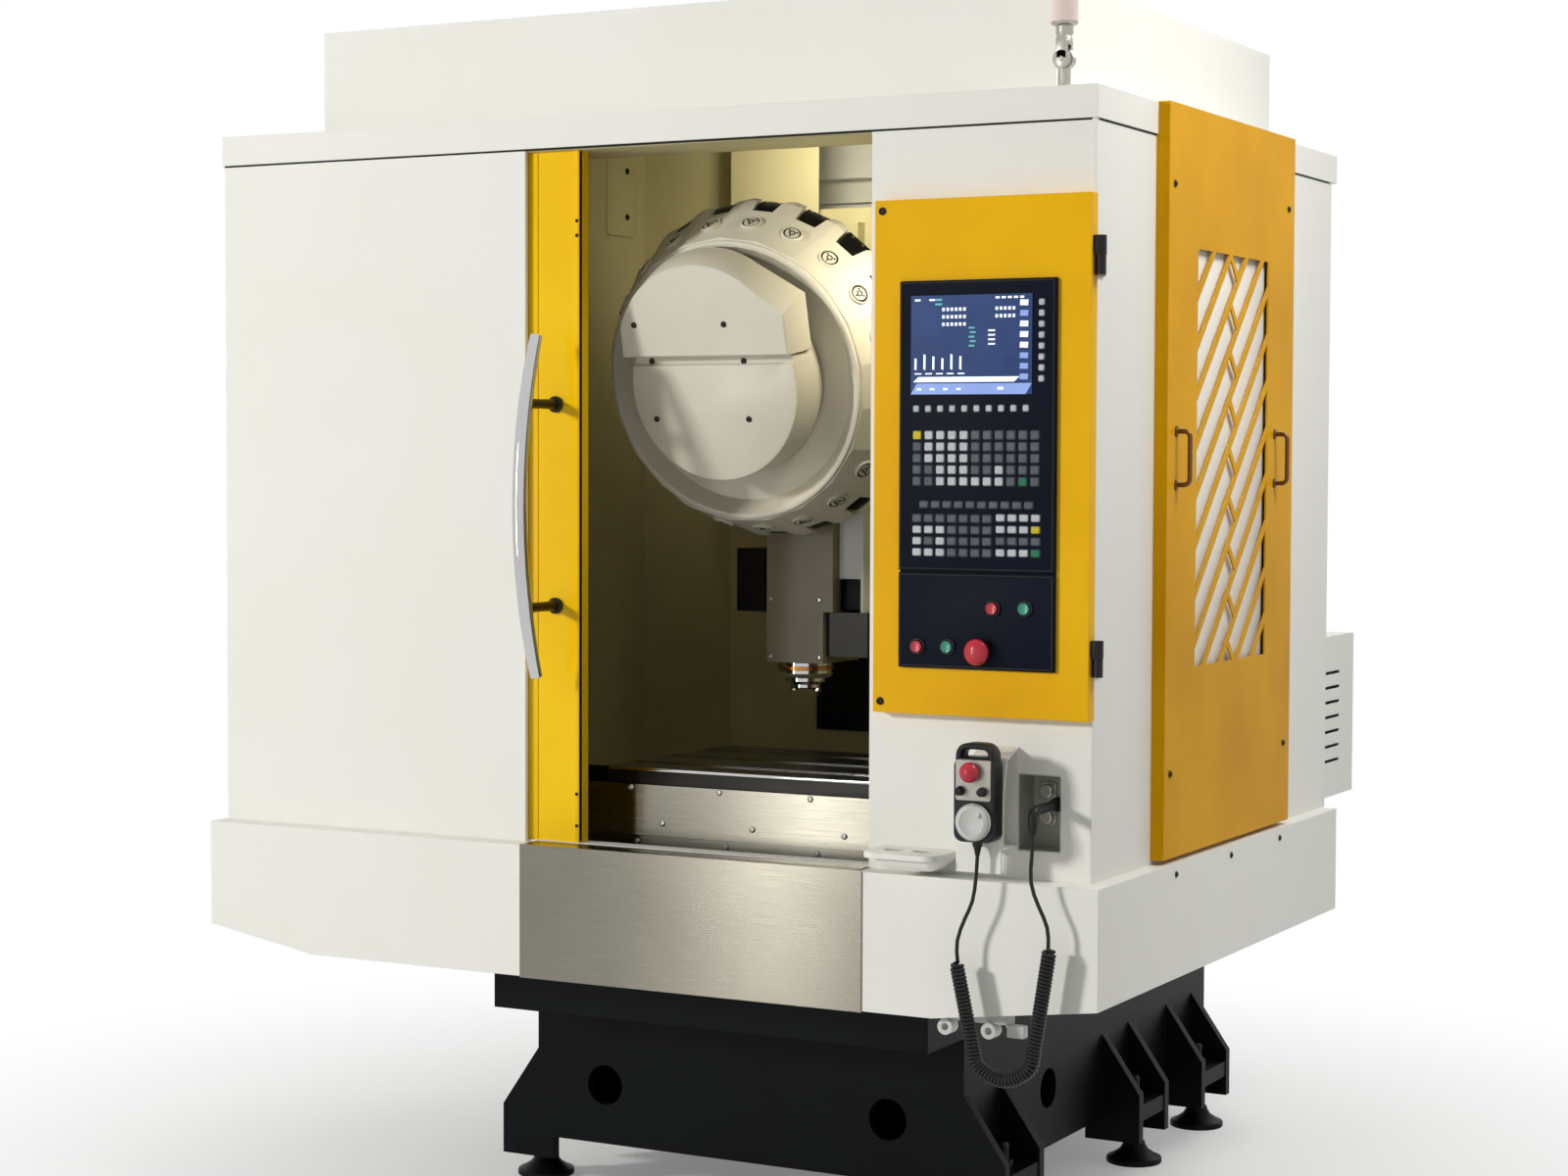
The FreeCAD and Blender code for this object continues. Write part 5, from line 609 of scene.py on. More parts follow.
# ---------------------------------------------------------------- studio
@dataclass(frozen=True)
class Lamp:
    """An area lamp: its place and aim in metres, its side and its power.

    A height makes it a strip. A card shows in metal and doesn't light matt surfaces, and a soft
    lamp lights them but leaves no glare in metal.
    """

    name: str
    place: Place
    aim: Place
    side: float
    power: float
    colour: str
    spread: float = math.pi
    height: float = 0.0
    card: bool = False
    soft: bool = False

    def build(self) -> None:
        """Adds the lamp, turned so that its own -z looks from its place to its aim."""
        data = bpy.data.lights.new(self.name, "AREA")
        data.shape = "RECTANGLE"
        data.size, data.size_y = self.side, self.height or self.side
        data.energy = self.power
        data.color = linear(self.colour)[:3]
        data.spread = self.spread
        lamp = put(self.name, data)
        lamp.visible_camera = False
        lamp.visible_diffuse = not self.card
        lamp.visible_glossy = not self.soft
        way = np.array(self.aim) - np.array(self.place)
        away = -way / np.linalg.norm(way)
        side = np.cross((0.0, 0.0, 1.0), away)
        side /= np.linalg.norm(side)
        lamp.matrix_world = axes_matrix(side, np.cross(away, side), away, np.array(self.place))


def axes_matrix(x: np.ndarray, y: np.ndarray, z: np.ndarray, place: np.ndarray) -> Matrix:
    """A placing whose columns are three directions and a place.

    Args:
        x: Direction of its own x.
        y: Direction of its own y.
        z: Direction of its own z.
        place: Where its zero lies.

    Returns:
        The 4 by 4 matrix.
    """
    square = np.eye(4)
    square[:3, 0], square[:3, 1], square[:3, 2], square[:3, 3] = x, y, z, place
    return Matrix(square.tolist())


@dataclass
class Studio:
    """The camera, the lamps, the pale floor and the white behind it."""

    eye: Place = (2.5347, -4.8843, 1.3329)
    yaw: float = 28.13
    pitch: float = 2.53
    roll: float = -0.20
    lens: float = 66.56
    floor_half: float = 40.0
    floor_colour: str = "#f6f6f4"
    glow_colour: str = "#f7f8fa"
    glow: float = 0.27
    fade_m: Pair = (0.2, 2.3)
    fade_least: float = 0.2
    lamps: tuple[Lamp, ...] = (
        Lamp("key_lamp", (-7.4, -8.8, 4.1), (0.0, -0.6, 1.2), 1.2, 840.0, "#fffdf8", soft=True),
        Lamp("right_lamp", (2.3, -0.4, 3.6), (0.85, -0.1, 1.80), 1.0, 12.5, "#fffdf6", 1.4),
        Lamp("back_lamp", (1.0, 5.2, 4.6), (0.0, 0.2, 1.2), 3.0, 80.0, "#ffffff"),
        Lamp("work_lamp", (0.04, -0.18, 1.97), (-0.06, 0.33, 1.90), 0.10, 1.0, "#fff6dc", 1.9),
        Lamp("strip_card", (-2.45, -5.9, 1.3), (0.30, -0.7, 0.6), 0.35, 58.0, "#fffefa", height=2.6, card=True),
        Lamp("drum_lamp", (0.56, -0.61, 1.78), (0.34, -0.40, 1.60), 0.08, 0.8, "#fff4d8", 1.6),
    )

    def build(self) -> None:
        """Makes the camera first, then the lamps, the world and the floor."""
        self.build_camera()
        for lamp in self.lamps:
            lamp.build()
        self.build_world()
        self.build_floor()
        bpy.context.scene.view_settings.view_transform = "Standard"

    def build_camera(self) -> None:
        """A level camera: yaw about z, then pitch down, then a small roll about its own axis."""
        yaw, pitch, roll = (math.radians(v) for v in (self.yaw, self.pitch, self.roll))
        ahead = np.array([-math.sin(yaw) * math.cos(pitch), math.cos(yaw) * math.cos(pitch), -math.sin(pitch)])
        right = np.array([math.cos(yaw), math.sin(yaw), 0.0])
        down = np.cross(ahead, right)
        turned_right = math.cos(roll) * right + math.sin(roll) * down
        turned_down = -math.sin(roll) * right + math.cos(roll) * down
        data = bpy.data.cameras.new("camera")
        data.lens = self.lens
        data.sensor_width = 36.0
        data.sensor_fit = "HORIZONTAL"
        data.clip_end = 200.0
        camera = put("camera", data)
        camera.matrix_world = axes_matrix(turned_right, -turned_down, -ahead, np.array(self.eye))
        bpy.context.scene.camera = camera

    def seen(self, tree: bpy.types.NodeTree) -> bpy.types.Node:
        """A value of 1 where the eye, a mirror or glass looks, from the ray's kind.

        Args:
            tree: The node tree to add to.

        Returns:
            The node whose Value output is that number.
        """
        path = add_node(tree, "ShaderNodeLightPath")
        mirrored = add_node(tree, "ShaderNodeMath", {"operation": "MAXIMUM"},
                            {0: path.outputs["Is Glossy Ray"], 1: path.outputs["Is Transmission Ray"]})
        return add_node(tree, "ShaderNodeMath", {"operation": "MAXIMUM"},
                        {0: path.outputs["Is Camera Ray"], 1: mirrored.outputs["Value"]})

    def build_world(self) -> None:
        """White where the eye, a mirror or glass sees it, and an even grey glow for everything else."""
        world = bpy.data.worlds.new("studio_world")
        bpy.context.scene.world = world
        tree = bare_tree(world)
        seen = self.seen(tree)
        white = add_node(tree, "ShaderNodeBackground", {"Color": (1.0, 1.0, 1.0, 1.0), "Strength": 1.0})
        glow = add_node(tree, "ShaderNodeBackground", {"Color": linear(self.glow_colour), "Strength": self.glow})
        both = add_node(tree, "ShaderNodeMixShader", None,
                        {"Fac": seen.outputs["Value"], 1: glow.outputs["Background"], 2: white.outputs["Background"]})
        add_node(tree, "ShaderNodeOutputWorld", None, {"Surface": both.outputs["Shader"]})

    def build_floor(self) -> None:
        """A pale painted floor that keeps the shadow near the machine and fades to the white behind."""
        ends = (-self.floor_half, self.floor_half)
        mesh = bpy.data.meshes.new("studio_floor")
        mesh.from_pydata([(x, y, 0.0) for x in ends for y in ends], [], [(0, 2, 3, 1)])
        floor = put("studio_floor", mesh)
        material = bpy.data.materials.new("matt_painted_studio_floor")
        tree = bare_tree(material)
        place = add_node(tree, "ShaderNodeTexCoord")
        away = add_node(tree, "ShaderNodeVectorMath", {"operation": "LENGTH"}, {0: place.outputs["Object"]})
        fade = add_node(tree, "ShaderNodeMapRange",
                        {"From Min": self.fade_m[0], "From Max": self.fade_m[1], "To Min": self.fade_least,
                         "interpolation_type": "SMOOTHSTEP"},
                        {"Value": away.outputs["Value"]})
        matt = add_node(tree, "ShaderNodeBsdfDiffuse", {"Color": linear(self.floor_colour)})
        white = add_node(tree, "ShaderNodeEmission", {"Color": (1.0, 1.0, 1.0, 1.0), "Strength": 1.0})
        seen = self.seen(tree)
        share = add_node(tree, "ShaderNodeMath", {"operation": "MULTIPLY"},
                         {0: seen.outputs["Value"], 1: fade.outputs["Result"]})
        both = add_node(tree, "ShaderNodeMixShader", None,
                        {"Fac": share.outputs["Value"], 1: matt.outputs["BSDF"], 2: white.outputs["Emission"]})
        add_node(tree, "ShaderNodeOutputMaterial", None, {"Surface": both.outputs["Shader"]})
        mesh.materials.append(material)


# ---------------------------------------------------------------- cord
@dataclass
class PendantCord:
    """The pendant's cord: plain, then curly, then plain up to its plug, as one unbroken wire."""

    depth: float = -752.0
    wire: float = 6.4
    coil_radius: float = 9.0
    turns: int = 76
    per_turn: int = 14
    loosening: float = 1.2
    loose_turns: float = 0.5
    ramp_turns: float = 0.9
    ramp_start: float = 0.3
    lead: tuple[Pair, ...] = (
        (671.0, 712.0), (669.5, 682.0), (664.0, 640.0), (649.8, 613.4), (635.2, 576.8), (640.8, 551.4))
    hang: tuple[Pair, ...] = (
        (635.0, 545.0), (666.0, 404.0), (671.6, 378.7), (718.5, 357.2), (764.0, 381.7), (768.0, 404.0),
        (795.0, 579.0))
    tail: tuple[Pair, ...] = (
        (788.8, 588.2), (792.1, 610.0), (774.8, 642.2), (760.0, 678.0), (764.0, 722.0), (765.0, 752.0))
    elbow_corner: float = 790.0
    elbow_end: float = -706.0
    relief_top: Pair = (671.0, 736.0)
    plug_x: float = 765.0
    plug_z: float = 790.0
    plug_radius: float = 11.0
    plug_back: float = -632.0
    plug_barrel: float = 34.0
    plug_bend: float = 14.0
    gland_drop: float = 24.0
    gland_end: float = 752.5

    def spline(self, name: str, points: np.ndarray) -> bpy.types.Object:
        """A smooth NURBS curve with those points as its control points.

        Args:
            name: The curve's name.
            points: An (n, 3) array in metres.

        Returns:
            The curve's object, not yet in the scene.
        """
        data = bpy.data.curves.new(name, "CURVE")
        data.dimensions = "3D"
        line = data.splines.new("NURBS")
        line.points.add(len(points) - 1)
        line.points.foreach_set("co", np.column_stack([points, np.ones(len(points))]).ravel())
        line.order_u = 3
        line.use_endpoint_u = True
        line.resolution_u = 2
        data.resolution_u = 2
        return bpy.data.objects.new(name, data)

    def flat(self, pairs: tuple[Pair, ...]) -> np.ndarray:
        """Route points in the cord's upright plane, in metres."""
        x, z = np.array(pairs, float).T
        return np.column_stack([x, np.full(len(x), self.depth), z]) * MM

    def hanging_line(self) -> tuple[np.ndarray, np.ndarray]:
        """The curly part's middle line, read from its smooth route.

        Returns:
            Its points and the length walked to each, in metres.
        """
        guide = self.spline("hang_guide", self.flat(self.hang))
        guide.data.splines[0].resolution_u = 24
        points = self.line_points(guide)
        bpy.data.objects.remove(guide)
        walked = np.concatenate([[0.0], np.cumsum(np.linalg.norm(np.diff(points, axis=0), axis=1))])
        return points, walked

    def line_points(self, curve: bpy.types.Object) -> np.ndarray:
        """The points along a curve that has no thickness.

        Args:
            curve: The curve's object.

        Returns:
            An (n, 3) array in metres.
        """
        mesh = bpy.data.meshes.new_from_object(curve)
        points = np.empty(len(mesh.vertices) * 3)
        mesh.vertices.foreach_get("co", points)
        bpy.data.meshes.remove(mesh)
        return points.reshape(-1, 3)

    def curls(self) -> np.ndarray:
        """The curly part: middle + radius (cos t side + sin t depth), closing up from loose ends.

        Returns:
            An (n, 3) array of control points in metres.
        """
        middle, walked = self.hanging_line()
        count = self.turns * self.per_turn + 1
        turn = np.linspace(0, 2 * math.pi * self.turns, count)
        share = np.linspace(0, 1, count)
        ends = (share * self.turns, (1 - share) * self.turns)
        rate = 1 + sum(self.loosening * np.exp(-end / self.loose_turns) for end in ends)
        reach = np.concatenate([[0.0], np.cumsum((rate[1:] + rate[:-1]) / 2)])
        reach *= walked[-1] / reach[-1]
        point = np.column_stack([np.interp(reach, walked, middle[:, k]) for k in range(3)])
        tangent = np.gradient(middle, walked, axis=0)
        tangent = np.column_stack([np.interp(reach, walked, tangent[:, k]) for k in range(3)])
        tangent /= np.linalg.norm(tangent, axis=1, keepdims=True)
        side = np.column_stack([-tangent[:, 2], np.zeros(count), tangent[:, 0]])
        depth = np.array([0.0, 1.0, 0.0])
        from_end = np.minimum(turn, turn[-1] - turn) / (2 * math.pi)
        ramp = np.clip(from_end / self.ramp_turns, 0.0, 1.0)
        swell = self.ramp_start + (1 - self.ramp_start) * ramp * ramp * (3 - 2 * ramp)
        radius = self.coil_radius * MM * swell
        return point + radius[:, None] * (np.cos(turn)[:, None] * side + np.sin(turn)[:, None] * depth)

    def build(self, shop: Workshop) -> None:
        """Args:
            shop: The workshop.
        """
        last = self.flat(self.tail)[-1]
        through = np.array([[last[0], self.depth * MM, self.elbow_corner * MM],
                            [last[0], self.elbow_end * MM, self.elbow_corner * MM]])
        points = np.concatenate([self.flat(self.lead)[:-1], self.curls(), self.flat(self.tail)[1:], through])
        wire = self.spline("pendant_cord", points)
        wire.data.bevel_depth = self.wire / 2 * MM
        wire.data.bevel_resolution = 2
        wire.data.use_fill_caps = True
        wire.data.materials.append(shop.material(Paint.RUBBER))
        bpy.context.scene.collection.objects.link(wire)
        line = self.line_points(self.bare(wire))
        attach(wire, "frame")
        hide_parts("cord_lead", "cord_coil", "cord_tail")
        relief = self.build_relief(shop)
        plug = self.build_plug(shop)

    def bare(self, wire: bpy.types.Object) -> bpy.types.Object:
        """A copy of the wire without thickness, to measure its middle line.

        Args:
            wire: The cord's curve.

        Returns:
            The copy, not in the scene.
        """
        data = wire.data.copy()
        data.bevel_depth = 0.0
        return bpy.data.objects.new("bare_line", data)

    def build_relief(self, shop: Workshop) -> bpy.types.Object:
        """The tapered, ribbed sleeve under the pendant: rings whose radius steps in and out.

        Args:
            shop: The workshop.

        Returns:
            The sleeve.
        """
        x, z = self.relief_top
        rows = [(8.0, 0.0), (8.0, 7.5), (6.6, 8.2)]
        for i in range(4):
            low = 9.0 + 3.6 * i
            radius = 6.2 - 0.75 * i
            rows += [(radius, low), (radius, low + 2.0), (radius - 1.0, low + 2.2), (radius - 1.0, low + 3.4)]
        rows += [(2.7, 24.0)]
        skin = turned(rows, 28).placed(Facing.DOWN, (x, self.depth, z))
        return shop.make("cord_strain_relief", skin, Paint.NYLON, "frame", ("strain_relief",))

    def build_plug(self, shop: Workshop) -> bpy.types.Object:
        """The round plug: a knurled ring at the socket, an elbow and a gland on the cord.

        Args:
            shop: The workshop.

        Returns:
            The plug.
        """
        r = self.plug_radius
        back = (self.plug_x, self.plug_back, self.plug_z)
        barrel = turned([(r - 1, 0.0), (r, 1.0), (r, 30.0), (r - 2, 33.0), (r - 2, self.plug_barrel)], 36)
        ribs = turned([(1.0, 2.0), (1.0, 28.0)], 8).copied(round_spots(r - 0.5, circle(20)))
        sweep, bend, gland_z = np.linspace(0, math.pi / 2, 12), self.plug_bend, self.plug_z - self.gland_drop
        path = np.concatenate([
            [[self.plug_x, self.plug_back - self.plug_barrel + 2, self.plug_z]],
            np.column_stack([np.full(12, self.plug_x), self.depth + bend - bend * np.sin(sweep),
                             self.plug_z - bend * (1 - np.cos(sweep))]),
            [[self.plug_x, self.depth, z] for z in (gland_z, gland_z - 0.2, self.gland_end)],
        ])
        radius = np.array([r - 3.0] * 14 + [r - 4.0, r - 5.6])
        elbow = swept(path, (1.0, 0.0, 0.0), ring_section(radius, 28))
        coupling = turned([(r + 0.2, 1.0), (r + 1.4, 2.0), (r + 1.4, 13.0), (r + 0.2, 14.0), (r - 1.0, 14.0),
                           (r - 1.0, 1.0)], 36, ring_loop=True)
        shop.make("plug_coupling", coupling.placed(Facing.FRONT, back), Paint.CHROME, "frame")
        skin = joined([barrel.placed(Facing.FRONT, back), ribs.placed(Facing.FRONT, back), elbow])
        return shop.make("pendant_plug", skin, Paint.NYLON, "frame", ("cord_plug",))


# ---------------------------------------------------------------- base
@dataclass
class Base:
    """The welded base's inner webs, its feet and the levelling bolts through its brackets."""

    middle_x: float = 81.0
    foot_x: float = 465.0
    foot_y: tuple[float, ...] = (-359.0, 258.0, 602.0)
    pad_radius: float = 52.5
    pad_height: float = 40.0
    bolt_radius: float = 10.0
    bolt_top: float = 165.0
    shelf: Pair = (92.0, 122.0)
    nut_flat: float = 14.8
    nut_height: float = 14.0
    web_half: float = 405.0
    web_y: Pair = (-300.0, 718.0)
    web_z: Pair = (96.0, 438.0)
    cross_web: float = 8.0
    centre_web: float = 12.0
    web_floor: float = 6.0
    web_floor_front: float = -420.0

    def build(self, shop: Workshop) -> None:
        """Dresses the frame and makes the webs and the feet.

        Args:
            shop: The workshop.
        """
        shop.dress(Paint.BLACK, "base_frame")
        self.build_webs(shop)
        x, y = np.meshgrid([self.middle_x - self.foot_x, self.middle_x + self.foot_x], self.foot_y)
        places = np.column_stack([x.ravel(), y.ravel(), np.zeros(x.size)])
        r, h = self.pad_radius, self.pad_height
        pad = turned([(r - 1.5, 0), (r, 1.5), (r, 9), (r - 1.5, 11), (r - 8, 13), (28, 24), (22, 33), (20, h),
                      (12, h + 0.5), (0, h + 0.5)], 40)
        shop.make("foot_pads", pad.copied(places), Paint.BLACK, "frame", ("levelling_feet",))
        ridge = np.arange(h, self.bolt_top - 3, 1.5)
        thread = [(self.bolt_radius - (0.9 if i % 2 else 0.0), z) for i, z in enumerate(ridge)]
        bolt = turned(thread + [(self.bolt_radius - 2.5, self.bolt_top), (0, self.bolt_top)], 16)
        shop.make("levelling_bolts", bolt.copied(places), Paint.OXIDE, "frame")
        flat, top = self.nut_flat, self.nut_height
        nut = turned([(flat - 1.5, 0), (flat, 1.2), (flat, top - 1.2), (flat - 1.5, top)], 24, flats=6)
        low = nut.copied(places + [0, 0, self.shelf[0] - top])
        high = nut.copied(places + [0, 0, self.shelf[1]])
        shop.make("levelling_nuts", joined([low, high]), Paint.OXIDE, "frame")

    def build_webs(self, shop: Workshop) -> None:
        """The plates that keep light out of the base: a cross web, a centre web and a floor.

        Args:
            shop: The workshop.
        """
        x, reach, half = self.middle_x, self.web_half, self.centre_web / 2
        (front, rear), (low, high) = self.web_y, self.web_z
        floor = low - 2
        plates = [block(x - reach, x + reach, front - self.cross_web, front, low, high),
                  block(x - half, x + half, front, rear, low, high),
                  block(x - reach, x + reach, self.web_floor_front, rear, floor, floor + self.web_floor)]
        shop.make("base_webs", joined(plates), Paint.BLACK, "frame")


# ---------------------------------------------------------------- cabinet
@dataclass
class Cabinet:
    """The sheet-metal walls, the skirt and pan, and the screws that hold them."""

    side_x: float = 830.0
    skirt_x: float = 861.0
    skirt_screws: tuple[Pair, ...] = ((-376.0, 651.0), (-106.0, 651.0), (156.0, 651.0))
    roof_screws: tuple[Pair, ...] = ((-407.0, -578.0), (-34.0, -578.0), (332.0, -578.0))
    roof_z: float = 1917.0
    front_y: float = -672.0
    left_x: float = -878.0
    side_back: float = 500.0
    lip_z: float = 1865.0
    seam: Pair = (3.2, 0.2)
    liner_x: float = -584.0
    hatch_y: Pair = (173.0, 289.0)
    hatch_z: Pair = (1790.0, 1955.0)

    def build(self, shop: Workshop) -> None:
        """Dresses the sheets and adds their screws.

        Args:
            shop: The workshop.
        """
        shop.dress(Paint.WHITE, "left_panel", "right_front_panel", "right_side_panel", "rear_panel", "roof_cover",
                   "top_housing", "skirt_pan", "louvred_box", "electrical_cabinet", "cabinet_door", "tray",
                   "pendant_bracket")
        shop.dress(Paint.LINER, "inner_liner")
        shop.dress(Paint.BRUSHED, "apron_plate")
        shop.dress(Paint.GREY, "connector_recess")
        self.build_rim_shade_and_hatch(shop)
        head = pan_head(5.5, 3.0)
        skin = joined([head.copied(flat_spots(self.skirt_screws)).placed(Facing.RIGHT, (self.skirt_x, 0, 0)),
                       head.copied(flat_spots(self.roof_screws)).placed(Facing.TOP, (0, 0, self.roof_z))])
        shop.make("cabinet_screws", skin, Paint.OXIDE, "frame")

    def build_rim_shade_and_hatch(self, shop: Workshop) -> None:
        """The dark strips under the roof's rim, painted shade in its gaps to the walls, and the inspection hatch on the
        work space's left wall.

        Args:
            shop: The workshop.
        """
        front, left = self.front_y, self.left_x
        low, high = self.lip_z - self.seam[0], self.lip_z - self.seam[1]
        # Near-black strips set into the gaps under the rim, as painted shade.
        rim_gap_shades = [block(left - 0.5, self.side_x - 8, front - 0.6, front + 3, low, high, 0.2),
                 block(self.side_x - 3, self.side_x + 0.6, front + 9, self.side_back, low, high, 0.2)]
        shop.make("roof_rim_gap_painted_shade", joined(rim_gap_shades), Paint.PAINTED_SHADE, "frame")
        (y0, y1), (z0, z1) = self.hatch_y, self.hatch_z
        plate = raised(rounded_outline(y1 - y0, z1 - z0, 12.0, 5), eased(5.0, 1.5))
        heads = pan_head(6.5, 3.0).copied(np.array([[18.0, 52.0, 5.0], [18.0, -42.0, 5.0]]))
        at = (self.liner_x, (y0 + y1) / 2, (z0 + z1) / 2)
        shop.make("liner_hatch", plate.placed(Facing.RIGHT, at), Paint.LINER, "frame")
        shop.make("liner_hatch_screws", heads.placed(Facing.RIGHT, at), Paint.OXIDE, "frame")


@dataclass
class Tray:
    """The small tray beside the pendant: its support, and a near-black plate under its oval holes as painted shade."""

    x: Pair = (471.0, 606.0)
    y: Pair = (-770.0, -672.0)
    bottom: float = 700.0

    def build(self, shop: Workshop) -> None:
        """Makes the painted-shade plate under the holes and a support that narrows downwards.

        Args:
            shop: The workshop.
        """
        (x0, x1), (y0, y1) = self.x, self.y
        # A near-black plate just under the holes: painted shade, so that they read dark.
        hole_shade = block(x0 + 8, x1 - 8, y0 + 15, y1 - 6, self.bottom + 1.5, self.bottom + 3, 0.3)
        shop.make("tray_hole_painted_shade", hole_shade, Paint.PAINTED_SHADE, "frame")
        outline = rounded_outline(x1 - x0 - 18, y1 - y0 - 10, 22.0, 8)
        levels = [(0.0, 0.0), (1.0, 4.0), (12.0, 15.0), (20.0, 19.0)]
        support = raised(outline, levels).placed(Facing.DOWN, ((x0 + x1) / 2 + 8, (y0 + y1) / 2 + 4, self.bottom))
        shop.make("tray_support", support, Paint.WHITE, "frame")


@dataclass
class CoolantClips:
    """The pipe holders under the skirt: two ringed clips on a folded strip."""

    rings: tuple[float, ...] = (594.0, 670.0)
    strip: Pair = (580.0, 730.0)
    y: float = -692.0
    low: float = 428.0
    strip_z: float = 462.0
    inside: float = -715.0

    def build(self, shop: Workshop) -> None:
        """Makes the strip and its clips, each ring a bored disc.

        Args:
            shop: The workshop.
        """
        ring = turned([(13, -12), (13, 12), (6, 12), (6, -12)], 32, ring_loop=True)
        clips = ring.copied(np.array([[x, self.low, 0.0] for x in self.rings])).placed(Facing.FRONT, (0, self.y, 0))
        x0, x1 = self.strip
        web = block(x0, x1 - 34, self.y - 2, self.y + 2, self.low + 10, self.strip_z, 0.8)
        strip = block(x0, x1, self.inside, self.y + 12, self.strip_z, self.strip_z + 4, 0.8)
        tip = block(x1 - 30, x1, self.y - 8, self.y + 8, self.low - 8, self.low + 12, 1.5)
        neck = block(x1 - 34, x1 - 20, self.y - 2, self.y + 2, self.low + 6, self.strip_z, 0.8)
        shop.make("coolant_clips", joined([clips, web, strip, tip, neck]), Paint.WHITE_ABS, "frame",
                  ("pipe_clamps",))


@dataclass
class GrillePanel:
    """The gold side panel's screws, its two bowed pulls and the pale plate behind its vent."""

    face_x: float = 853.0
    screws: tuple[Pair, ...] = ((-389.0, 1786.0), (193.0, 1789.0), (-389.0, 818.0), (192.0, 821.0))
    handles_y: tuple[float, ...] = (-372.0, 128.0)
    handle_z: Pair = (1290.0, 1386.0)
    reach: float = 23.8
    wire: float = 4.0
    backing_in: Pair = (11.0, 9.0)
    backing_y: Pair = (-284.0, 92.0)
    backing_z: Pair = (981.0, 1695.0)

    def build(self, shop: Workshop) -> None:
        """Dresses the panel and makes its backing, pulls and screws.

        Args:
            shop: The workshop.
        """
        shop.dress(Paint.GOLD, "grille_panel")
        near, far = (self.face_x - depth for depth in self.backing_in)
        backing = block(near, far, *self.backing_y, *self.backing_z, 0.4)
        shop.make("grille_backing", backing, Paint.WHITE, "frame")
        head = pan_head(6.0, 3.5).copied(flat_spots(self.screws))
        shop.make("grille_screws", head.placed(Facing.RIGHT, (self.face_x, 0, 0)), Paint.OXIDE, "frame")
        low, high = self.handle_z
        bend = 10.0
        sweep = np.linspace(0, math.pi / 2, 7)
        out = self.face_x + self.reach
        lower = np.column_stack([out - bend + bend * np.sin(sweep), low + 4 + bend * (1 - np.cos(sweep))])
        upper = lower[::-1] * [1, -1] + [0, low + high]
        line = np.concatenate([[[self.face_x, low + 4]], lower, upper, [[self.face_x, high - 4]]])
        pulls, roses = [], []
        rose = turned([(9, 0), (9, 2), (7.5, 3.2), (4, 3.4)], 24)
        for y in self.handles_y:
            path = np.column_stack([line[:, 0], np.full(len(line), y), line[:, 1]])
            pulls.append(swept(path, (0.0, 1.0, 0.0), ring_section(np.full(len(line), self.wire), 16)))
            for z in (low + 4, high - 4):
                roses.append(rose.placed(Facing.RIGHT, (self.face_x, y, z)))
        shop.make("grille_pulls", joined(pulls + roses), Paint.BRONZE, "frame", ("grille_handles",),
                  crease=50)


# ---------------------------------------------------------------- sliding door
@dataclass
class SlidingDoor:
    """The sliding door: a yellow folded frame, a window and a bowed chrome handle."""

    right_x: float = -122.0
    stile: float = 86.0
    face_y: float = -660.0
    bottom: float = 672.0
    top: float = 1860.0
    handle_x: float = -170.0
    handle_z: Pair = (962.0, 1542.0)
    handle_y: Pair = (-722.0, -774.0)
    radius: float = 12.5
    posts: tuple[float, ...] = (1080.0, 1427.0)
    edge_screws: tuple[float, ...] = (701.0, 756.0, 1715.0, 1740.0)

    def build(self, shop: Workshop) -> None:
        """Dresses the door and makes its handle, edge strip and screws.

        Args:
            shop: The workshop.
        """
        shop.dress(Paint.YELLOW, "door_frame")
        shop.dress(Paint.GLASS, "door_window")
        end_y, mid_y = self.handle_y
        low, high = self.handle_z
        half, rise = (high - low) / 2, end_y - mid_y
        bow = (half * half + rise * rise) / (2 * rise)
        sweep = np.linspace(-math.asin(half / bow), math.asin(half / bow), 40)
        path = np.column_stack([np.full(40, self.handle_x), mid_y + bow - bow * np.cos(sweep),
                                (low + high) / 2 + bow * np.sin(sweep)])
        along = np.abs(np.linspace(-1, 1, 40))
        radius = self.radius * (1 - 0.14 * along ** 3)
        bar = swept(path, (1.0, 0.0, 0.0), ring_section(radius, 28))
        shop.make("handle_bow", bar, Paint.CHROME, "sliding_door", ("door_handle",), crease=50)
        post_skins = []
        for z in self.posts:
            off = abs(z - (low + high) / 2)
            tip = self.face_y - (mid_y + bow - math.sqrt(bow * bow - off * off))
            post = turned([(14, 0), (14, 5), (12.5, 6.5), (9, 7), (8.2, tip * 0.5), (9, tip - 4)], 32)
            post_skins.append(post.placed(Facing.FRONT, (self.handle_x, self.face_y, z)))
        shop.make("handle_posts", joined(post_skins), Paint.OXIDE, "sliding_door")
        fold = block(self.right_x - 9, self.right_x, self.face_y - 2.5, self.face_y + 8, self.bottom, self.top, 0.9)
        shop.make("door_edge_fold", fold, Paint.YELLOW, "sliding_door")
        x1 = self.right_x - self.stile
        flange = block(x1 - 42, x1 + 2, self.face_y - 1.2, self.face_y + 6, self.bottom + 2, self.top - 2, 0.6)
        shop.make("door_window_flange", flange, Paint.YELLOW, "sliding_door")
        heads = pan_head(3.2, 1.6).copied(flat_spots([(self.right_x - 4.5, z) for z in self.edge_screws]))
        shop.make("door_edge_screws", heads.placed(Facing.FRONT, (0, self.face_y - 2.5, 0)), Paint.OXIDE,
                  "sliding_door")


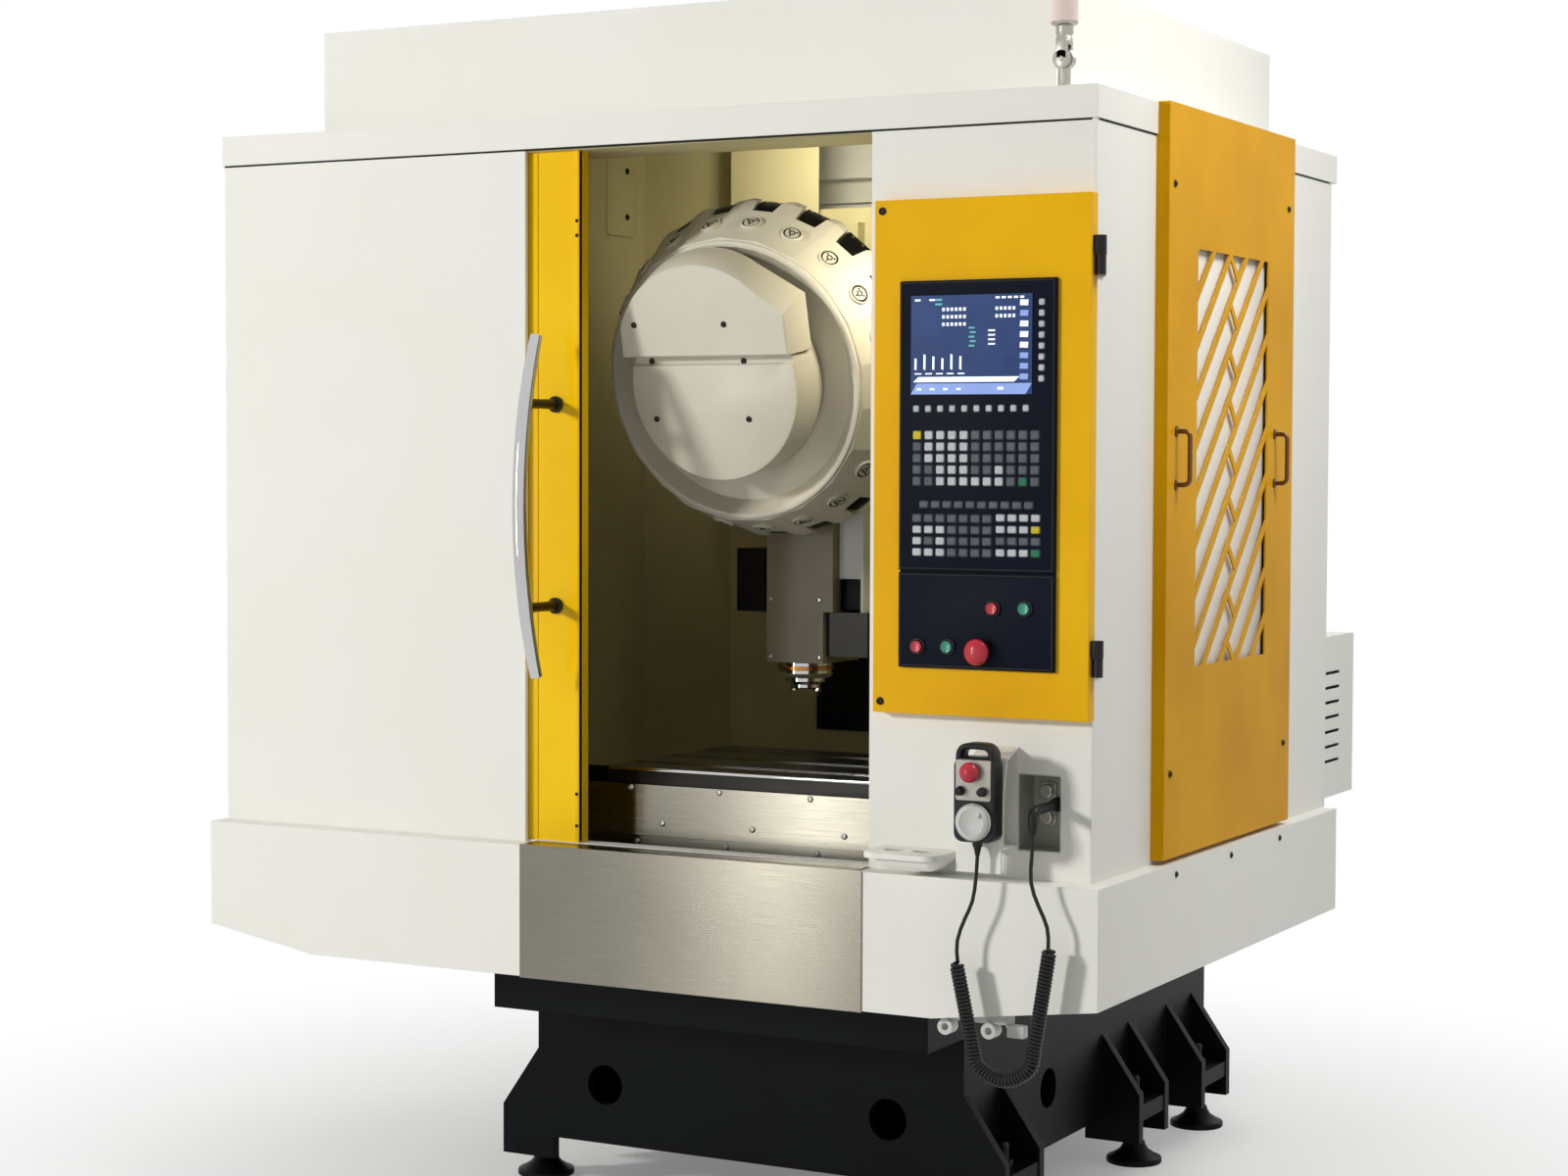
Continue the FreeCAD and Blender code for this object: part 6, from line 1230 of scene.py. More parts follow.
# ---------------------------------------------------------------- slides
@dataclass
class Slides:
    """The table, its saddle and the brushed aprons in front of them."""

    apron_y: float = -553.0
    sill_y: float = -543.0
    apron_screws: tuple[Pair, ...] = (
        (-260.0, 760.0), (-83.0, 760.0), (94.0, 760.0), (271.0, 759.0), (448.0, 760.0), (-197.0, 700.0),
        (-19.0, 700.0), (159.0, 700.0), (336.0, 700.0))
    sill_screws: tuple[Pair, ...] = ((-76.0, 665.0), (102.0, 665.0), (280.0, 665.0), (458.0, 665.0))
    table_x: Pair = (-134.0, 566.0)
    table_front: float = -545.0
    table_top: float = 794.0
    slots_y: tuple[float, ...] = (-460.0, -335.0, -210.0)
    slot_lip: float = 9.0
    band: Pair = (46.0, 5.0)

    def build(self, shop: Workshop) -> None:
        """Dresses the slides and adds the table's band and lips and the aprons' screws.

        Args:
            shop: The workshop.
        """
        shop.dress(Paint.GROUND, "table")
        shop.dress(Paint.LINER, "column")
        # The way cover takes the near-black oxide finish as painted shade, for the shade it stands in at the back; the
        # saddle takes the same finish.
        shop.dress(Paint.OXIDE, "saddle", "way_cover")
        shop.dress(Paint.BRUSHED, "saddle_apron")
        shop.dress(Paint.SCREW, "x_screw", "y_screw", "z_screw")
        x0, x1 = self.table_x
        y0, z1 = self.table_front, self.table_top
        foot, top = (z1 - drop for drop in self.band)
        band = block(x0 + 1, x1 - 1, y0 - 0.8, y0 + 3, foot, top, 0.3)
        shop.make("table_front_band", band, Paint.OXIDE, "work_table")
        lips = [block(x0 + 1, x1 - 1, y0 - 1.2, y0 + 3, top, z1 + 0.4, 0.8)]
        for y in self.slots_y:
            for edge in (y - self.slot_lip, y + self.slot_lip):
                lips.append(block(x0 + 1, x1 - 1, edge - 2, edge + 2, z1 - 2, z1 + 0.5, 0.3))
        shop.make("table_slot_lips", joined(lips), Paint.CHROME, "work_table")
        head = pan_head(5.5, 2.8)
        skin = joined([head.copied(flat_spots(spots)).placed(Facing.FRONT, (0, y, 0)) for spots, y in
                       ((self.apron_screws, self.apron_y), (self.sill_screws, self.sill_y))])
        shop.make("apron_screws", skin, Paint.ZINC, "saddle_slide")


# ---------------------------------------------------------------- head
@dataclass
class SpindleHead:
    """The enamelled head with its dark side covers, and the spindle's bright nose."""

    axis: Pair = (81.0, -209.0)
    front_y: float = -255.0
    screws: tuple[Pair, ...] = ((32.0, 1081.0), (132.0, 1081.0), (32.0, 976.0), (132.0, 977.0))
    nose_bottom: float = 944.0
    nose_radius: float = 50.0
    guards: tuple[tuple[float, ...], ...] = ((160, 206, -232, -228, 1119, 1300), (206, 212, -238, -170, 1023, 1300))
    side_box: tuple[float, ...] = (159.5, 206, -226, -120, 1062, 1118)
    drive_key: Pair = (24.0, 5.0)

    def build(self, shop: Workshop) -> None:
        """Dresses the head and makes its nose rings, spindle and screws.

        Args:
            shop: The workshop.
        """
        shop.dress(Paint.TAUPE, "head")
        shop.dress(Paint.OXIDE, "head_covers")
        x, y = self.axis
        head = pan_head(5.0, 2.6).copied(flat_spots(self.screws))
        shop.make("head_screws", head.placed(Facing.FRONT, (0, self.front_y, 0)), Paint.ZINC, "spindle_head")
        guards = [block(*sides, 0.8) for sides in self.guards]
        shop.make("head_guards", joined(guards), Paint.WHITE, "spindle_head")
        side = block(*self.side_box, 1.5)
        shop.make("head_side_box", side, Paint.BLACK, "spindle_head")
        r = self.nose_radius
        collar = turned([(r + 0.3, 2), (r + 0.3, 8), (r + 1.2, 9), (r + 1.2, 15), (r + 0.3, 16), (r + 0.3, 21.5),
                         (r - 8, 21.5), (r - 8, 2)], 56, ring_loop=True)
        shop.make("nose_collar", collar.placed(Facing.TOP, (x, y, self.nose_bottom)), Paint.CHROME, "spindle_head")
        band = turned([(r - 8, 9.5), (r + 1.6, 9.5), (r + 1.6, 14.5), (r - 8, 14.5)], 56, ring_loop=True)
        shop.make("nose_band", band.placed(Facing.TOP, (x, y, self.nose_bottom)), Paint.BRASS, "spindle_head")
        nose = turned([(16.0, 917), (24.5, 917), (26.5, 918), (28, 919.5), (28, 925), (31, 928), (36.5, 929.5),
                       (38, 931), (38, 937.5), (30, 937.8), (9, 937.8), (9, 964.5), (16.0, 917.2)], 56,
                      ring_loop=True)
        off, half = self.drive_key
        keys = [block(at - half, at + half, y - 6, y + 6, 912.0, 919.0, 0.6) for at in (x - off, x + off)]
        shop.make("spindle_nose", joined([nose.placed(Facing.TOP, (x, y, 0))] + keys), Paint.CHROME, "spindle_shaft",
                  ("spindle",))


# ---------------------------------------------------------------- turret
@dataclass
class Turret:
    """The tilted drum with its 21 pockets, its dished front and the cover over its hub."""

    centre: Place = (81.0, -433.0, 1478.5)
    pots: int = 21
    phase: float = 7.5
    edge_radius: float = 298.0
    front_radius: float = 247.0
    edge_at: float = -66.0
    front_at: float = 48.0
    pot_radius: float = 19.0
    cover_radius: float = 162.0
    cover_front: float = 123.0
    groove: Pair = (41.0, 57.0)
    gripper_at: float = -50.0
    crown_points: tuple[tuple[Pair, Pair], ...] = (
        ((-168.0, 111.0), (-0.2, 0.2)), ((-70.0, 206.0), (0.0, 0.8)), ((78.0, 184.0), (-0.3, 0.8)),
        ((153.0, 126.0), (0.2, 1.0)), ((157.0, 0.0), (0.2, 0.0)))
    hub_screws: tuple[Place, ...] = (
        (-139.0, 1564.0, 135.0), (38.0, 1562.0, 135.0), (-122.0, 1503.0, 114.0), (59.0, 1501.0, 114.0),
        (-118.0, 1403.0, 123.0), (64.0, 1402.0, 123.0))

    def turns(self) -> np.ndarray:
        """The pockets' angles from the top towards the right."""
        return np.radians(self.phase + 360.0 * np.arange(self.pots) / self.pots)

    def on_rim(self, skin: Skin, radius: float, at: float, lean: float) -> Skin:
        """A surface repeated at each pocket, its own z leaning out from the axis.

        Args:
            skin: The surface about its own z.
            radius: Distance from the axis.
            at: Place along the axis.
            lean: Angle of its z from straight outwards towards the front, in radians.

        Returns:
            All copies in the turret's own frame.
        """
        turn = self.turns()
        out = np.column_stack([np.sin(turn), np.cos(turn), np.zeros(self.pots)])
        axis = np.array([0.0, 0.0, 1.0])
        z = math.cos(lean) * out + math.sin(lean) * axis
        x = np.column_stack([np.cos(turn), -np.sin(turn), np.zeros(self.pots)])
        y = np.cross(z, x)
        base = radius * out + at * axis
        frames = np.stack([x, y, z], axis=1)
        points = base[:, None] + np.einsum("pk,nkc->npc", skin.points, frames)
        step = len(skin.points)
        faces = [tuple(i + step * k for i in face) for k in range(self.pots) for face in skin.faces]
        return Skin(points.reshape(-1, 3), faces)

    def build(self, shop: Workshop) -> None:
        """Dresses the castings and makes the pockets, grippers, rim, covers and screws.

        Args:
            shop: The workshop.
        """
        shop.dress(Paint.CREAM, "turret_drum", "turret_carrier")
        slope = math.atan2(self.edge_radius - self.front_radius, self.front_at - self.edge_at)
        share = self.front_at / (self.front_at - self.edge_at)
        radius = self.front_radius + share * (self.edge_radius - self.front_radius)
        r = self.pot_radius
        cap = turned([(r, -2), (r, 3.4), (r - 1.4, 4.8), (r - 3.2, 4.8), (r - 3.6, 2.6), (r - 6.4, 2.6), (r - 6.8, 4.2),
                      (0.0, 4.2)], 32)
        self.add(shop, "pocket_caps", self.on_rim(cap, radius, 0.0, slope), Paint.CREAM, "tool_turret",
                 "cream_paint", ("turret_pots",))
        groove = turned([(r - 3.4, 2.4), (r - 3.4, 3.3), (r - 6.6, 3.3), (r - 6.6, 2.4)], 32, ring_loop=True)
        socket = turned([(5.4, 3.4), (5.4, 5.0), (3.4, 5.0), (3.4, 3.4)], 24, ring_loop=True, flats=6)
        lug = turned([(1.7, 3.6), (1.7, 5.2), (0.0, 5.2)], 10)
        lugs = lug.copied(round_spots(8.6, np.array([0.6, 2.7, 4.8])))
        marks = joined([groove, socket, lugs])
        self.add(shop, "pocket_locks", self.on_rim(marks, radius, 0.0, slope), Paint.OXIDE, "tool_turret", "iron")
        stations = np.array([(-11.5, 19.0, -15.5), (0.0, 21.0, -9.0), (16.0, 24.0, -3.0), (39.5, 28.0, -3.0)])
        rings = [[(-w, y, -25.0), (w, y, -25.0), (w, y, z - 4.0), (w - 5.0, y, z), (5.0 - w, y, z), (-w, y, z - 4.0)]
                 for y, w, z in stations]
        jaw = lofted(np.array(rings))
        jaws = self.on_rim(jaw, self.edge_radius, self.gripper_at, 0.0)
        self.add(shop, "grippers", jaws, Paint.OXIDE, "tool_turret", "iron")
        dome = turned([(3.2, -4.0), (3.2, -2.4), (2.4, -1.6), (0.0, -1.4)], 12)
        pair = dome.copied(flat_spots(((-12.0, 30.0), (12.0, 30.0))))
        heads = self.on_rim(pair, self.edge_radius, self.gripper_at, 0.0)
        self.add(shop, "gripper_screws", heads, Paint.ZINC, "tool_turret", "iron")
        rim = turned([(244.6, 20), (244.6, 51), (243.6, 53.4), (241.2, 54.4), (237.4, 54.4), (235.2, 53.6),
                      (214.6, 27.6), (211.5, 26.5), (96, 26.5), (96, 24.0)], 96, ring_loop=True)
        self.add(shop, "drum_dish", rim, Paint.CREAM, "tool_turret", "cream_paint")
        self.build_covers(shop)

    def add(self, shop: Workshop, name: str, skin: Skin, paint: Paint, body: str, slot: str,
            replaces: tuple[str, ...] = ()) -> None:
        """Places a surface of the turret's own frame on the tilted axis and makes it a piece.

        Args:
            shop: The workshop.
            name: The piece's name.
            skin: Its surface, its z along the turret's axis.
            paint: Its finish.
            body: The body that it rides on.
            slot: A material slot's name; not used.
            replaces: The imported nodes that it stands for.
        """
        shop.make(name, skin.placed(Facing.TURRET, self.centre), paint, body, replaces, crease=32)

    def segment(self, radius: float, top: float, steps: int = 72) -> np.ndarray:
        """A disc's outline cut off above a height: an arc, then a straight chord.

        Args:
            radius: The disc's radius.
            top: The height of the chord.
            steps: Points on the arc.

        Returns:
            An (n, 2) outline, counter-clockwise.
        """
        start = math.asin(min(1.0, top / radius))
        turn = np.linspace(math.pi - start, 2 * math.pi + start, steps)
        return radius * np.column_stack([np.cos(turn), np.sin(turn)])

    def crown(self, spread: float) -> np.ndarray:
        """The upper cover's outline: a bow on the left, two flats on the right and a straight foot.

        The bow is the circle through the first three points. Each point lies at its place + spread
        times its growth.

        Args:
            spread: How far the outline has grown from the cover's front to its foot.

        Returns:
            An (n, 2) outline, counter-clockwise.
        """
        a, b, c, corner, foot = (np.array(at) + spread * np.array(growth) for at, growth in self.crown_points)
        base = self.groove[1]
        ab, ac = b - a, c - a
        square = 2 * (ab[0] * ac[1] - ab[1] * ac[0])
        middle = a + np.array([ac[1] * (ab @ ab) - ab[1] * (ac @ ac), ab[0] * (ac @ ac) - ac[0] * (ab @ ab)]) / square
        first, last = (math.atan2(*(p - middle)[::-1]) for p in (a, c))
        turn = np.linspace(first, last, 30)
        radius = np.linalg.norm(a - middle)
        bow = middle + radius * np.column_stack([np.cos(turn), np.sin(turn)])
        return np.concatenate([[[a[0], base]], bow, [corner], [[foot[0], base]]])[::-1]

    def build_covers(self, shop: Workshop) -> None:
        """The lower cover is a disc with a groove under the upper one, which is bevelled to its front.

        Args:
            shop: The workshop.
        """
        low, high = self.groove
        r, front = self.cover_radius, self.cover_front
        skirt = turned([(r, 30), (r, 57.5), (r - 3, 57.5), (r - 3, 30)], 96, ring_loop=True)
        face = raised(self.segment(r, low), [(0, 57), (0, front - 5), (1.4, front - 1.5), (5, front)])
        step = raised(self.segment(r, high), [(0, 57), (0, front - 9)])
        self.add(shop, "hub_cover_front", joined([skirt, face, step]), Paint.CREAM, "frame", "cream_paint",
                 ("hub_cover_lower",))
        base, top = self.crown(26.0), self.crown(0.0)
        rings = [level(base, 58.0), level(base, 82.0), level(top, 133.0), level(inset(top, 2.0), 135.0)]
        self.add(shop, "hub_cover_hood", lofted(np.array(rings)), Paint.CREAM, "frame", "cream_paint",
                 ("hub_cover_upper",))
        head = pan_head(5.4, 2.6)
        _, up, out = Facing.TURRET.axes
        places = [[across, (z - self.centre[2] - at * out[2]) / up[2], at] for across, z, at in self.hub_screws]
        self.add(shop, "hub_screws", head.copied(np.array(places)), Paint.OXIDE, "frame", "iron")


# ---------------------------------------------------------------- control panel
class KeyColour(Enum):
    """The colours of keys: the letter of each in a field's rows, and its finish."""

    WHITE = ("W", Paint.KEY_WHITE)
    GREY = ("G", Paint.KEY_GREY)
    YELLOW = ("Y", Paint.KEY_YELLOW)
    GREEN = ("E", Paint.KEY_GREEN)


@dataclass(frozen=True)
class KeyField:
    """A field of keys: the middles of its corner keys, a key's size and the colour of each key."""

    x: Pair
    z: Pair
    size: Pair
    rows: tuple[str, ...]

    def places(self, letter: str) -> np.ndarray:
        """The middles of the keys of one colour.

        Args:
            letter: The colour's letter.

        Returns:
            A (k, 3) array of places on the unit's face.
        """
        count, wide = len(self.rows), len(self.rows[0])
        x = np.linspace(*self.x, wide) if wide > 1 else np.array([self.x[0]])
        z = np.linspace(self.z[1], self.z[0], count) if count > 1 else np.array([self.z[0]])
        found = [(x[i], z[j], 0.0) for j, row in enumerate(self.rows) for i, c in enumerate(row) if c == letter]
        return np.array(found, float).reshape(-1, 3)


@dataclass
class Console:
    """The swinging control panel: its yellow door, the dark unit, keys, buttons and display."""

    x: Pair = (508.0, 778.0)
    z: Pair = (1002.0, 1618.0)
    front: float = -705.0
    door_front: float = -698.0
    depth: float = 96.0
    seam: float = 1156.0
    screen: tuple[float, float, float, float] = (529.0, 738.0, 1437.0, 1594.0)
    lock_screws: tuple[Pair, ...] = ((473.0, 1731.0), (473.0, 945.0))
    buttons: tuple[tuple[str, float, float, Paint, str], ...] = (
        ("red_upper", 674.0, 1100.0, Paint.RED, "red_plastic"),
        ("green_upper", 729.0, 1101.0, Paint.GREEN, "green_plastic"),
        ("red_lower", 543.0, 1036.0, Paint.RED, "red_plastic"),
        ("green_lower", 596.0, 1037.0, Paint.GREEN, "green_plastic"))
    stop: Pair = (652.0, 1031.0)
    hinge_at: Pair = (842.0, -682.0)
    hinges: tuple[Pair, ...] = ((1024.9, 1053.2), (1651.9, 1682.2))
    barrel: float = 9.3
    leaf: tuple[float, float, float, float] = (832.6, 843.0, -692.0, -685.6)
    fields: tuple[KeyField, ...] = (
        KeyField((538.5, 728.0), (1415.0, 1415.0), (10.0, 10.0), ("WWWWWWWWWW",)),
        KeyField((754.0, 754.0), (1461.0, 1580.0), (9.5, 9.5), ("W",) * 8),
        KeyField((540.5, 744.0), (1300.0, 1373.0), (14.0, 13.0), (
            "YWWWWGGGGGG", "GWWWWGGGGGG", "GWWWWGGGGGG", "GGWWWGGWGGG", "GGWWWWWWGEG")),
        KeyField((553.0, 734.0), (1263.0, 1263.0), (14.5, 10.0), ("GGGGGGGGGG",)),
        KeyField((541.0, 663.0), (1187.0, 1241.0), (15.0, 11.5), ("GGGGGGG", "WWWGGGG", "WGWGGGG", "WWWGGGG")),
        KeyField((686.0, 746.0), (1188.0, 1243.0), (15.0, 11.0), ("WWWW", "WWWY", "GGGG", "WWWE")),
    )

    def build(self, shop: Workshop) -> None:
        """Makes the unit and everything on its face.

        Args:
            shop: The workshop.
        """
        shop.dress(Paint.TEXTURED_YELLOW, "control_door")
        shop.dress(Paint.NYLON, "panel_hinges")
        leaves = []
        for low, high in self.hinges:
            barrel = turned([(self.barrel, 0), (self.barrel, high - low), (0, high - low)], 32)
            leaves.append(barrel.placed(Facing.TOP, (*self.hinge_at, low)))
            leaves.append(block(*self.leaf, low, high, 0.8))
        shop.make("console_hinge_leaves", joined(leaves), Paint.NYLON, "console")
        (x0, x1), (z0, z1) = self.x, self.z
        shell = [
            block(x0, x1, self.front, self.front + 11, self.seam + 1.2, z1, 1.6),
            block(x0, x1, self.front, self.front + 11, z0, self.seam - 1.2, 1.6),
            block(x0 + 2, x1 - 2, self.front + 3, self.front + 10, z0 + 2, z1 - 2, 1.0),
            block(x0 - 8, x1 + 8, self.front + 9.2, self.front + self.depth, z0 - 8, z1 + 8, 1.5),
        ]
        shop.make("control_unit_case", joined(shell), Paint.NAVY, "console", ("cnc_unit",))
        self.build_lines(shop)
        self.build_keys(shop)
        self.build_buttons(shop)
        self.build_display(shop)
        locks = pan_head(6.5, 3.5).copied(flat_spots(self.lock_screws))
        shop.make("console_locks", locks.placed(Facing.FRONT, (0, self.door_front, 0)), Paint.OXIDE, "console")

    def build_lines(self, shop: Workshop) -> None:
        """The raised dark border round each half of the unit.

        Args:
            shop: The workshop.
        """
        (x0, x1), (z0, z1) = self.x, self.z
        rim = []
        for low, high in ((z0, self.seam - 1.2), (self.seam + 1.2, z1)):
            outer = rounded_outline(x1 - x0 - 5, high - low - 5, 4.0, 5)
            rings = [level(inset(outer, d), h) for d, h in
                     ((0, -0.5), (0, 0.6), (0.5, 0.9), (1.7, 0.9), (2.2, 0.6), (2.2, -0.5))]
            ring = lofted(np.array(rings), ring_loop=True)
            rim.append(ring.placed(Facing.FRONT, ((x0 + x1) / 2, self.front, (low + high) / 2)))
        shop.make("unit_border", joined(rim), Paint.NYLON, "console")

    def build_keys(self, shop: Workshop) -> None:
        """Each key is a rounded cap whose rings narrow to its top, on a dark surround.

        Args:
            shop: The workshop.
        """
        for colour in KeyColour:
            letter, paint = colour.value
            skins = []
            for keys in self.fields:
                places = keys.places(letter)
                if len(places):
                    cap = raised(rounded_outline(keys.size[0], keys.size[1], 1.6, 2),
                                 [(0.0, 0.0), (0.1, 1.5), (0.9, 2.4)])
                    skins.append(cap.copied(places).placed(Facing.FRONT, (0, self.front, 0)))
            shop.make("keys_" + colour.name.lower(), joined(skins), paint, "console")
        skins = []
        for keys in self.fields:
            places = np.concatenate([keys.places(colour.value[0]) for colour in KeyColour])
            frame_plate = raised(rounded_outline(keys.size[0] + 2.6, keys.size[1] + 2.6, 2.0, 2),
                                 [(0.0, -0.4), (0.0, 0.35), (0.3, 0.55)])
            skins.append(frame_plate.copied(places).placed(Facing.FRONT, (0, self.front, 0)))
        shop.make("key_surrounds", joined(skins), Paint.KEY_DARK, "console")

    def build_buttons(self, shop: Workshop) -> None:
        """Push buttons with a dished face in round bezels, and a domed stop button.

        Args:
            shop: The workshop.
        """
        bezel = turned([(13.5, 0), (13.5, 2.6), (12.4, 4), (10.6, 4), (9.8, 3.2), (9.8, 0)], 36, ring_loop=True)
        cap = turned([(9.4, 4.2), (9.4, 7.2), (8.6, 8), (6.5, 7.7), (0, 7.3)], 32)
        rings = []
        for name, x, z, paint, slot in self.buttons:
            rings.append(bezel.placed(Facing.FRONT, (x, self.front, z)))
            shop.make("push_" + name, cap.placed(Facing.FRONT, (x, self.front, z)), paint, name,
                      ("button_" + name,))
        x, z = self.stop
        rings.append(turned([(15.5, 0), (15.5, 2.6), (14, 4), (11, 4), (9.8, 3.2), (9.8, 0)], 36,
                            ring_loop=True).placed(Facing.FRONT, (x, self.front, z)))
        shop.make("button_bezels", joined(rings), Paint.NYLON, "console")
        dome = turned([(9.3, 4.2), (9.3, 8.6), (16.8, 8.6), (19.5, 10), (21, 13.2), (21, 16), (19.5, 19), (15.5, 22.2),
                       (9.0, 24.0), (0, 24.4)], 48)
        shop.make("panel_stop_cap", dome.placed(Facing.FRONT, (x, self.front, z)), Paint.RED, "panel_stop",
                  ("panel_estop",))

    def build_display(self, shop: Workshop) -> None:
        """A lit field of plain bars, columns and dots that stand for no real words or figures.

        Args:
            shop: The workshop.
        """
        shop.dress(Paint.DISPLAY, "display_glass")
        x0, x1, z0, z1 = self.screen
        mark = raised(rounded_outline(1.0, 1.0, 0.05, 1), [(0.0, 0.0), (0.0, 0.12)])

        def bars(rows: list[tuple[float, float, float, float]]) -> Skin:
            """Flat marks.

            Args:
                rows: The left, foot, width and height of each, in parts of the screen.

            Returns:
                One surface of them all.
            """
            skins = []
            for left, foot, wide, high in rows:
                skin = Skin(mark.points * [wide * (x1 - x0), high * (z1 - z0), 1.0], mark.faces)
                skins.append(skin.placed(Facing.FRONT, (x0 + (left + wide / 2) * (x1 - x0), self.front - 1.5,
                                                        z0 + (foot + high / 2) * (z1 - z0))))
            return joined(skins)

        light = [(0.02, 0.125, 0.88, 0.055)]
        light += [(0.03 + 0.12 * i, 0.945, 0.05, 0.02) for i in range(2)]
        light += [(0.70 + 0.05 * i, 0.955, 0.035, 0.022) for i in range(5)]
        light += [(0.26 + 0.035 * i, 0.84 - 0.075 * j, 0.022, 0.035) for j in range(3) for i in range(6)]
        light += [(0.70 + 0.035 * i, 0.84 - 0.075 * j, 0.022, 0.035) for j in range(2) for i in range(5)]
        light += [(0.03 + 0.075 * i, 0.25, 0.018, 0.12 + 0.02 * ((i * 5) % 3)) for i in range(6)]
        light += [(0.64, 0.63 - 0.045 * j, 0.06, 0.018) for j in range(4)]
        light += [(0.03 + 0.09 * i, 0.205, 0.06, 0.014) for i in range(5)]
        light += [(0.90, 0.88 - 0.105 * j, 0.07, 0.06) for j in (0, 2, 3, 4)]
        soft = [(0.0, 0.0, 1.0, 0.115)] + [(0.90, 0.88 - 0.105 * j, 0.07, 0.06) for j in (1, 5, 6, 7)]
        teal = [(0.20, 0.945, 0.06, 0.02), (0.20, 0.90, 0.06, 0.02)]
        teal += [(0.48 + 0.01 * (j % 2), 0.66 - 0.045 * j, 0.05, 0.018) for j in range(5)]
        small = [(0.05 + 0.11 * i, 0.045, 0.04, 0.022) for i in range(4)] + [(0.72, 0.045, 0.05, 0.03)]
        shop.make("display_light_marks", bars(light), Paint.DISPLAY_LIGHT, "console")
        shop.make("display_soft_marks", bars(soft), Paint.DISPLAY_SOFT, "console")
        shop.make("display_teal_marks", bars(teal), Paint.DISPLAY_TEAL, "console")
        shift = bars(small)
        shift.points[:, 1] -= 0.15
        shop.make("display_small_marks", shift, Paint.DISPLAY_LIGHT, "console")


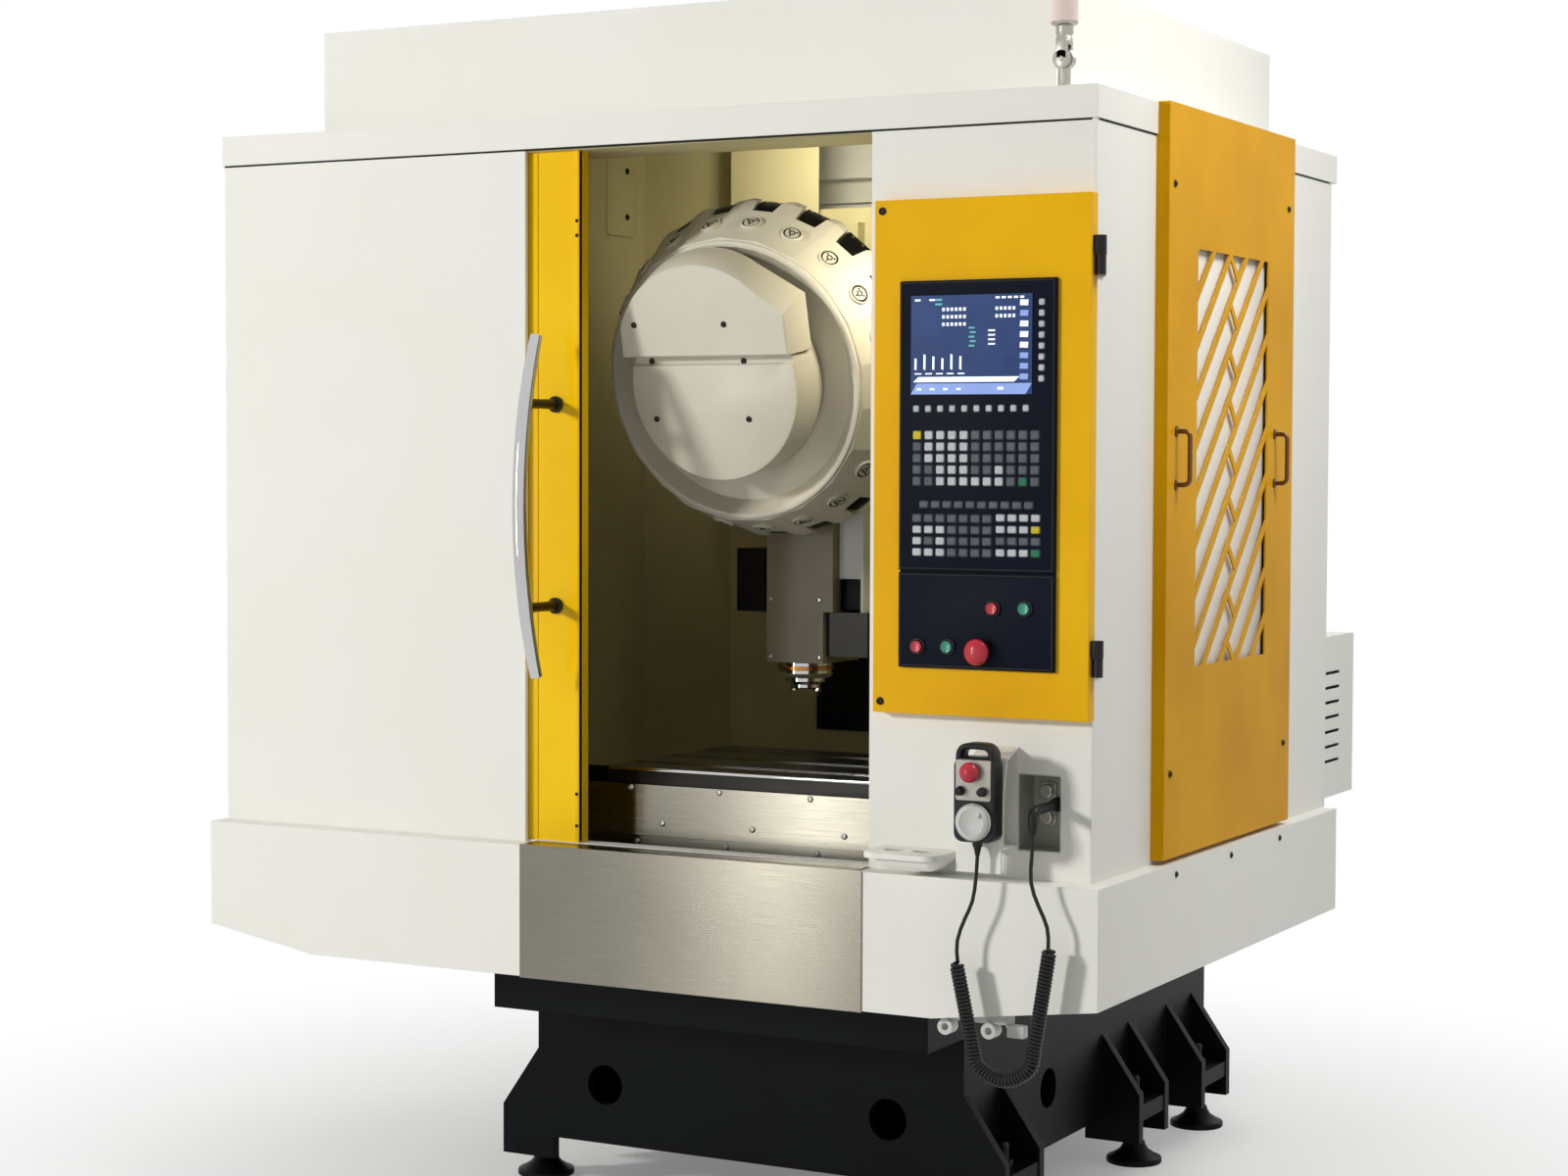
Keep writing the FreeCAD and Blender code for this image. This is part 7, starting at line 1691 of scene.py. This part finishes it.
# ---------------------------------------------------------------- pendant
@dataclass
class Pendant:
    """The hand pendant: a moulded case with a carrying loop, a face plate, knobs and a dial."""

    x: Pair = (636.0, 706.0)
    z: Pair = (736.0, 892.0)
    front: float = -771.0
    depth: float = 38.0
    stop: Pair = (668.0, 847.0)
    knobs: tuple[tuple[str, float, str], ...] = (("axis", 650.0, "axis_knob"), ("scale", 688.0, "scale_knob"))
    knob_z: float = 817.0
    dial: Pair = (673.0, 769.0)
    dial_radius: float = 29.5
    case_height: float = 134.0
    loop_rise: float = 25.0
    plate: Pair = (60.0, 64.0)
    plate_z: float = 834.0

    def build(self, shop: Workshop) -> None:
        """Makes the case and everything on it.

        Args:
            shop: The workshop.
        """
        (x0, x1), (z0, z1) = self.x, self.z
        middle = (x0 + x1) / 2
        body = rounded_outline(x1 - x0, self.case_height, 15.0, 8)
        levels = [(2.5, 0.0), (0.6, 1.2), (0.0, 3.0), (0.0, self.depth - 6.5), (0.6, self.depth - 4.2),
                  (2.2, self.depth - 2.2)]
        case = raised(body, levels).placed(Facing.FRONT, (middle, self.front + self.depth, z0 + self.case_height / 2))
        sweep = np.linspace(0, math.pi, 25)
        half, rise = (x1 - x0) / 2 - 7.0, self.loop_rise
        loop_x = middle + half * np.sign(np.cos(sweep)) * np.abs(np.cos(sweep)) ** 0.55
        loop_z = z1 - 5.0 - rise + rise * np.abs(np.sin(sweep)) ** 0.55
        path = np.column_stack([loop_x, np.full(25, self.front + self.depth / 2 + 1), loop_z])
        path = np.concatenate([[path[0] - [0, 0, 14]], path, [path[-1] - [0, 0, 14]]])
        strip = rounded_outline(self.depth - 6.0, 10.0, 4.0, 4)
        loop = swept(path, (0.0, 1.0, 0.0), np.repeat(strip[None], len(path), axis=0))
        shop.make("pendant_case", joined([case, loop]), Paint.NYLON, "frame", ("pendant_body",))
        plate = raised(rounded_outline(*self.plate, 4.0, 5), [(0, 0), (0, 2.2), (0.6, 2.8)])
        shop.make("pendant_face_plate", plate.placed(Facing.FRONT, (middle, self.front + 2.8, self.plate_z)),
                  Paint.PLATE, "frame")
        self.build_controls(shop)

    def build_controls(self, shop: Workshop) -> None:
        """The stop button, two pointer knobs and the click dial with its finger grip.

        Args:
            shop: The workshop.
        """
        x, z = self.stop
        dome = turned([(0, 7.2), (10.4, 7.2), (10.4, 3.5), (12.5, 3.5), (15, 4.8), (16, 8), (15.4, 11.5), (12, 15.5),
                       (7, 18.5), (0, 19.6)], 40)
        collar = turned([(9.4, 0), (9.4, 3.3), (8.9, 3.8), (0, 3.8)], 40)
        shop.make("pendant_stop_collar", collar.placed(Facing.FRONT, (x, self.front, z)), Paint.NYLON, "frame")
        shop.make("pendant_stop_cap", dome.placed(Facing.FRONT, (x, self.front, z)), Paint.RED, "pendant_stop",
                  ("pendant_estop",))
        for name, x, body in self.knobs:
            lobes = turned([(7.6, 0.3), (7.6, 3.0), (6.6, 3.8), (6.2, 11.2), (5.4, 12.2), (0, 12.2)], 36)
            pointer = block(x - 1.1, x + 1.1, self.front - 12.8, self.front - 3, self.knob_z - 6.8,
                            self.knob_z + 7.2, 0.5)
            skin = joined([lobes.placed(Facing.FRONT, (x, self.front, self.knob_z)), pointer])
            shop.make("pendant_knob_" + name, skin, Paint.NYLON, body, ("pendant_" + body,))
        x, z = self.dial
        r = self.dial_radius
        seat = turned([(r + 2.2, -1), (r + 2.2, 1.2), (r + 0.8, 2.0), (r - 1.5, 2.0), (r - 1.5, -1)], 56,
                      ring_loop=True)
        shop.make("pendant_dial_seat", seat.placed(Facing.FRONT, (x, self.front + 2.0, z)), Paint.NYLON, "frame")
        wheel = turned([(r - 2.2, 0.4), (r, 1.0), (r, 5.4), (r - 1, 7.2), (r - 3, 8.6), (r - 7, 10.4), (r - 8.5, 11),
                        (r - 10, 10.4), (r - 12, 9.0), (0, 8.8)], 72)
        grip = turned([(4.0, 8.0), (4.0, 13.2), (3.2, 14.2), (0, 14.4)], 20).copied(np.array([[12.0, 12.0, 0.0]]))
        skin = joined([wheel, grip]).placed(Facing.FRONT, (x, self.front, z))
        shop.make("pendant_click_dial", skin, Paint.WHITE_ABS, "hand_dial", ("pendant_dial",))
        ticks = raised(rounded_outline(0.9, 2.6, 0.2, 1), [(0, 0), (0, 0.25)])
        rotated = []
        for a in circle(50):
            c, s = math.cos(a), math.sin(a)
            spin = np.array([[c, s, 0], [-s, c, 0], [0, 0, 1]])
            rotated.append(Skin((ticks.points + [0, r - 1.7, 7.9]) @ spin, ticks.faces))
        shop.make("pendant_dial_ticks", joined(rotated).placed(Facing.FRONT, (x, self.front, z)), Paint.NYLON,
                  "hand_dial")


@dataclass
class Recess:
    """The connector recess: two bright round sockets with their flanges and screws."""

    back: float = -612.0
    sockets: tuple[Pair, ...] = ((732.0, 806.0), (732.0, 764.0))
    radius: float = 11.0

    def build(self, shop: Workshop) -> None:
        """Makes the sockets: a square flange, a threaded ring and a dark face with pins.

        Args:
            shop: The workshop.
        """
        r = self.radius
        shells, faces, flanges = [], [], []
        ring = turned([(r, 0), (r, 14), (r - 1.0, 14.6), (r - 2.2, 14.6), (r - 2.2, 4), (r - 2.2, 0)], 36,
                      ring_loop=True)
        pin = turned([(1.0, 4), (1.0, 11), (0, 11.6)], 8)
        pins = pin.copied(round_spots(4.4, circle(6)))
        floor = turned([(r - 2, 0), (r - 2, 5), (0, 5)], 30)
        flange = raised(rounded_outline(29, 29, 4, 4), [(0, 0), (0, 2.0), (0.5, 2.5)])
        head = pan_head(2.0, 1.2).copied(np.array([[sx, sz, 2.5] for sx in (-11, 11) for sz in (-11, 11)]))
        for x, z in self.sockets:
            at = (x, self.back, z)
            shells += [ring.placed(Facing.FRONT, at), pins.placed(Facing.FRONT, at)]
            faces.append(floor.placed(Facing.FRONT, at))
            flanges += [flange.placed(Facing.FRONT, at), head.placed(Facing.FRONT, at)]
        shop.make("socket_rings", joined(shells + flanges), Paint.ZINC, "frame")
        shop.make("socket_faces", joined(faces), Paint.NYLON, "frame")


@dataclass
class SignalLamp:
    """The folding signal lamp on the roof: a stalk with a hinge eye, and the lit tube."""

    x: float = 744.0
    y: float = -599.0
    roof_z: float = 1917.0
    pivot_z: float = 1968.0
    radius: float = 22.0
    tube: Pair = (2026.0, 2216.0)

    def build(self, shop: Workshop) -> None:
        """Makes the stalk, the eye's pin and the tube.

        Args:
            shop: The workshop.
        """
        foot = turned([(20, 0), (20, 3), (18.5, 4), (12, 4.5), (10.5, 8), (10, 12), (10, 37), (8, 38)], 36)
        shop.make("lamp_foot", foot.placed(Facing.TOP, (self.x, self.y, self.roof_z)), Paint.ZINC, "frame")
        shop.dress(Paint.ZINC, "lamp_bracket")
        pivot = self.pivot_z
        cheek = turned([(15, 6.1), (15, 13), (13.5, 14), (0, 14)], 36)
        cheeks = [cheek.placed(facing, (self.x, self.y, pivot)) for facing in (Facing.FRONT, Facing.BACK)]
        arms = [block(self.x - 9, self.x + 9, self.y + a, self.y + b, pivot, pivot + 30, 1.2)
                for a, b in ((-14, -6.1), (6.1, 14))]
        cap = turned([(4, 13.5), (4, 15), (2.5, 15.8), (0, 15.8)], 18)
        pins = [cap.placed(facing, (self.x, self.y, pivot)) for facing in (Facing.FRONT, Facing.BACK)]
        neck = turned([(12, 22), (14, 24), (14, 34), (12.5, 36), (12.5, 38), (14, 40), (14, 52), (21, 55), (22, 58),
                       (0, 58)], 40)
        shop.make("lamp_hinge", joined(cheeks + arms + pins + [neck.placed(Facing.TOP, (self.x, self.y, pivot))]),
                  Paint.ZINC, "signal_lamp", ("lamp_head",))
        low, high = (z - pivot for z in self.tube)
        r = self.radius
        rim_gap_shades = [row for at in (low + 60, low + 122) for row in ((r, at), (r - 0.8, at + 0.6), (r, at + 1.2))]
        tube = turned([(r - 1, low), (r, low + 1)] + rim_gap_shades + [(r, high - 4), (r - 3, high), (0, high)])
        shop.make("lamp_tube", tube.placed(Facing.TOP, (self.x, self.y, pivot)), Paint.TUBE, "signal_lamp")


def main() -> None:
    """Builds the studio, the cord and then each sub-assembly."""
    logging.basicConfig(level=logging.INFO, format="%(message)s")
    shop = Workshop(frame["nodes"])
    Studio().build()
    PendantCord().build(shop)
    for part in (Base(), Cabinet(), Tray(), CoolantClips(), GrillePanel(), SlidingDoor(), Slides(), SpindleHead(),
                 Turret(), Console(), Pendant(), Recess(), SignalLamp()):
        part.build(shop)
        LOG.info("finished %s", type(part).__name__)


if __name__ == "__main__":
    main()
